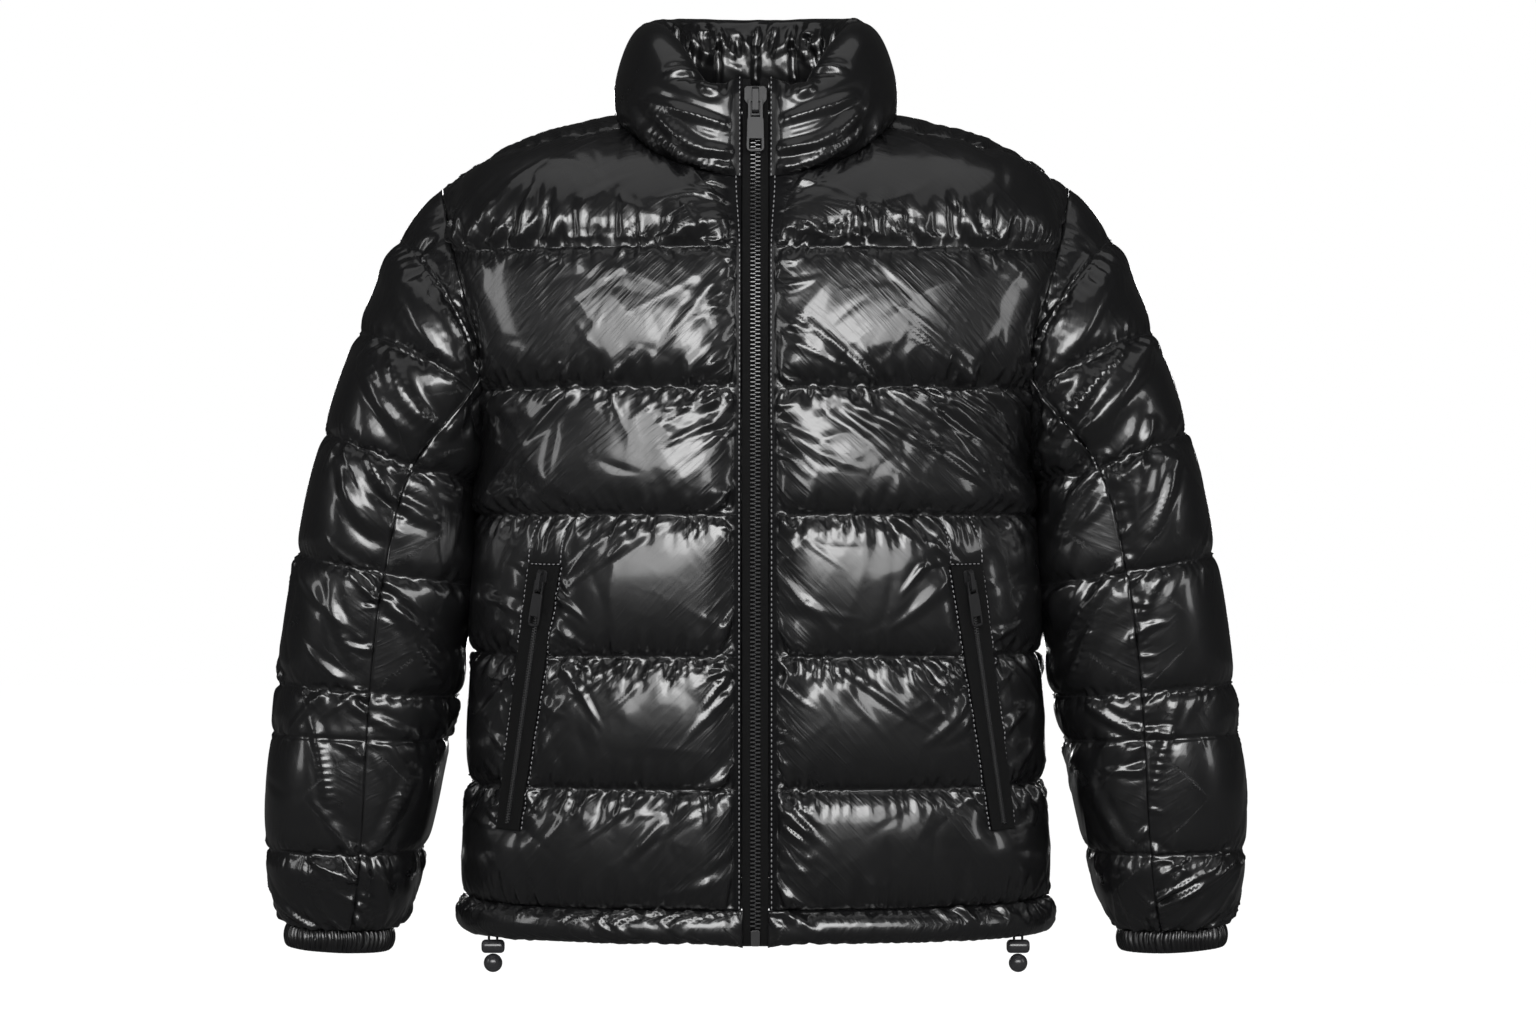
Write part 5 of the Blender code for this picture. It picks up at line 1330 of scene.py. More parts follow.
class Sheet:
    """A fine grid of cloth over a panel, held along its seams.

    Rows run across the chambers and columns run along the seams.
    """

    fold_lean = 0.6        # lean of the thin folds of the finish
    one_way = False        # whether those folds start at the upper seams only
    streaks = 1.0          # how strong they are

    def __init__(
        self, panel: Panel, seam_rows: Sequence[int], cell: float,
        sag: Sequence[float] = (), tent: Sequence[float] = (),
    ) -> None:
        """Lays the fine grid.

        Args:
            panel: The panel, with the most that it may puff in panel.puff.
            seam_rows: Rows of the panel that are seams, its first and last among them.
            cell: Size of a cell of the fine grid.
            sag: For each chamber, how low its fullest place lies: 1 is its middle, less is lower.
            tent: For each chamber, how straight the cloth runs from its upper seam to there.
        """
        grid = panel.grid
        chambers = len(seam_rows) - 1
        self.panel = panel
        self.tall = np.mean([chords(grid[:, c]) for c in range(grid.shape[1])], axis=0)
        self.wide = np.mean([chords(row) for row in grid], axis=0)
        keys, shares, self.seams = [], [], [0]
        for low, high, power in zip(self.tall[list(seam_rows)], self.tall[list(seam_rows[1:])],
                                    sag or (1.0,) * chambers):
            count = 2 * max(2, int(round((high - low) / cell / 2)))
            steps = np.arange(count) / count
            keys.append(low + (high - low) * steps)
            shares.append(steps ** power)
            self.seams.append(self.seams[-1] + count)
        self.row_keys = np.concatenate(keys + [self.tall[-1:]])
        share = np.concatenate(shares + [np.zeros(1)])
        self.column_keys = np.linspace(0.0, self.wide[-1], 2 * int(round(self.wide[-1] / cell / 2)) + 1)
        self.base = self.spread(grid + panel.shift)
        self.normals = unit(self.spread(panel.normals))
        self.inward = unit(self.spread(panel.inward, read_chords))
        self.wall = self.spread(panel.wall, read_chords)
        lift = np.maximum(self.spread(panel.puff, read_chords), 0.0)
        self.size = lift.shape
        self.held = np.zeros(self.size, bool)
        self.held[self.seams] = True
        self.held[:, [0, -1]] = True
        rise = 2 * np.minimum(share, 1 - share)
        tented = self.by_chamber(tent or (0.0,) * chambers, 0.0) * (share > 0.5)
        self.shape = lift * (puff_shape(rise) * (1 - tented) + rise * tented)[:, None]
        self.ripple = (0.0,) * chambers
        self.pressed = np.zeros(self.size)
        self.points = self.base + self.normals * self.shape[..., None]

    def spread(self, values: Array, read: Callable = read_smooth) -> Array:
        """Values of the panel's grid, read at the fine grid."""
        return read_grid(values, (self.tall, self.wide), (self.row_keys, self.column_keys), read)

    def by_chamber(self, values: Sequence[float], last: float) -> Array:
        """One value for each row: its chamber's, and one for the last row."""
        return np.append(np.repeat(np.asarray(values, float), np.diff(self.seams)), last)

    def seam_distance(self) -> Array:
        """Distance of each row from its nearest seam, down the cloth."""
        return np.abs(self.row_keys[:, None] - self.row_keys[self.seams][None]).min(axis=1)

    def seam_folds(self, kinds: Sequence[tuple[Sequence[Creases], Sequence[Creases]]]) -> Array:
        """Folds beside the seams.

        Args:
            kinds: For each chamber, the folds after its first seam and those before its second.

        Returns:
            How far out each point goes.
        """
        run, keys = run_along(self.base), self.row_keys
        offsets = np.zeros(self.size)
        for low, high, (after, before) in zip(self.seams, self.seams[1:], kinds):
            rows = slice(low, high + 1)
            for creases, away in ((after, keys[rows] - keys[low]), (before, keys[high] - keys[rows])):
                for kind in creases:
                    offsets[rows] += kind.offsets(run[rows], widened(away, run.shape[1]))
        return offsets

    def edge_folds(self, last: bool, kinds: Sequence[Creases]) -> Array:
        """Folds beside the first or the last column.

        Args:
            last: Whether they are beside the last column.
            kinds: The folds.

        Returns:
            How far out each point goes.
        """
        run = run_along(self.base)
        away = run[:, -1:] - run if last else run
        return sum(kind.offsets(widened(self.row_keys, run.shape[1]), away) for kind in kinds)

    def folds_beside(
        self, column: float, rows: tuple[float, float], toward: float, kinds: Sequence[Creases]
    ) -> Array:
        """Folds that run out from one side of a line down the cloth.

        Args:
            column: Where the line is, across.
            rows: Where it starts and ends, down.
            toward: Which side they are on, 1 or -1.
            kinds: The folds.

        Returns:
            How far out each point goes.
        """
        away = (self.column_keys - column) * toward
        some = np.flatnonzero((self.row_keys >= rows[0]) & (self.row_keys <= rows[1]))
        columns = np.flatnonzero(away > 0)
        down = widened(self.row_keys[some] - rows[0], len(columns))
        out = np.repeat(away[columns][None], len(some), axis=0)
        total = np.zeros(self.size)
        total[np.ix_(some, columns)] = sum(kind.offsets(down, out) for kind in kinds)
        return total

    def stray_folds(self, count: int, high: float, seed: int, size: float = 1.0) -> Array:
        """Low folds that cross the middles of the chambers at a slant.

        Args:
            count: How many.
            high: How high the highest is.
            seed: Picks their places.
            size: How large they are.

        Returns:
            How far out each point goes.
        """
        rng = np.random.default_rng(seed)
        run = run_along(self.base)
        keys = widened(self.row_keys, run.shape[1])
        total = np.zeros(run.shape)
        for _ in range(count):
            x, y = rng.uniform(0, run.max()), rng.uniform(0, keys.max())
            turn = rng.normal(0.9, 0.5)
            long, width = size * rng.uniform(0.012, 0.034), size * rng.uniform(0.0026, 0.0050)
            u = (run - x) * math.cos(turn) + (keys - y) * math.sin(turn)
            v = -(run - x) * math.sin(turn) + (keys - y) * math.cos(turn)
            v = v + rng.uniform(-6, 6) * u * u
            rise = high * rng.uniform(-1.0, 1.0)
            total += rise * np.exp(-(u / long) ** 2) * np.exp(-np.abs(v / width) ** 1.4)
        return total

    def hand_folds(self, lines: Table, front: bool = True) -> Array:
        """Folds at given lines, seen from the front or the back.

        Args:
            lines: For each fold x and z of its start, middle and end, its height and half width.
            front: Whether it is on the front or the back.

        Returns:
            How far out each point goes.
        """
        spot = self.points[..., [0, 2]]
        facing = np.clip((-1 if front else 1) * self.normals[..., 1] * 3.0, 0.0, 1.0)
        offsets = np.zeros(self.size)
        t = np.linspace(0, 1, 15)[:, None]
        for *ends, high, half in lines:
            start, middle, end = np.array(ends).reshape(3, 2)
            pull = 2 * (2 * middle - (start + end) / 2)
            line = start * (1 - t) ** 2 + pull * t * (1 - t) + end * t * t
            gaps = np.linalg.norm(spot[None] - line[:, None, None], axis=-1)
            gap = gaps.min(axis=0) / half
            taper = np.sin(np.pi * np.clip((gaps.argmin(axis=0) + 1.0) / 16.0, 0.0, 1.0)) ** 0.6
            offsets += high * taper * (np.exp(-gap ** 2) - 0.45 * np.exp(-((gap - 1.7) / 0.8) ** 2))
        return offsets * facing

    def fold(self, offsets: Array) -> None:
        """Moves the free points out by these distances."""
        self.points = self.points + self.normals * np.where(self.held, 0.0, offsets)[..., None]

    def inflate(self, blow: Blow) -> None:
        """Blows the cloth up, first on every other point and then on all.

        Args:
            blow: How.
        """
        away = self.seam_distance()[:, None]
        uneven = 0.75 + 0.75 * wander_field(self.size, (9, 11), blow.seed)
        reach = blow.reach * (1.0 + 0.55 * wander_field(self.size, (40, 9), blow.seed + 7))
        extra = blow.gather * np.maximum(uneven, 0.05) * np.exp(-(away / reach) ** 2)
        extra += blow.loose * (1 + 0.8 * wander_field(self.size, (16, 16), blow.seed + 3))
        noise = np.random.default_rng(blow.seed + 11).normal(0, 1, self.size)
        first = self.points[::2, ::2]
        for level, steps in ((2, blow.coarse_steps), (1, blow.fine_steps)):
            some = np.s_[::level, ::level]
            start, out, held = self.points[some], self.normals[some], self.held[some]
            run = Weave(start, extra[some], held, out)
            jitter = noise[some] * JITTER * level
            run.points = first + out * np.where(held, 0, jitter)[..., None]
            run.settle(steps, blow.push * level)
            if level == 2:
                coarse = [np.arange(count) * 2.0 for count in start.shape[:2]]
                moved = read_grid(run.points - start, coarse, [np.arange(count) for count in self.size])
                first = self.points + np.where(self.held[..., None], 0.0, moved)
        self.points = run.points

    def keep_shape(self, share: float, cells: float) -> None:
        """Takes back most of what the air added to the panel's broad shape, and leaves the folds.

        Args:
            share: How much of it to take back.
            cells: How many cells wide a swell has to be to count as broad.
        """
        broad = np.sum((self.points - self.base) * self.normals, axis=-1) - self.shape
        broad[self.held] = 0.0
        reach = int(cells * 2.5)
        weights = np.exp(-0.5 * (np.arange(-reach, reach + 1) / cells) ** 2)
        weights /= weights.sum()
        for axis, size in enumerate(self.size):
            pad = [(reach, reach) if axis == i else (0, 0) for i in range(2)]
            wide = np.pad(broad, pad, mode="edge")
            broad = sum(w * np.take(wide, range(i, i + size), axis=axis) for i, w in enumerate(weights))
        self.fold(-share * broad)

    def hold_block(
        self, rows: Sequence[float], columns: Sequence[float], height: float = 0.0, soft: float = 0.004
    ) -> None:
        """Holds a block of the cloth flat, on the straight lines between the panel's own points.

        Args:
            rows: First and last running length down the panel.
            columns: First and last running length across it.
            height: How far over the base it is held.
            soft: How far from the block the cloth still eases towards it.
        """
        down, over = (
            np.clip(np.maximum(low - keys, keys - high), 0, None)
            for keys, (low, high) in ((self.row_keys, rows), (self.column_keys, columns))
        )
        away = np.hypot(down[:, None], over[None, :])
        flat = self.spread(self.panel.grid + self.panel.shift, read_chords)
        flat = flat + unit(self.spread(self.panel.normals, read_chords)) * height
        inside = away <= 0.0004
        ease = np.exp(-(away / soft) ** 2)
        ease[inside] = 1.0
        ease = np.where(self.held & ~inside, 0.0, ease)[..., None]
        self.points = self.points * (1 - ease) + flat * ease
        self.held |= inside
        self.pressed = np.maximum(self.pressed, np.clip(1.0 - away / 0.0030, 0.0, 1.0))

    def mark(self, made: Piece) -> None:
        """Gives a piece's points the values that the cloth's finish reads.

        They say how near a seam a point is, where it lies along the folds that start there,
        and how flat it is pressed.

        Args:
            made: The piece, whose first points are this cloth's.
        """
        run = run_along(self.base)
        keys = widened(self.row_keys, run.shape[1])
        path = widened(self.seam_distance(), run.shape[1])
        edge = np.minimum(run, run[:, -1:] - run)
        by_edge = edge < path
        away = np.minimum(path, edge)
        if self.one_way:
            path = self.by_chamber(self.row_keys[self.seams[1:]], self.row_keys[-1])[:, None] - keys
            by_edge[:] = False
        across = np.where(by_edge, keys + self.fold_lean * edge, run - self.fold_lean * path)
        strong = np.maximum(np.exp(-(away / 0.030) ** 1.6), self.by_chamber(self.ripple, 0.0)[:, None])
        space = np.stack([across, np.where(by_edge, edge, path), by_edge * 1.0], axis=-1)
        for name, kind, values in (
            ("seam_near", "FLOAT", np.where(self.held, 0.0, strong * self.streaks)),
            ("pressed", "FLOAT", self.pressed),
            ("fold_space", "FLOAT_VECTOR", space),
        ):
            full = np.zeros((len(made.data.vertices),) + values.shape[2:], np.float32)
            full[:run.size] = values.reshape((-1,) + values.shape[2:])
            layer = made.data.attributes.new(name, kind, "POINT")
            layer.data.foreach_set("value" if kind == "FLOAT" else "vector", full.ravel())


# ---------------------------------------------------------------- meshes

def link(name: str, data: bpy.types.ID) -> Piece:
    """An object of some data, linked to the scene.

    Args:
        name: Name of the object.
        data: Its mesh, light or camera.

    Returns:
        The object.
    """
    made = bpy.data.objects.new(name, data)
    bpy.context.scene.collection.objects.link(made)
    return made


def solid(name: str, points: Array, faces: list[tuple[int, ...]], rounded: bool = True) -> Piece:
    """Makes a piece of a closed mesh, with its faces pointing out.

    Args:
        name: Name of the piece.
        points: Its points, in metres, in rows of any shape.
        faces: Its faces.
        rounded: Whether it is shaded smoothly.

    Returns:
        The piece, linked to the scene.
    """
    mesh = bpy.data.meshes.new(name)
    mesh.from_pydata(np.asarray(points).reshape(-1, 3).tolist(), [], faces)
    mesh.validate()
    work = bmesh.new()
    work.from_mesh(mesh)
    bmesh.ops.recalc_face_normals(work, faces=work.faces)
    if work.calc_volume(signed=True) < 0:
        bmesh.ops.reverse_faces(work, faces=work.faces)
    for face in work.faces:
        face.smooth = rounded
    work.to_mesh(mesh)
    work.free()
    return link(name, mesh)


def numbers(shape: tuple[int, int], start: int = 0) -> Array:
    """The numbers of a grid of vertices."""
    return np.arange(start, start + shape[0] * shape[1]).reshape(shape)


def grid_faces(grid: Array) -> list[tuple[int, ...]]:
    """Four-sided faces between the vertices of a grid of their numbers."""
    corners = [grid[:-1, :-1], grid[:-1, 1:], grid[1:, 1:], grid[1:, :-1]]
    return [tuple(face) for face in np.stack(corners, -1).reshape(-1, 4).tolist()]


def walled_piece(name: str, sheet: Sheet, flip: bool = False, every: int = 6) -> Piece:
    """Closes a blown-up cloth with its side walls and a plainer inside.

    Args:
        name: Name of the piece.
        sheet: The cloth.
        flip: Whether to put it on the other side of the jacket.
        every: How many cells of the outside go to one of the inside.

    Returns:
        The piece.
    """
    some = [sorted(set(list(range(0, count - 1, every)) + [count - 1])) for count in sheet.size]
    inner = (sheet.base + sheet.inward * sheet.wall[..., None])[np.ix_(*some)]
    points = np.concatenate([sheet.points.reshape(-1, 3), inner.reshape(-1, 3)])
    outside = numbers(sheet.size)
    inside = numbers(inner.shape[:2], outside.size)
    faces = grid_faces(outside) + [tuple(reversed(face)) for face in grid_faces(inside)]
    sides = [(outside[i], inside[i], some[1]) for i in (0, -1)]
    sides += [(outside[:, i], inside[:, i], some[0]) for i in (0, -1)]
    for fine, coarse, at in sides:
        fine, coarse = fine.tolist(), coarse.tolist()
        for a, b, first, second in zip(at, at[1:], coarse, coarse[1:]):
            faces.append(tuple(fine[a:b + 1]) + (second, first))
    made = solid(name, mirrored(points) if flip else points, faces)
    sheet.mark(made)
    return made


def rolled_piece(name: str, sheet: Sheet) -> Piece:
    """Closes a cloth that goes once round a padded band, and caps its two ends.

    Args:
        name: Name of the piece.
        sheet: The cloth.

    Returns:
        The piece.
    """
    grid = numbers(sheet.size)
    faces = grid_faces(grid) + grid_faces(grid[[-1, 0]])
    faces += [tuple(grid[:, 0].tolist()), tuple(grid[::-1, -1].tolist())]
    made = solid(name, sheet.points, faces)
    sheet.mark(made)
    return made


def wear(made: Piece, finish: Material) -> None:
    """Gives a piece of the jacket its finish.

    Args:
        made: The piece.
        finish: Its finish.
    """
    made.data.materials.append(finish)
    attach(made, "jacket")


# ---------------------------------------------------------------- quilted pieces

# Rows of the panels that are quilt seams, from the hem or the armhole on
BODY_SEAMS = (0, 5, 10, 15, 21, 26, 32)
OUTER_SEAMS = (0, 3, 8, 13, 18, 23, 26, 31, 35)
INNER_SEAMS = (0, 1, 6, 11, 16, 19, 24, 28)
# Low full places of the fronts' and the back's chambers, and how straight the fronts' run there
FRONT_SAG = (1.0, 0.90, 0.80, 0.60, 0.62, 0.60)
FRONT_TENT = (0.25, 0.30, 0.40, 0.75, 0.55, 0.30)
BACK_SAG = (1.0, 0.95, 0.85, 0.80, 0.80, 0.80)
CELL = 0.0018 if FINE else 0.0034
BACK_CELL = 0.0027 if FINE else 0.0034
HEM_CELL = min(CELL * 1.1, 0.0022)
BROAD = 0.009              # how wide a swell of the cloth has to be to count as broad
ZIP_EDGE = 0.0066          # width of the flat edge beside the front zip
POCKET_CLEAR = 0.0003      # how far under the pocket zip's tape the cloth is held

# x and z of a fold's start, middle and end, its height and its half width, on the left side
SLEEVE_FOLDS_LEFT = (
    (0.2860, -0.1050, 0.2560, -0.1480, 0.2260, -0.1960, 0.0085, 0.0150),
    (0.2960, -0.1900, 0.2700, -0.2280, 0.2420, -0.2640, 0.0050, 0.0100),
    (0.3180, -0.1650, 0.3060, -0.1830, 0.2930, -0.2010, 0.0030, 0.0080),
    (0.2629, -0.1077, 0.2419, -0.1420, 0.2185, -0.1771, 0.0050, 0.0055),
    (0.2777, -0.1202, 0.2590, -0.1560, 0.2388, -0.1841, 0.0032, 0.0045),
    (0.2871, -0.1771, 0.2567, -0.2160, 0.2263, -0.2573, 0.0050, 0.0055),
    (0.3011, -0.1981, 0.2777, -0.2215, 0.2489, -0.2511, 0.0030, 0.0042),
    (0.3074, -0.2355, 0.2996, -0.2589, 0.2840, -0.2838, 0.0034, 0.0042),
    (0.2723, -0.2628, 0.2528, -0.2901, 0.2372, -0.3243, 0.0034, 0.0046),
    (0.2902, -0.3446, 0.2684, -0.3680, 0.2450, -0.4085, 0.0034, 0.0044),
    (0.3292, -0.2589, 0.3214, -0.2916, 0.3074, -0.3228, 0.0024, 0.0040),
    (0.2590, -0.4537, 0.2840, -0.4739, 0.3214, -0.4802, 0.0028, 0.0036),
    (0.2933, -0.5721, 0.2762, -0.5472, 0.2637, -0.5207, 0.0026, 0.0040),
    (0.2700, -0.3695, 0.2590, -0.4069, 0.2435, -0.4475, 0.0026, 0.0042),
    (0.3151, -0.3563, 0.3011, -0.3851, 0.2957, -0.4225, 0.0020, 0.0040),
    (0.2419, -0.2199, 0.2357, -0.2394, 0.2216, -0.2682, 0.0026, 0.0040),
    (0.3307, -0.4537, 0.3190, -0.4864, 0.3074, -0.5316, 0.0022, 0.0044),
)
SLEEVE_FOLDS_RIGHT = (
    (0.2900, -0.1060, 0.2600, -0.1500, 0.2300, -0.1980, 0.0085, 0.0150),
    (0.2990, -0.1880, 0.2760, -0.2260, 0.2500, -0.2660, 0.0050, 0.0100),
    (0.3160, -0.2900, 0.3000, -0.3080, 0.2800, -0.3260, 0.0036, 0.0080),
    (0.2615, -0.1077, 0.2412, -0.1420, 0.2194, -0.1794, 0.0050, 0.0055),
    (0.2755, -0.1311, 0.2583, -0.1615, 0.2381, -0.1888, 0.0032, 0.0045),
    (0.2833, -0.1771, 0.2708, -0.2160, 0.2412, -0.2464, 0.0050, 0.0055),
    (0.3067, -0.1966, 0.2926, -0.2215, 0.2739, -0.2449, 0.0030, 0.0042),
    (0.2989, -0.2651, 0.2833, -0.2940, 0.2506, -0.3150, 0.0034, 0.0044),
    (0.3215, -0.2729, 0.3144, -0.2978, 0.2973, -0.3228, 0.0026, 0.0040),
    (0.3035, -0.3664, 0.2786, -0.3851, 0.2506, -0.4163, 0.0032, 0.0044),
    (0.3176, -0.4537, 0.2942, -0.4708, 0.2646, -0.4833, 0.0026, 0.0038),
    (0.2989, -0.5721, 0.2848, -0.5472, 0.2708, -0.5145, 0.0026, 0.0040),
    (0.2677, -0.2511, 0.2537, -0.2745, 0.2303, -0.2916, 0.0026, 0.0042),
    (0.3316, -0.3641, 0.3254, -0.3914, 0.3113, -0.4241, 0.0020, 0.0040),
    (0.2802, -0.3758, 0.2677, -0.4069, 0.2459, -0.4459, 0.0024, 0.0040),
    (0.3472, -0.4693, 0.3378, -0.5004, 0.3316, -0.5410, 0.0020, 0.0042),
)
# the same for the outside of the collar, and for the inside of its back
COLLAR_FOLDS = (
    (-0.0769, 0.0114, -0.0576, 0.0006, -0.0243, -0.0095, 0.0036, 0.0038),
    (0.0763, 0.0151, 0.0570, 0.0043, 0.0237, -0.0058, 0.0036, 0.0038),
    (-0.0754, -0.0025, -0.0506, -0.0234, -0.0205, -0.0303, 0.0046, 0.0042),
    (0.0755, 0.0007, 0.0508, -0.0202, 0.0206, -0.0271, 0.0046, 0.0042),
    (-0.0808, -0.0095, -0.0537, -0.0327, -0.0205, -0.0427, 0.0046, 0.0043),
    (0.0794, -0.0086, 0.0523, -0.0318, 0.0191, -0.0418, 0.0046, 0.0043),
    (-0.0962, 0.0114, -0.0854, -0.0164, -0.0614, -0.0381, 0.0030, 0.0047),
    (0.0988, 0.0086, 0.0880, -0.0192, 0.0640, -0.0409, 0.0030, 0.0047),
    (-0.0669, 0.0315, -0.0576, 0.0362, -0.0460, 0.0362, 0.0026, 0.0034),
    (0.0660, 0.0352, 0.0567, 0.0398, 0.0451, 0.0398, 0.0026, 0.0034),
    (-0.0893, 0.0176, -0.0676, -0.0056, -0.0429, -0.0288, 0.0030, 0.0043),
    (0.0886, 0.0136, 0.0670, -0.0096, 0.0422, -0.0328, 0.0030, 0.0043),
    (-0.0429, 0.0253, -0.0382, 0.0176, -0.0305, 0.0191, 0.0040, 0.0038),
    (0.0451, 0.0225, 0.0404, 0.0148, 0.0327, 0.0163, 0.0040, 0.0038),
)
NECK_FOLDS = (
    (-0.0768, 0.0861, -0.0719, 0.0763, -0.0752, 0.0649, 0.0044, 0.0040),
    (0.0749, 0.0851, 0.0700, 0.0753, 0.0732, 0.0639, 0.0044, 0.0040),
    (-0.0654, 0.0877, -0.0588, 0.0780, -0.0621, 0.0649, 0.0040, 0.0036),
    (0.0669, 0.0849, 0.0603, 0.0751, 0.0636, 0.0620, 0.0040, 0.0036),
    (-0.0539, 0.0828, -0.0491, 0.0731, -0.0393, 0.0649, 0.0044, 0.0036),
    (0.0567, 0.0862, 0.0518, 0.0764, 0.0420, 0.0683, 0.0044, 0.0036),
    (-0.0409, 0.0665, -0.0344, 0.0763, -0.0278, 0.0828, 0.0044, 0.0034),
    (0.0414, 0.0651, 0.0348, 0.0749, 0.0283, 0.0814, 0.0044, 0.0034),
    (-0.0278, 0.0828, -0.0229, 0.0731, -0.0148, 0.0665, 0.0042, 0.0034),
    (0.0275, 0.0855, 0.0226, 0.0757, 0.0144, 0.0692, 0.0042, 0.0034),
    (-0.0131, 0.0861, -0.0083, 0.0763, -0.0034, 0.0649, 0.0040, 0.0036),
    (0.0125, 0.0895, 0.0076, 0.0797, 0.0028, 0.0682, 0.0040, 0.0036),
    (-0.0458, 0.0877, -0.0393, 0.0845, -0.0295, 0.0861, 0.0030, 0.0034),
    (0.0489, 0.0848, 0.0424, 0.0815, 0.0326, 0.0831, 0.0030, 0.0034),
)

# Share of a cuff's length, and how far it stands out, up the inside
CUFF_INSIDE = [(1.0, -0.0030), (0.5, -0.0036), (0.0, -0.0032)]


@dataclass
class Quilter:
    """Folds and blows up one quilted piece.

    Attributes:
        seed: Picks this piece's folds.
        lean: Which way the folds lean along the seams, 1 or -1.
        blow: How it is blown up.
        before: Share of the folds' height given before the air.
        after: Share of it given after.
        flatten: How much of what the air adds to the broad shape is taken back.
        highest: The most that folds that meet stand out together.
    """

    seed: int
    lean: float = 1.0
    blow: Blow = field(default_factory=Blow)
    before: float = 0.7
    after: float = 0.45
    flatten: float = 0.9
    highest: float = 0.0062

    def kind(
        self, number: int, dense: float, high: float, width: float, long: float, lean: float,
        spread: float = 0.45,
    ) -> Creases:
        """One kind of fold of this piece, with what Creases asks for and a number for its seed."""
        return Creases(dense, high, width, long, lean * self.lean, spread, self.seed * 100 + number)

    def blow_up(self, sheet: Sheet, folds: Array, flat: Sequence[tuple] = ()) -> None:
        """Folds the cloth, blows it up and folds it a little more.

        Args:
            sheet: The cloth.
            folds: How far out each point goes.
            flat: What Sheet.hold_block is told about each block that is held flat.
        """
        folds = self.highest * np.tanh(folds / self.highest)
        sheet.fold(folds * self.before)
        for block in flat:
            sheet.hold_block(*block)
        self.blow.seed = self.seed
        sheet.inflate(self.blow)
        sheet.keep_shape(self.flatten, BROAD / CELL)
        sheet.fold(folds * self.after)


@dataclass
class Padded:
    """Padded pieces of the jacket.

    Attributes:
        fill: How full they are; not used.
        made: The pieces.
        sheets: Their cloths, by the name of the node that each stands for.
    """

    fill: float = 0.75
    made: list[Piece] = field(default_factory=list)
    sheets: dict[str, Sheet] = field(default_factory=dict)

    def keep(self, made: Piece, node: str, sheet: Sheet) -> None:
        """Keeps a piece that stands for a node, and its cloth.

        Args:
            made: The piece.
            node: The node's name.
            sheet: The cloth.
        """
        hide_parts(node)
        self.made.append(made)
        self.sheets[node] = sheet

    def dress(self, finish: Material) -> None:
        """Gives the pieces their cloth.

        Args:
            finish: Their cloth.
        """
        for made in self.made:
            wear(made, finish)


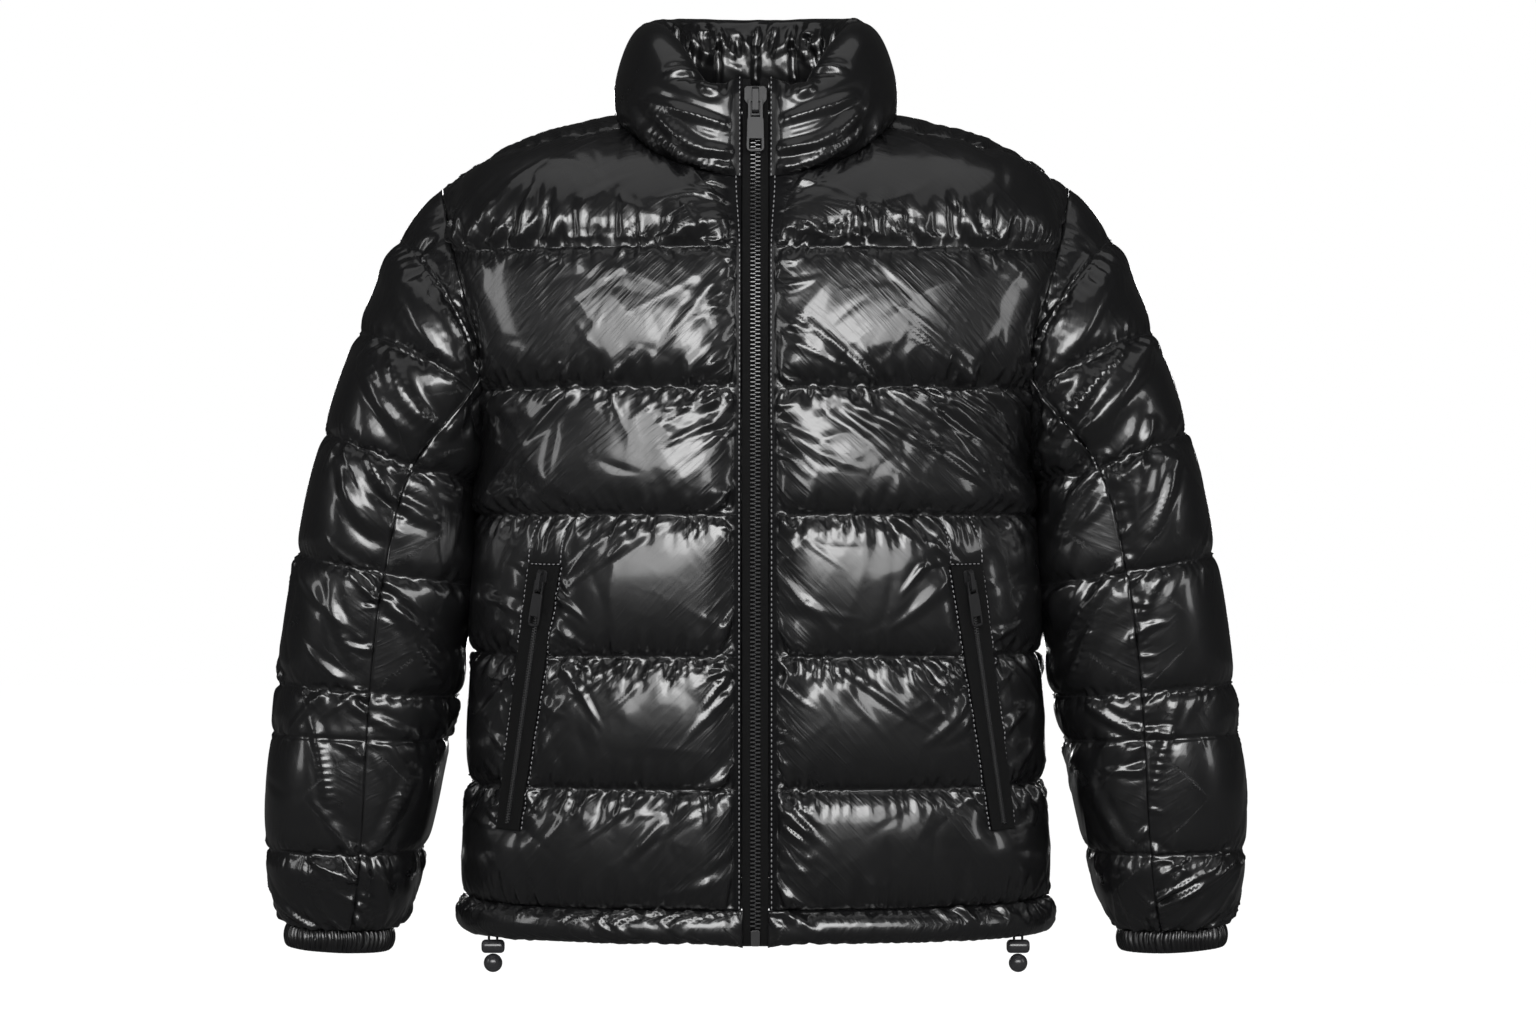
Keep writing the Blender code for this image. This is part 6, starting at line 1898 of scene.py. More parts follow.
@dataclass
class Body(Padded):
    """The fronts and the back."""

    def front(self, side: Side) -> Sheet:
        """One front, blown up.

        Args:
            side: Whose folds it gets.

        Returns:
            The cloth, still on the left side.
        """
        sheet = Sheet(body_panel(True), BODY_SEAMS, CELL, FRONT_SAG, FRONT_TENT)
        quilter = Quilter(11 if side is Side.LEFT else 12)
        k = quilter.kind
        below = [
            (k(20 * i + 1, 70, .0016, .0022, .010, -.1), k(20 * i + 2, 20, .0024, .0034, .030, -.6, .4))
            for i in range(6)
        ]
        above = [
            (k(20 * i + 3, 90, .0026, .0023, .014, .6), k(20 * i + 4, 70, .0040, .0030, .036, .95, .3))
            for i in range(6)
        ]
        below[4] = (k(81, 90, .0034, .0027, .020, -.7), k(82, 60, .0042, .0036, .040, -.9, .3))
        below[5] = (k(101, 100, .0040, .0027, .019, -.7, .6), k(102, 60, .0050, .0038, .036, -.9, .5))
        above[3] = (k(63, 90, .0034, .0026, .024, .8), k(64, 90, .0050, .0036, .060, 1.0, .25))
        above[4] = (k(83, 40, .0012, .0024, .012, .6), k(84, 40, .0016, .0034, .046, .9, .25))
        above[5] = (k(103, 40, .0008, .0028, .012, .2),)
        folds = sheet.seam_folds(list(zip(below, above)))
        folds += sheet.edge_folds(False, (
            k(121, 90, .0028, .0024, .016, -.7, .5), k(122, 60, .0040, .0034, .040, -.8, .3)))
        folds += sheet.edge_folds(True, (k(123, 30, .0018, .0030, .018, -.3, .5),))
        seed = quilter.seed
        folds += sheet.stray_folds(190, 0.0017, seed) + sheet.stray_folds(90, 0.0016, seed + 50, 2.2)
        sheet.fold_lean = 0.9
        sheet.one_way = True
        sheet.ripple = (0.10, 0.10, 0.12, 0.60, 0.85, 0.12)
        rows = tuple(float(sheet.tall[row]) for row in POCKET_ROWS)
        columns = tuple(float(sheet.wide[column]) for column in POCKET_COLUMNS[::2])
        quilter.blow_up(sheet, folds, (
            ((0.0, sheet.tall[-1]), (0.0, ZIP_EDGE)),
            (rows, columns, POCKET_LIFT - POCKET_CLEAR, 0.010),
        ))
        for column, toward, number in zip(columns, (-1.0, 1.0), (131, 136)):
            sheet.fold(sheet.folds_beside(column, rows, toward, (
                k(number, 70, .0020, .0024, .014, .5 * toward, .5),
                k(number + 1, 30, .0032, .0034, .032, .7 * toward, .4))))
        return sheet

    def back(self) -> Sheet:
        """The back, blown up in one piece.

        Returns:
            The cloth.
        """
        sheet = Sheet(doubled(body_panel(False)), BODY_SEAMS, BACK_CELL, BACK_SAG)
        quilter = Quilter(13)
        k = quilter.kind
        folds = sheet.seam_folds([
            ((k(20 * i + 1, 110, .0024, .0030, .014, .1), k(20 * i + 2, 30, .0030, .0046, .034, .3, .6)),
             (k(20 * i + 3, 110, .0028, .0032, .016, .3), k(20 * i + 4, 40, .0036, .0046, .042, .5, .6))
             if i < 5 else (k(103, 30, .0008, .0030, .012, .2),))
            for i in range(6)
        ])
        for last, number in ((False, 121), (True, 122)):
            folds += sheet.edge_folds(last, (k(number, 60, .0024, .0036, .020, -.4, .5),))
        folds += sheet.stray_folds(130, 0.0013, quilter.seed)
        quilter.blow_up(sheet, folds)
        return sheet

    def build(self) -> None:
        """Makes the three pieces."""
        for side in Side:
            sheet = self.front(side)
            made = walled_piece("front_panel_" + side.label, sheet, side is Side.RIGHT)
            self.keep(made, "front_" + side.label, sheet)
        sheet = self.back()
        self.keep(walled_piece("back_panel", sheet), "back", sheet)


@dataclass
class Sleeves(Padded):
    """The outer and inner piece of both sleeves."""

    @staticmethod
    def kinds(k: Callable, count: int, plain: int) -> list[tuple]:
        """The folds beside the seams of a sleeve piece.

        Args:
            k: Makes one kind of fold.
            count: How many chambers the piece has.
            plain: How many of them, from the armhole on, have few folds.

        Returns:
            For each chamber, the folds after its first seam and those before its second.
        """
        kinds = []
        for i in range(count):
            n = 20 * i
            after = (k(n + 1, 50, .0018, .0024, .012, .5), k(n + 2, 30, .0032, .0034, .034, .7, .6))
            before = (k(n + 3, 50, .0016, .0024, .010, -.4), k(n + 4, 16, .0024, .0034, .026, -.5, .6))
            if i < plain:
                after = (k(n + 1, 12, .0010, .0030, .016, .5),)
                before = (k(n + 3, 24, .0012, .0026, .010, -.4),)
            if i == count - 1:
                before = (k(193, 130, .0036, .0024, .024, 0.0, .2), k(194, 60, .0044, .0034, .045, 0.0, .3))
            kinds.append((after, before))
        return kinds

    def piece(self, panel: Panel, outer: bool, side: Side) -> Sheet:
        """One piece, blown up.

        Args:
            panel: Its panel, on the left side.
            outer: The outer or the inner piece.
            side: Whose folds it gets.

        Returns:
            The cloth, still on the left side.
        """
        left = side is Side.LEFT
        sheet = Sheet(panel, OUTER_SEAMS if outer else INNER_SEAMS, CELL * (1.0 if outer else 1.1))
        seed = (21 if outer else 23) + (0 if left else 1)
        quilter = Quilter(seed, 1.0 if left else 0.7, Blow(0.055, loose=0.012), before=0.6, after=0.6)
        k = quilter.kind
        folds = sheet.seam_folds(self.kinds(k, len(sheet.seams) - 1, 2 if outer else 1))
        calm = np.clip((widened(sheet.row_keys, folds.shape[1]) - 0.15) / 0.10, 0.0, 1.0)
        for last, lean in ((False, .55), (True, -.55)):
            folds += calm * sheet.edge_folds(last, (
                k(201 + last, 36, .0030, .0026, .013, lean, .5),
                k(203 + last, 18, .0044, .0036, .030, lean, .5)))
        folds += calm * sheet.stray_folds(40, 0.0011, seed)
        sheet.streaks = 0.45
        if not outer:
            self.fill_out(sheet)
        hand = SLEEVE_FOLDS_LEFT if left else SLEEVE_FOLDS_RIGHT
        folds += 1.35 * sheet.hand_folds(hand) + sheet.hand_folds(hand[::2], False)
        self.free_ends(sheet, outer)
        quilter.blow_up(sheet, folds)
        return sheet

    @staticmethod
    def fill_out(sheet: Sheet) -> None:
        """Fills out the inner piece towards the body, between the armpit and the elbow.

        Args:
            sheet: Its cloth.
        """
        z, toward = sheet.base[..., 2], np.clip(-sheet.normals[..., 0], 0.0, 1.0)
        deep = np.clip((z + 0.398) / 0.02, 0, 1) * np.clip((-0.225 - z) / 0.04, 0, 1)
        share = np.linspace(-1.0, 1.0, z.shape[1])[None]
        window = np.clip((1.0 - np.abs(share)) / 0.25, 0.0, 1.0)
        seam = np.clip(sheet.seam_distance()[:, None] / 0.005, 0.9, 1.0)
        step = np.array([-1.0, 0.0, 0.0]) * (0.0130 * deep * window * toward ** 0.5 * seam)[..., None]
        sheet.base = sheet.base + step
        sheet.points = sheet.points + step

    @staticmethod
    def free_ends(sheet: Sheet, outer: bool) -> None:
        """Lets the short extra seam at the elbow end before it reaches the sleeve seams.

        Args:
            sheet: A piece's cloth.
            outer: The outer or the inner piece.
        """
        row = sheet.seams[6 if outer else 5]
        share = np.abs(np.linspace(-1, 1, sheet.size[1]))
        sheet.held[row] = share < (0.42 if outer else 0.55)
        sheet.held[row, [0, -1]] = True

    def build(self) -> None:
        """Makes the four pieces."""
        panels = sleeve_panels()
        for side in Side:
            for panel, name in zip(panels, ("outer", "inner")):
                sheet = self.piece(panel, name == "outer", side)
                made = walled_piece(f"sleeve_{name}_panel_{side.label}", sheet, side is Side.RIGHT)
                self.keep(made, f"sleeve_{name}_{side.label}", sheet)


@dataclass
class Collar(Padded):
    """The padded stand collar, open at the zip."""

    fill: float = 0.6

    def build(self) -> None:
        """Makes the collar."""
        panel = collar_panel()
        sheet = Sheet(panel, (0, len(panel.grid) - 1), CELL * 0.8)
        quilter = Quilter(31, blow=Blow(0.02, loose=0.012), flatten=0.55)
        k = quilter.kind
        folds = sheet.seam_folds([
            ((k(1, 50, .0020, .0030, .016, .4), k(2, 14, .0026, .0046, .030, .8, .4)),
             (k(3, 60, .0034, .0030, .026, .3), k(4, 26, .0046, .0046, .044, .4, .8)))])
        sheet.streaks = 0.12
        folds += sheet.stray_folds(16, 0.0012, quilter.seed)
        folds += sheet.stray_folds(110, 0.0030, quilter.seed + 9, 1.5) * (sheet.base[..., 1] > 0.02)
        front = sheet.base[..., 1] < 0.0
        folds += 1.4 * sheet.hand_folds(COLLAR_FOLDS) * front + 1.2 * sheet.hand_folds(NECK_FOLDS) * ~front
        rows, end = (0.0, sheet.tall[-1]), sheet.column_keys[-1]
        quilter.blow_up(sheet, folds, ((rows, (0.0, ZIP_EDGE)), (rows, (end - ZIP_EDGE, end))))
        self.keep(rolled_piece("collar_roll", sheet), "collar", sheet)


@dataclass
class HemBand(Padded):
    """The padded band below the hem seam, open at the zip."""

    fill: float = 0.5

    def build(self) -> None:
        """Makes the band."""
        panel = hem_panel(body_panel(True), body_panel(False))
        sheet = Sheet(panel, (0, 4, len(panel.grid) - 1), HEM_CELL)
        sheet.held[sheet.seams[1]] = False
        quilter = Quilter(41, blow=Blow(0.045, 0.009, 0.010, 0.000006), flatten=0.7)
        k = quilter.kind
        folds = sheet.seam_folds([
            ((k(1, 150, .0024, .0024, .012, .5), k(2, 70, .0030, .0034, .019, .8)),
             (k(3, 50, .0005, .0034, .008, .2),)),
            ((k(4, 40, .0004, .0034, .008, .2),), (k(5, 90, .0014, .0028, .010, .2),)),
        ])
        quilter.blow_up(sheet, folds)
        self.keep(rolled_piece("hem_roll", sheet), "hem_band", sheet)


@dataclass
class Cuffs:
    """The ribbed elastic cuffs, open below.

    Attributes:
        ribs: How many ribs go round.
        rib_high: How high a rib stands.
        rib_points: How many points go across a rib.
        uneven: How unlike their widths and their heights are.
        sag: How far the lower edge stands out unevenly.
        along: How many points go down the cuff.
    """

    ribs: int = 54
    rib_high: float = 0.0026
    rib_points: int = 8
    uneven: tuple[float, float] = (0.45, 0.35)
    sag: float = 0.0007
    along: int = 16
    made: list[Piece] = field(default_factory=list)

    def sections(self, seed: int) -> Array:
        """Sections of the left cuff.

        Args:
            seed: Picks how uneven its ribs are.

        Returns:
            One section for each step round it, down the outside and up the inside.
        """
        middle, out, down = cuff_frame()
        ring = SLEEVE_RINGS[-1]
        half = np.linalg.norm(np.array([ring[0] - ring[2], ring[1] - ring[3]])) / 2
        count = self.ribs * self.rib_points
        sag = wander(count, 26, seed) * self.sag
        phase = np.cumsum(1 + self.uneven[0] * wander(count, 13, seed + 1))
        phase = phase / phase[-1] * self.ribs
        high = self.rib_high * (1 + self.uneven[1] * wander(count, 9, seed + 2))
        sections = []
        for i in range(count):
            turn = 2 * math.pi * i / count
            outside = []
            for share in np.linspace(0, 1, self.along):
                bow = 0.0014 - 0.0034 * share ** 3 - 0.0030 * (1 - share) ** 3
                shift = 0.16 * math.sin(share * 5 + i * 0.02)
                rib = high[i] * (abs(math.cos(math.pi * (phase[i] + shift))) ** 0.7 - 0.7)
                edge = min(1.0, 12 * share, 9 * (1 - share) + 0.25)
                outside.append((share, bow + rib * edge + sag[i] * share))
            points = []
            for share, reach in outside + CUFF_INSIDE:
                deep = (ring[4] if math.sin(turn) > 0 else ring[5]) + reach
                ahead = np.array([0.0, deep * math.sin(turn), 0.0])
                place = middle + out * (half + reach) * math.cos(turn) - ahead
                points.append(place + down * (GAP / 2 + share * CUFF_LENGTH))
            sections.append(points)
        return np.array(sections)

    def build(self) -> None:
        """Makes both cuffs."""
        for side in Side:
            sections = self.sections(51 + side.value)
            faces = grid_faces(np.pad(numbers(sections.shape[:2]), (0, 1), mode="wrap"))
            points = mirrored(sections) if side is Side.RIGHT else sections
            made = solid("cuff_rib_" + side.label, points, faces)
            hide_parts("cuff_" + side.label)
            self.made.append(made)

    def dress(self, finish: Material) -> None:
        """Gives the cuffs their cloth.

        Args:
            finish: Their cloth.
        """
        for made in self.made:
            wear(made, finish)
            sleeve = made.name.replace("cuff_rib", "sleeve_outer_panel")


# ---------------------------------------------------------------- small shapes

WELD = 0.00001             # points of a hard piece that are nearer than this are one
EDGE_ANGLE = 25            # degrees between two faces from which their edge is rounded


@dataclass(frozen=True)
class Place:
    """Where a small piece stands: its foot, and its side, up and out directions."""

    foot: Array
    side: Array
    up: Array
    out: Array

    def matrix(self, u: float = 0.0, v: float = 0.0, w: float = 0.0) -> Matrix:
        """A matrix that puts a shape at u, v, w of this place.

        Args:
            u: Distance to the side.
            v: Distance up.
            w: Distance out.

        Returns:
            The matrix.
        """
        origin = self.foot + self.side * u + self.up * v + self.out * w
        rows = np.column_stack([self.side, self.up, self.out, origin])
        return Matrix([tuple(row) for row in rows] + [(0.0, 0.0, 0.0, 1.0)])


class Pattern:
    """A small shape made once, to be set down many times."""

    def __init__(self, work: bmesh.types.BMesh) -> None:
        """Keeps the shape's points and faces, and frees the bmesh.

        Args:
            work: The finished shape.
        """
        bmesh.ops.recalc_face_normals(work, faces=work.faces)
        work.verts.ensure_lookup_table()
        self.points = np.array([v.co[:] for v in work.verts])
        self.faces = [tuple(v.index for v in face.verts) for face in work.faces]
        work.free()

    @classmethod
    def block(cls, size: Sequence[float], bevel: float) -> "Pattern":
        """A block with its edges cut off.

        Args:
            size: Its size along X, Y and Z.
            bevel: How far its edges are cut.

        Returns:
            The shape.
        """
        work = bmesh.new()
        bmesh.ops.create_cube(work, size=1.0)
        bmesh.ops.scale(work, vec=size, verts=work.verts)
        bmesh.ops.bevel(
            work, geom=work.edges, offset=bevel, affect="EDGES", segments=1, profile=0.5, material=-1)
        return cls(work)

    @classmethod
    def bead(cls, size: Sequence[float]) -> "Pattern":
        """An egg shape.

        Args:
            size: Its size along X, Y and Z.

        Returns:
            The shape.
        """
        work = bmesh.new()
        bmesh.ops.create_uvsphere(work, u_segments=6, v_segments=4, radius=0.5)
        lay_along_x(work)
        bmesh.ops.scale(work, vec=size, verts=work.verts)
        return cls(work)

    def set_down(self, name: str, places: Sequence[Matrix], rounded: bool = True) -> Piece:
        """One piece with a copy of the shape at every place.

        Args:
            name: Name of the piece.
            places: A matrix for each copy.
            rounded: Whether it is shaded smoothly.

        Returns:
            The piece.
        """
        mats = np.array([[list(row) for row in place] for place in places])
        points = np.einsum("nij,kj->nki", mats[:, :3, :3], self.points) + mats[:, None, :3, 3]
        count = len(self.points)
        faces = [tuple(i + n * count for i in face) for n in range(len(places)) for face in self.faces]
        return solid(name, points, faces, rounded)


def lay_along_x(work: bmesh.types.BMesh) -> None:
    """Turns a shape whose axis is Z, so that its axis is X."""
    turn = Matrix.Rotation(math.pi / 2, 3, "Y")
    bmesh.ops.rotate(work, cent=(0, 0, 0), matrix=turn, verts=work.verts)


def stand_for(work: bmesh.types.BMesh, name: str, node: str) -> Piece:
    """Makes a piece of a finished shape, to stand for a node.

    Args:
        work: The shape, in place.
        name: Name of the piece.
        node: The node's name.

    Returns:
        The piece.
    """
    made = Pattern(work).set_down(name, [Matrix.Identity(4)])
    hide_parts(node)
    return made


def spots_along(line: Array, outs: Array, at: Array) -> Iterator[tuple[Array, Array, Array]]:
    """Places along a line, one after the other.

    Args:
        line: Points of the line.
        outs: The way out at each.
        at: Running lengths along the line.

    Yields:
        The point, the way along the line and the way out there.
    """
    keys = chords(line)
    for key in at:
        i = min(int(np.searchsorted(keys, key, side="right")) - 1, len(line) - 2)
        t = (key - keys[i]) / (keys[i + 1] - keys[i])
        out = unit(outs[i] * (1 - t) + outs[i + 1] * t)
        yield line[i] * (1 - t) + line[i + 1] * t, unit(line[i + 1] - line[i]), out


def squared(way: Array, run: Array) -> Array:
    """A way, turned until it is square to another."""
    return unit(way - run * np.dot(way, run))


@dataclass
class Stitching:
    """The threads of the quilting and of the edges.

    Attributes:
        quilt: Pitch, length and thickness of the quilting's stitches.
        edge: The same of the thicker thread beside the zips.
        zip_line: From the edge of the cloth to the line beside the front zip.
        pocket_line: From the edge of the pocket's tape to the line beside it.
    """

    quilt: tuple[float, float, float] = (0.0032, 0.0024, 0.0006)
    edge: tuple[float, float, float] = (0.0040, 0.0026, 0.0011)
    zip_line: float = 0.0021
    pocket_line: float = 0.0014
    made: list[Piece] = field(default_factory=list)
    edges: list[Piece] = field(default_factory=list)

    def sew(self, name: str, sheet: Sheet, lines: Sequence[tuple], flip: bool, edge: bool = False) -> None:
        """Sews along some lines of a cloth.

        Args:
            name: Name of the piece.
            sheet: The cloth.
            lines: Rows and columns of each line.
            flip: Whether they go on the other side of the jacket.
            edge: Whether it is the thicker thread of the edges.
        """
        pitch, long, thick = self.edge if edge else self.quilt
        places = []
        for where in lines:
            line, outs = sheet.points[where], sheet.normals[where]
            if flip:
                line, outs = mirrored(line), mirrored(outs)
            for point, run, out in spots_along(line, outs, np.arange(pitch / 2, chords(line)[-1], pitch)):
                up = squared(out, run)
                places.append(Place(point + out * 0.3 * thick, run, np.cross(up, run), up).matrix())
        made = Pattern.bead((long, thick, thick)).set_down(name, places)
        (self.edges if edge else self.made).append(made)

    def quilting(self, label: str, sheet: Sheet, flip: bool) -> None:
        """Sews the seams inside one piece."""
        lines = [(row, sheet.held[row]) for row in sheet.seams[1:-1]]
        self.sew("quilt_stitches_" + label, sheet, lines, flip)

    def front_edge(self, side: Side, sheet: Sheet) -> None:
        """Sews the line beside the zip, and the pocket's lines, on one front.

        Args:
            side: The front's side.
            sheet: The front's cloth.
        """
        rows, columns, step = sheet.row_keys, sheet.column_keys, self.pocket_line
        low, high = (sheet.tall[row] for row in POCKET_ROWS)
        first, last = (sheet.wide[column] for column in POCKET_COLUMNS[::2])
        above = np.flatnonzero((rows >= high) & (rows <= sheet.tall[BODY_SEAMS[3]]))
        beside = np.flatnonzero((rows >= low - 0.001) & (rows <= high + 0.001))
        over = np.flatnonzero(np.abs(columns - (first + last) / 2) <= (last - first) / 2 + step)
        lines = [(slice(None), nearest(columns, self.zip_line))]
        for at, way in ((first, -step), (last, step)):
            lines += [(above, nearest(columns, at)), (beside, nearest(columns, at + way))]
        lines.append((nearest(rows, high + step), over))
        self.sew("edge_stitches_" + side.label, sheet, lines, side is Side.RIGHT, True)

    def collar_edge(self, sheet: Sheet) -> None:
        """Sews the line beside the zip on both ends of the collar.

        Args:
            sheet: The collar's cloth.
        """
        outside = sheet.row_keys <= sheet.row_keys[-1] * 0.5
        lines = []
        for at in (self.zip_line, sheet.column_keys[-1] - self.zip_line):
            column = nearest(sheet.column_keys, at)
            lines.append((np.flatnonzero(outside & (sheet.normals[:, column, 1] < -0.3)), column))
        self.sew("edge_stitches_collar", sheet, lines, False, True)

    def dress(self, finish: Material, painted_glint_finish: Material) -> None:
        """Gives the threads their finishes; the edge threads get a lightened colour, a painted glint."""
        for made in self.made + self.edges:
            wear(made, painted_glint_finish if made in self.edges else finish)


def node_box(name: str) -> tuple[Array, Array]:
    """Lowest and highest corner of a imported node."""
    low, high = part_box(name)
    return np.array(low), np.array(high)


def dress_node(name: str, finish: Material, edge: float = 0.0) -> None:
    """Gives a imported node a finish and, for hard pieces, rounded edges.

    Args:
        name: Its name.
        finish: Its finish.
        edge: Width of its rounded edges.
    """
    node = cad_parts[name]
    node.data.materials.clear()
    node.data.materials.append(finish)
    if edge:
        weld = node.modifiers.new("weld", "WELD")
        weld.merge_threshold = WELD
        bevel = node.modifiers.new("edges", "BEVEL")
        bevel.width = edge
        bevel.segments = 3
        bevel.limit_method = "ANGLE"
        bevel.angle_limit = math.radians(EDGE_ANGLE)
        bevel.harden_normals = True


@dataclass
class FrontZip:
    """Teeth, tapes, box, slider and pull of the front zip.

    Attributes:
        pitch: From one tooth to the next on one side.
        tooth: Width, height and depth of a tooth.
        cut: How far the edges of a tooth are cut.
        bottom: Height of the lowest tooth.
        length: Length of the chain.
        reach: From the middle of the chain to the middle of a tooth.
        depth: How far behind the zip line the teeth are.
        cord_depth: The same of the cord.
        cord_size: Half width and half depth of the cord.
        cord_ends: Heights of its lower and its upper end.
        cord_rings: How many sections it has, and how many points each of them.
    """

    pitch: float = 0.0032
    tooth: tuple[float, float, float] = (0.0046, 0.0015, 0.0026)
    cut: float = 0.00045
    bottom: float = -0.6256
    length: float = 0.6262
    reach: float = 0.0018
    depth: float = 0.0019
    cord_depth: float = 0.0028
    cord_size: tuple[float, float] = (0.0046, 0.0008)
    cord_ends: tuple[float, float] = (-0.6395, 0.0)
    cord_rings: tuple[int, int] = (80, 12)
    made: list[Piece] = field(default_factory=list)
    cord: Piece | None = None

    def build(self) -> None:
        """Makes the teeth of both sides, and the cord behind them."""
        places = []
        for side, first in ((1.0, 0.0), (-1.0, 0.5)):
            for i in range(int(self.length / self.pitch)):
                z = self.bottom + (i + first) * self.pitch
                low, high = zip_y(z - 0.004), zip_y(z + 0.004)
                up = unit(np.array([0.0, high - low, 0.008]))
                out = unit(np.cross(up, (-1.0, 0.0, 0.0)))
                out = out if out[1] < 0 else -out
                foot = np.array([0.0, zip_y(z) + self.depth, z])
                places.append(Place(foot, np.array([side, 0, 0.0]), up, out).matrix(self.reach))
        made = Pattern.block(self.tooth, self.cut).set_down("front_zip_teeth", places, False)
        self.made.append(made)
        self.cord = self.make_cord()
        for piece in (made, self.cord):
            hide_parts("zip_chain")

    def make_cord(self) -> Piece:
        """The flat cord behind the teeth, which closes the slot between the tapes.
        Its colour, darker and duller than the cloth's, is painted shade between the teeth.

        Returns:
            The cord.
        """
        wide, deep = self.cord_size
        rings, around = self.cord_rings
        turns = np.linspace(0, 2 * math.pi, around + 1)[:-1]
        points = []
        for z in np.linspace(*self.cord_ends, rings):
            y = zip_y(z) + self.cord_depth
            points.append([(wide * math.cos(t), y + deep * math.sin(t), z) for t in turns])
        grid = numbers(np.shape(points)[:2])
        faces = grid_faces(np.pad(grid, ((0, 0), (0, 1)), mode="wrap"))
        faces += [tuple(grid[0].tolist()), tuple(grid[-1].tolist())]
        return solid("zip_core", points, faces)

    def dress(self, teeth: Material, tape: Material, metal: Material) -> None:
        """Gives the zip its finishes.

        Args:
            teeth: That of the teeth and the box.
            tape: That of the tapes.
            metal: That of the slider and its pull.
        """
        for made in self.made:
            wear(made, teeth)
        wear(self.cord, ZIP_CORE_PAINTED_SHADE.material())
        dress_node("zip_tape_left", tape)
        dress_node("zip_tape_right", tape)
        dress_node("zip_box", teeth, 0.0004)
        dress_node("zip_slider", metal, 0.00045)
        dress_node("zip_pull", metal, 0.00035)


@dataclass
class PocketZips:
    """Teeth, tapes, sliders and pulls of the two pocket zips.

    Attributes:
        pitch: From one tooth to the next on one side.
        tooth: Width, height and depth of a tooth.
        cut: How far the edges of a tooth are cut.
        reach: From the middle of the chain to the middle of a tooth.
        rise: How far a tooth's middle stands over the tape.
        tape_thick: Thickness of the tape.
    """

    pitch: float = 0.0021
    tooth: tuple[float, float, float] = (0.0026, 0.0011, 0.0014)
    cut: float = 0.00025
    reach: float = 0.0009
    rise: float = 0.0011
    tape_thick: float = 0.0012
    made: list[Piece] = field(default_factory=list)

    def build(self) -> None:
        """Makes the teeth of both pockets."""
        panel = body_panel(True)
        rows = slice(POCKET_ROWS[0], POCKET_ROWS[1] + 1)
        face = panel.grid + panel.shift + panel.normals * POCKET_LIFT
        outs = unit(panel.normals[rows, POCKET_COLUMNS[1]])
        line = face[rows, POCKET_COLUMNS[1]] + outs * (GAP * 1.4 + self.tape_thick)
        keys = chords(line)
        for side in Side:
            flip = np.array([side.value, 1.0, 1.0])
            places = []
            for hand, first in ((1.0, 0.0), (-1.0, self.pitch / 2)):
                start = keys[1] * 0.18 + 0.0012 + first
                at = np.arange(start, keys[-1] - POCKET_CHAIN_TOP, self.pitch)
                for point, up, out in spots_along(line, outs, at):
                    out = squared(out, up)
                    across = np.cross(up, out) * hand
                    place = Place(*(way * flip for way in (point, across, up, out)))
                    places.append(place.matrix(self.reach, 0.0, self.rise))
            tooth = Pattern.block(self.tooth, self.cut)
            made = tooth.set_down("pocket_zip_teeth_" + side.label, places, False)
            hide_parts("pocket_chain_" + side.label)
            self.made.append(made)

    def dress(self, teeth: Material, tape: Material, metal: Material) -> None:
        """Gives the pocket zips their finishes.

        Args:
            teeth: That of the teeth.
            tape: That of the tapes.
            metal: That of the sliders and their pulls.
        """
        for made in self.made:
            wear(made, teeth)
        for side in Side:
            dress_node("pocket_tape_" + side.label, tape)
            dress_node("pocket_slider_" + side.label, metal, 0.00035)
            dress_node("pocket_pull_" + side.label, metal, 0.0003)


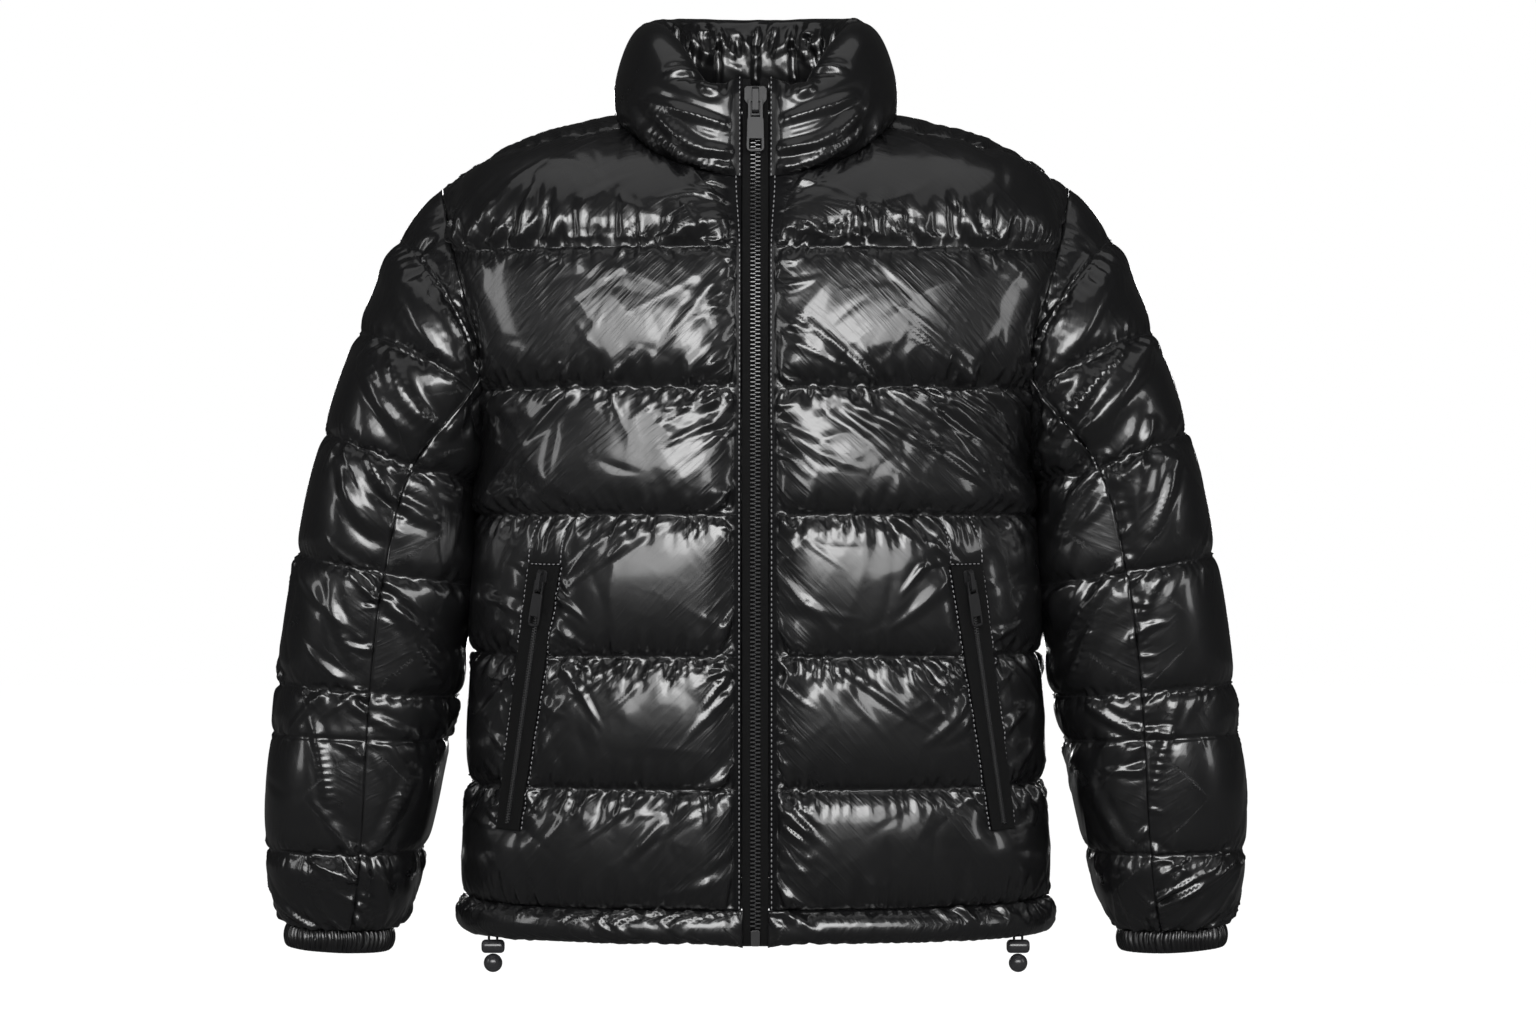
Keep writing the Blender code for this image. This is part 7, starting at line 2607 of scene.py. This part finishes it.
@dataclass
class CordLocks:
    """The drawcord's loops, locks and end balls at the hem.

    Attributes:
        cord_radius: The cord's radius.
        cord_rise: How far the loop goes up into the hem.
        cord_sunk: How far its two ends go on into the lock.
        lock_rise: How far the lock stands over the top of its node.
    """

    cord_radius: float = 0.00095
    cord_rise: float = 0.0052
    cord_sunk: float = 0.0012
    lock_rise: float = 0.0018
    made: list[Piece] = field(default_factory=list)
    loops: list[Piece] = field(default_factory=list)

    def build(self) -> None:
        """Makes the finer locks, balls and loops."""
        for side in Side:
            self.add_lock(side)
            low, high = node_box("cord_ball_" + side.label)
            work = bmesh.new()
            bmesh.ops.create_uvsphere(work, u_segments=40, v_segments=24, radius=(high - low)[0] / 2)
            bmesh.ops.translate(work, vec=Vector((low + high) / 2), verts=work.verts)
            self.made.append(stand_for(work, "cord_end_ball_" + side.label, "cord_ball_" + side.label))
            self.add_loop(side)

    def add_lock(self, side: Side) -> None:
        """Adds the barrel that grips the cord.

        Args:
            side: Its side.
        """
        low, high = node_box("cord_lock_" + side.label)
        high[2] += self.lock_rise
        long, _, tall = high - low
        work = bmesh.new()
        bmesh.ops.create_cone(
            work, cap_ends=True, segments=32, radius1=tall / 2, radius2=tall / 2, depth=long)
        rims = [e for e in work.edges if len(e.link_faces) == 2 and e.calc_face_angle(0.0) > 0.6]
        bmesh.ops.bevel(
            work, geom=rims, offset=tall * 0.30, affect="EDGES", segments=5, profile=0.5, material=-1)
        lay_along_x(work)
        bmesh.ops.translate(work, vec=Vector((low + high) / 2), verts=work.verts)
        self.made.append(stand_for(work, "lock_barrel_" + side.label, "cord_lock_" + side.label))

    def add_loop(self, side: Side) -> None:
        """Adds the loop of cord that comes out of the hem and runs into the lock.

        Args:
            side: Its side.
        """
        low, high = node_box("drawcord_" + side.label)
        middle = (low + high) / 2
        turn = Vector((middle[0], middle[1], low[2] + self.cord_rise))
        half = Vector(((high - low)[0] / 2 - self.cord_radius, 0.0, 0.0))
        work = bmesh.new()
        ring = bmesh.ops.create_circle(work, segments=12, radius=self.cord_radius)["verts"]
        bmesh.ops.translate(work, vec=turn - half, verts=ring)
        swept = bmesh.ops.spin(
            work, geom=list(work.edges), cent=turn, axis=(0, 1, 0), angle=math.pi, steps=14,
            use_merge=False)["geom_last"]
        for end in ([v for v in swept if isinstance(v, bmesh.types.BMVert)], ring):
            edges = list({e for v in end for e in v.link_edges if all(w in end for w in e.verts)})
            made = bmesh.ops.extrude_edge_only(work, edges=edges)["geom"]
            bmesh.ops.translate(
                work, vec=(0, 0, -self.cord_rise - self.cord_sunk),
                verts=[v for v in made if isinstance(v, bmesh.types.BMVert)])
        bmesh.ops.holes_fill(work, edges=[e for e in work.edges if e.is_boundary])
        self.loops.append(stand_for(work, "cord_loop_" + side.label, "drawcord_" + side.label))

    def dress(self, plastic: Material, cord: Material) -> None:
        """Gives the locks, balls and cord loops their finishes.

        Args:
            plastic: That of the locks and balls.
            cord: That of the loops.
        """
        for made in self.made:
            wear(made, plastic)
        for made in self.loops:
            wear(made, cord)


# ---------------------------------------------------------------- finishes

Tree = bpy.types.NodeTree
Socket = bpy.types.NodeSocket


def add_node(tree: Tree, kind: str, inputs: dict | None = None, **settings: object) -> bpy.types.Node:
    """Adds a shader node.

    Args:
        tree: The tree that it is added to.
        kind: Its kind.
        inputs: A value, or an output to link, for each of its inputs.
        settings: Its other settings.

    Returns:
        The node.
    """
    node = tree.nodes.new("ShaderNode" + kind)
    for name, value in settings.items():
        setattr(node, name, value)
    for name, value in (inputs or {}).items():
        if isinstance(value, Socket):
            tree.links.new(value, node.inputs[name])
        else:
            node.inputs[name].default_value = value
    return node


def reckon(tree: Tree, operation: str, *values: Socket | float) -> Socket:
    """The result of a sum or product of values and outputs."""
    return add_node(tree, "Math", dict(enumerate(values)), operation=operation).outputs[0]


def new_group(
    name: str, inputs: Sequence[tuple[str, str, float]], outputs: Sequence[str]
) -> bpy.types.ShaderNodeTree:
    """Starts a shader node group.

    Args:
        name: Its name.
        inputs: Name, type and default value of each input.
        outputs: Name of each output, which is a number.

    Returns:
        The group, with its input and output nodes.
    """
    group = bpy.data.node_groups.new(name, "ShaderNodeTree")
    for label, kind, value in inputs:
        socket = group.interface.new_socket(name=label, in_out="INPUT", socket_type="NodeSocket" + kind)
        if kind == "Float":
            socket.default_value = value
    for label in outputs:
        group.interface.new_socket(name=label, in_out="OUTPUT", socket_type="NodeSocketFloat")
    group.nodes.new("NodeGroupInput")
    group.nodes.new("NodeGroupOutput")
    return group


def put_out(group: Tree, results: dict[str, Socket]) -> None:
    """Links the results of a group to its outputs."""
    for label, result in results.items():
        group.links.new(result, group.nodes["Group Output"].inputs[label])


def crinkle_group() -> bpy.types.ShaderNodeTree:
    """Fine crinkles of coated cloth, stronger near a seam: puts out a height.

    Returns:
        The group.
    """
    group = new_group(
        "fine crinkle", [("Vector", "Vector", 0.0), ("Scale", "Float", 60.0), ("Near", "Float", 0.0)],
        ["Height", "Mask"])
    given = group.nodes["Group Input"].outputs
    warp = add_node(group, "TexNoise", {"Scale": 26.0, "Detail": 3.0, "Vector": given["Vector"]})
    ridge = add_node(group, "TexNoise", {
        "Detail": 2.0, "Distortion": 0.4, "Vector": given["Vector"], "Scale": given["Scale"],
    }, noise_type="RIDGED_MULTIFRACTAL")
    strong = reckon(group, "MULTIPLY_ADD", given["Near"], 0.8, 0.2)
    scaled = reckon(group, "MULTIPLY", ridge.outputs["Fac"], strong)
    put_out(group, {"Height": scaled, "Mask": warp.outputs["Fac"]})
    return group


def streak_group() -> bpy.types.ShaderNodeTree:
    """Thin folds that run out from a seam: puts out a height, in the fold space.

    Returns:
        The group.
    """
    group = new_group("thin folds", [("Space", "Vector", 0.0), ("Near", "Float", 0.0)], ["Height"])
    given = group.nodes["Group Input"].outputs
    parts = []
    for across, down, weight in ((170.0, 26.0, 1.0), (420.0, 60.0, 0.40)):
        stretch = add_node(group, "Mapping", {"Scale": (across, down, 7.0), "Vector": given["Space"]})
        ridge = add_node(group, "TexNoise", {
            "Scale": 1.0, "Detail": 1.5, "Distortion": 0.5, "Vector": stretch.outputs["Vector"],
        }, noise_type="RIDGED_MULTIFRACTAL")
        parts.append(reckon(group, "MULTIPLY", ridge.outputs["Fac"], weight))
    total = reckon(group, "ADD", *parts)
    put_out(group, {"Height": reckon(group, "MULTIPLY", total, given["Near"])})
    return group


def weave_group() -> bpy.types.ShaderNodeTree:
    """Threads over and under each other: puts out a height.

    Returns:
        The group.
    """
    group = new_group("plain weave", [("Vector", "Vector", 0.0), ("Scale", "Float", 900.0)], ["Height"])
    given = group.nodes["Group Input"].outputs
    waves = [
        add_node(group, "TexWave", {
            "Distortion": 0.6, "Detail": 1.0, "Vector": given["Vector"], "Scale": given["Scale"],
        }, bands_direction=axis).outputs["Fac"]
        for axis in ("X", "Z")
    ]
    put_out(group, {"Height": reckon(group, "MULTIPLY", *waves)})
    return group


class Groups:
    """The shader node groups, each built once."""

    made: dict[str, bpy.types.ShaderNodeTree] = {}

    @classmethod
    def get(cls, name: str, build: Callable[[], bpy.types.ShaderNodeTree]) -> bpy.types.ShaderNodeTree:
        """The named group, built on its first use.

        Args:
            name: Its name.
            build: Builds it.

        Returns:
            The group.
        """
        if name not in cls.made:
            cls.made[name] = build()
        return cls.made[name]


@dataclass(frozen=True)
class Finish:
    """A plain finish.

    Attributes:
        name: Name of the material.
        color: Base colour.
        roughness: Roughness.
        metallic: Whether it is metal.
        coat: Weight of the clear coat.
        coat_roughness: Roughness of the clear coat.
        specular: How much it shines straight on.
        bump: Distance of the relief, in metres.
        scale: Scale of the relief.
    """

    name: str
    color: tuple[float, float, float]
    roughness: float
    metallic: float = 0.0
    coat: float = 0.0
    coat_roughness: float = 0.1
    specular: float = 0.5
    bump: float = 0.0
    scale: float = 900.0

    def shader(self) -> tuple[Material, bpy.types.Node]:
        """The material and its shader, with the plain values set.

        Returns:
            The two.
        """
        material = bpy.data.materials.new(self.name)
        material.use_nodes = True
        shader = material.node_tree.nodes["Principled BSDF"]
        values = {
            "Base Color": self.color + (1.0,), "Roughness": self.roughness, "Metallic": self.metallic,
            "Coat Weight": self.coat, "Coat Roughness": self.coat_roughness,
            "Specular IOR Level": self.specular,
        }
        for label, value in values.items():
            shader.inputs[label].default_value = value
        return material, shader

    def material(self) -> Material:
        """The material, with its weave where it has one.

        Returns:
            The material.
        """
        material, shader = self.shader()
        if not self.bump:
            return material
        tree = material.node_tree
        spot = add_node(tree, "TexCoord").outputs["Object"]
        group = Groups.get("weave", weave_group)
        weave = add_node(tree, "Group", node_tree=group)
        weave.inputs["Scale"].default_value = self.scale
        tree.links.new(spot, weave.inputs["Vector"])
        bump = add_node(tree, "Bump", {"Distance": self.bump, "Height": weave.outputs["Height"]})
        tree.links.new(bump.outputs["Normal"], shader.inputs["Normal"])
        return material


@dataclass(frozen=True)
class LacquerFinish(Finish):
    """Coated cloth with a wet shine: fine crinkles, strongest beside the seams.

    Attributes:
        crinkle: Distance of the crinkles' relief, in metres.
        crinkle_scale: Their scale.
        streak: Distance of the thin folds' relief, in metres.
        pressed: Share of the shine that is left where the cloth is pressed flat.
    """

    crinkle: float = 0.00058
    crinkle_scale: float = 85.0
    streak: float = 0.0009
    pressed: float = 0.08

    def material(self) -> Material:
        """The material.

        Returns:
            The material.
        """
        material, shader = self.shader()
        tree = material.node_tree
        spot = add_node(tree, "TexCoord").outputs["Object"]
        near = add_node(tree, "Attribute", attribute_name="seam_near").outputs["Fac"]
        crinkle = add_node(
            tree, "Group", {"Scale": self.crinkle_scale, "Vector": spot, "Near": near},
            node_tree=Groups.get("crinkle", crinkle_group)).outputs
        bump = add_node(tree, "Bump", {"Distance": self.crinkle, "Height": crinkle["Height"]})
        space = add_node(tree, "Attribute", attribute_name="fold_space").outputs["Vector"]
        streaks = add_node(
            tree, "Group", {"Space": space, "Near": near},
            node_tree=Groups.get("streaks", streak_group)).outputs
        thin = add_node(tree, "Bump", {
            "Distance": self.streak, "Height": streaks["Height"], "Normal": bump.outputs["Normal"],
        })
        rough = add_node(tree, "MapRange", {
            "From Min": 0.3, "From Max": 0.7, "To Min": self.roughness - 0.05,
            "To Max": self.roughness + 0.06, "Value": crinkle["Mask"],
        })
        tree.links.new(thin.outputs["Normal"], shader.inputs["Normal"])
        tree.links.new(rough.outputs["Result"], shader.inputs["Roughness"])
        pressed = add_node(tree, "Attribute", attribute_name="pressed").outputs["Fac"]
        for label, full in (("Coat Weight", self.coat), ("Specular IOR Level", self.specular)):
            dull = add_node(
                tree, "MapRange", {"To Min": full, "To Max": full * self.pressed, "Value": pressed})
            tree.links.new(dull.outputs["Result"], shader.inputs[label])
        return material


SHELL = LacquerFinish(
    "lacquered black cloth", (0.0036, 0.0036, 0.0039), 0.32, specular=0.42, coat=0.85,
    coat_roughness=0.115)
ELASTIC = Finish(
    "black elastic cloth", (0.0035, 0.0035, 0.0038), 0.34, specular=0.42, coat=0.45, coat_roughness=0.12)
TAPE = Finish("black woven tape", (0.0035, 0.0035, 0.0037), 0.60, specular=0.18, bump=0.0002, scale=1500.0)
TEETH = Finish("black zip teeth", (0.016, 0.016, 0.0165), 0.26, specular=0.8)
METAL = Finish("black enamelled metal", (0.008, 0.008, 0.0085), 0.42, specular=0.28)
PLASTIC = Finish("black plastic", (0.014, 0.014, 0.015), 0.25, specular=0.55, coat=0.2)
THREAD = Finish("black thread", (0.010, 0.010, 0.011), 0.5, specular=0.35)
# The edge thread is black thread whose colour is lightened as a painted glint, so its stitches read as
# bright dots.
EDGE_THREAD_PAINTED_GLINT = Finish("shiny thread", (0.10, 0.10, 0.103), 0.28, specular=1.0)
# The zip core's colour is darker and duller than the cloth's, as painted shade in the gaps between the
# teeth.
ZIP_CORE_PAINTED_SHADE = Finish("zip core", (0.0015, 0.0015, 0.0016), 0.8, specular=0.03)
CORD = Finish("black cord", (0.004, 0.004, 0.0043), 0.6, specular=0.2, bump=0.0002, scale=1800.0)
FLOOR = Finish("pale floor", (1.0, 1.0, 1.0), 0.9, specular=0.0)


# ---------------------------------------------------------------- studio

WHITE = (1.0, 1.0, 1.0, 1.0)


@dataclass(frozen=True)
class SoftLight:
    """A soft light.

    Attributes:
        name: Its name.
        place: Where it stands.
        aim: What it points at.
        size: Its width and height.
        power: Its power, in watts.
    """

    name: str
    place: tuple[float, float, float]
    aim: tuple[float, float, float]
    size: tuple[float, float]
    power: float

    def build(self) -> None:
        """Makes the light."""
        data = bpy.data.lights.new(self.name, "AREA")
        data.shape = "RECTANGLE"
        data.size, data.size_y = self.size
        data.energy = self.power
        lamp = link(self.name, data)
        lamp.location = self.place
        lamp.rotation_euler = (Vector(self.aim) - Vector(self.place)).to_track_quat("-Z", "Y").to_euler()


@dataclass
class Studio:
    """Floor, backdrop, lights and camera.

    Attributes:
        floor_z: Height of the floor.
        floor_size: Its size.
        distance: From the jacket's middle to the camera.
        camera_x: Where the camera stands across.
        camera_z: How high it stands.
        seen_width: How wide the picture is at the jacket.
        lights: The lights.
    """

    floor_z: float = -1.0
    floor_size: float = 24.0
    distance: float = 3.0
    camera_x: float = 0.0097
    camera_z: float = -0.3072
    seen_width: float = 1.2288
    lights: tuple[SoftLight, ...] = (
        SoftLight("key", (0.0, -2.40, 0.54), (0.0, 0.0, -0.15), (1.35, 0.74), 18.4),
        SoftLight("key_wide", (0.0, -2.45, 0.50), (0.0, 0.0, -0.15), (3.2, 1.10), 57.0),
        SoftLight("side_left", (2.2, -0.9, 0.3), (0.2, 0.0, -0.3), (0.35, 1.2), 5.0),
        SoftLight("side_right", (-2.2, -0.9, 0.3), (-0.2, 0.0, -0.3), (0.35, 1.2), 5.0),
        SoftLight("top", (0.0, -0.25, 1.9), (0.0, -0.05, -0.1), (2.6, 1.6), 6.0),
        SoftLight("behind", (0.0, 2.6, -0.10), (0.0, 0.1, -0.3), (1.6, 0.9), 30.0),
    )

    def build(self) -> None:
        """Makes the floor, the surround, the lights and the camera."""
        self.add_floor()
        self.add_surround()
        for light in self.lights:
            light.build()
        data = bpy.data.cameras.new("camera")
        data.sensor_width = 36.0
        data.lens = data.sensor_width * self.distance / self.seen_width
        data.clip_end = 50.0
        camera = link("camera", data)
        camera.location = (self.camera_x, -self.distance, self.camera_z)
        camera.rotation_euler = (math.pi / 2, 0.0, 0.0)
        bpy.context.scene.camera = camera
        bpy.context.scene.view_settings.view_transform = "Standard"

    def add_floor(self) -> None:
        """Makes a pale floor; to glossy rays it is a dim even glow, a painted faint reflection in the
        jacket's gloss.
        """
        work = bmesh.new()
        bmesh.ops.create_grid(work, x_segments=1, y_segments=1, size=self.floor_size / 2)
        bmesh.ops.translate(work, vec=(0.0, 0.0, self.floor_z), verts=work.verts)
        mesh = bpy.data.meshes.new("floor")
        work.to_mesh(mesh)
        work.free()
        floor = link("floor", mesh)
        material, shader = FLOOR.shader()
        tree = material.node_tree
        # Glossy rays see the floor as this dim glow: a painted faint reflection.
        dark = add_node(tree, "Emission", {"Strength": 0.06}).outputs[0]
        path = add_node(tree, "LightPath").outputs
        mix = add_node(tree, "MixShader", {0: path["Is Glossy Ray"], 1: shader.outputs[0], 2: dark})
        tree.links.new(mix.outputs[0], tree.nodes["Material Output"].inputs["Surface"])
        floor.data.materials.append(material)
        floor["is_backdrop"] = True

    @staticmethod
    def add_surround() -> None:
        """Makes a white surround to look at that lights the jacket only a little."""
        world = bpy.data.worlds.new("studio")
        bpy.context.scene.world = world
        world.use_nodes = True
        tree = world.node_tree
        plain = tree.nodes["Background"]
        plain.inputs["Color"].default_value = WHITE
        plain.inputs["Strength"].default_value = 0.025
        seen = add_node(tree, "Background", {"Color": WHITE, "Strength": 1.0}).outputs[0]
        path = add_node(tree, "LightPath").outputs
        bright = reckon(tree, "MAXIMUM", path["Is Camera Ray"], path["Is Diffuse Ray"])
        mix = add_node(tree, "MixShader", {0: bright, 1: plain.outputs[0], 2: seen})
        tree.links.new(mix.outputs[0], tree.nodes["World Output"].inputs["Surface"])


def main() -> None:
    """Builds and dresses the jacket, piece by piece."""
    shell = SHELL.material()
    body, sleeves, collar = Body(), Sleeves(), Collar()
    for part in (body, sleeves, collar, HemBand()):
        part.build()
        part.dress(shell)
        LOG.info("%s: %s", type(part).__name__, ", ".join(piece.name for piece in part.made))
    cuffs = Cuffs()
    cuffs.build()
    cuffs.dress(ELASTIC.material())
    stitching = Stitching()
    for label, sheet in {**body.sheets, **sleeves.sheets}.items():
        stitching.quilting(label, sheet, label.endswith("right"))
    for side in Side:
        stitching.front_edge(side, body.sheets["front_" + side.label])
    stitching.collar_edge(collar.sheets["collar"])
    stitching.dress(THREAD.material(), EDGE_THREAD_PAINTED_GLINT.material())
    teeth, tape, metal = TEETH.material(), TAPE.material(), METAL.material()
    for fastening in (FrontZip(), PocketZips()):
        fastening.build()
        fastening.dress(teeth, tape, metal)
    locks = CordLocks()
    locks.build()
    locks.dress(PLASTIC.material(), CORD.material())
    Studio().build()
    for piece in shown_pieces():
        LOG.info("piece %s: %d faces", piece.name, len(piece.data.polygons))


if __name__ == "__main__":
    main()
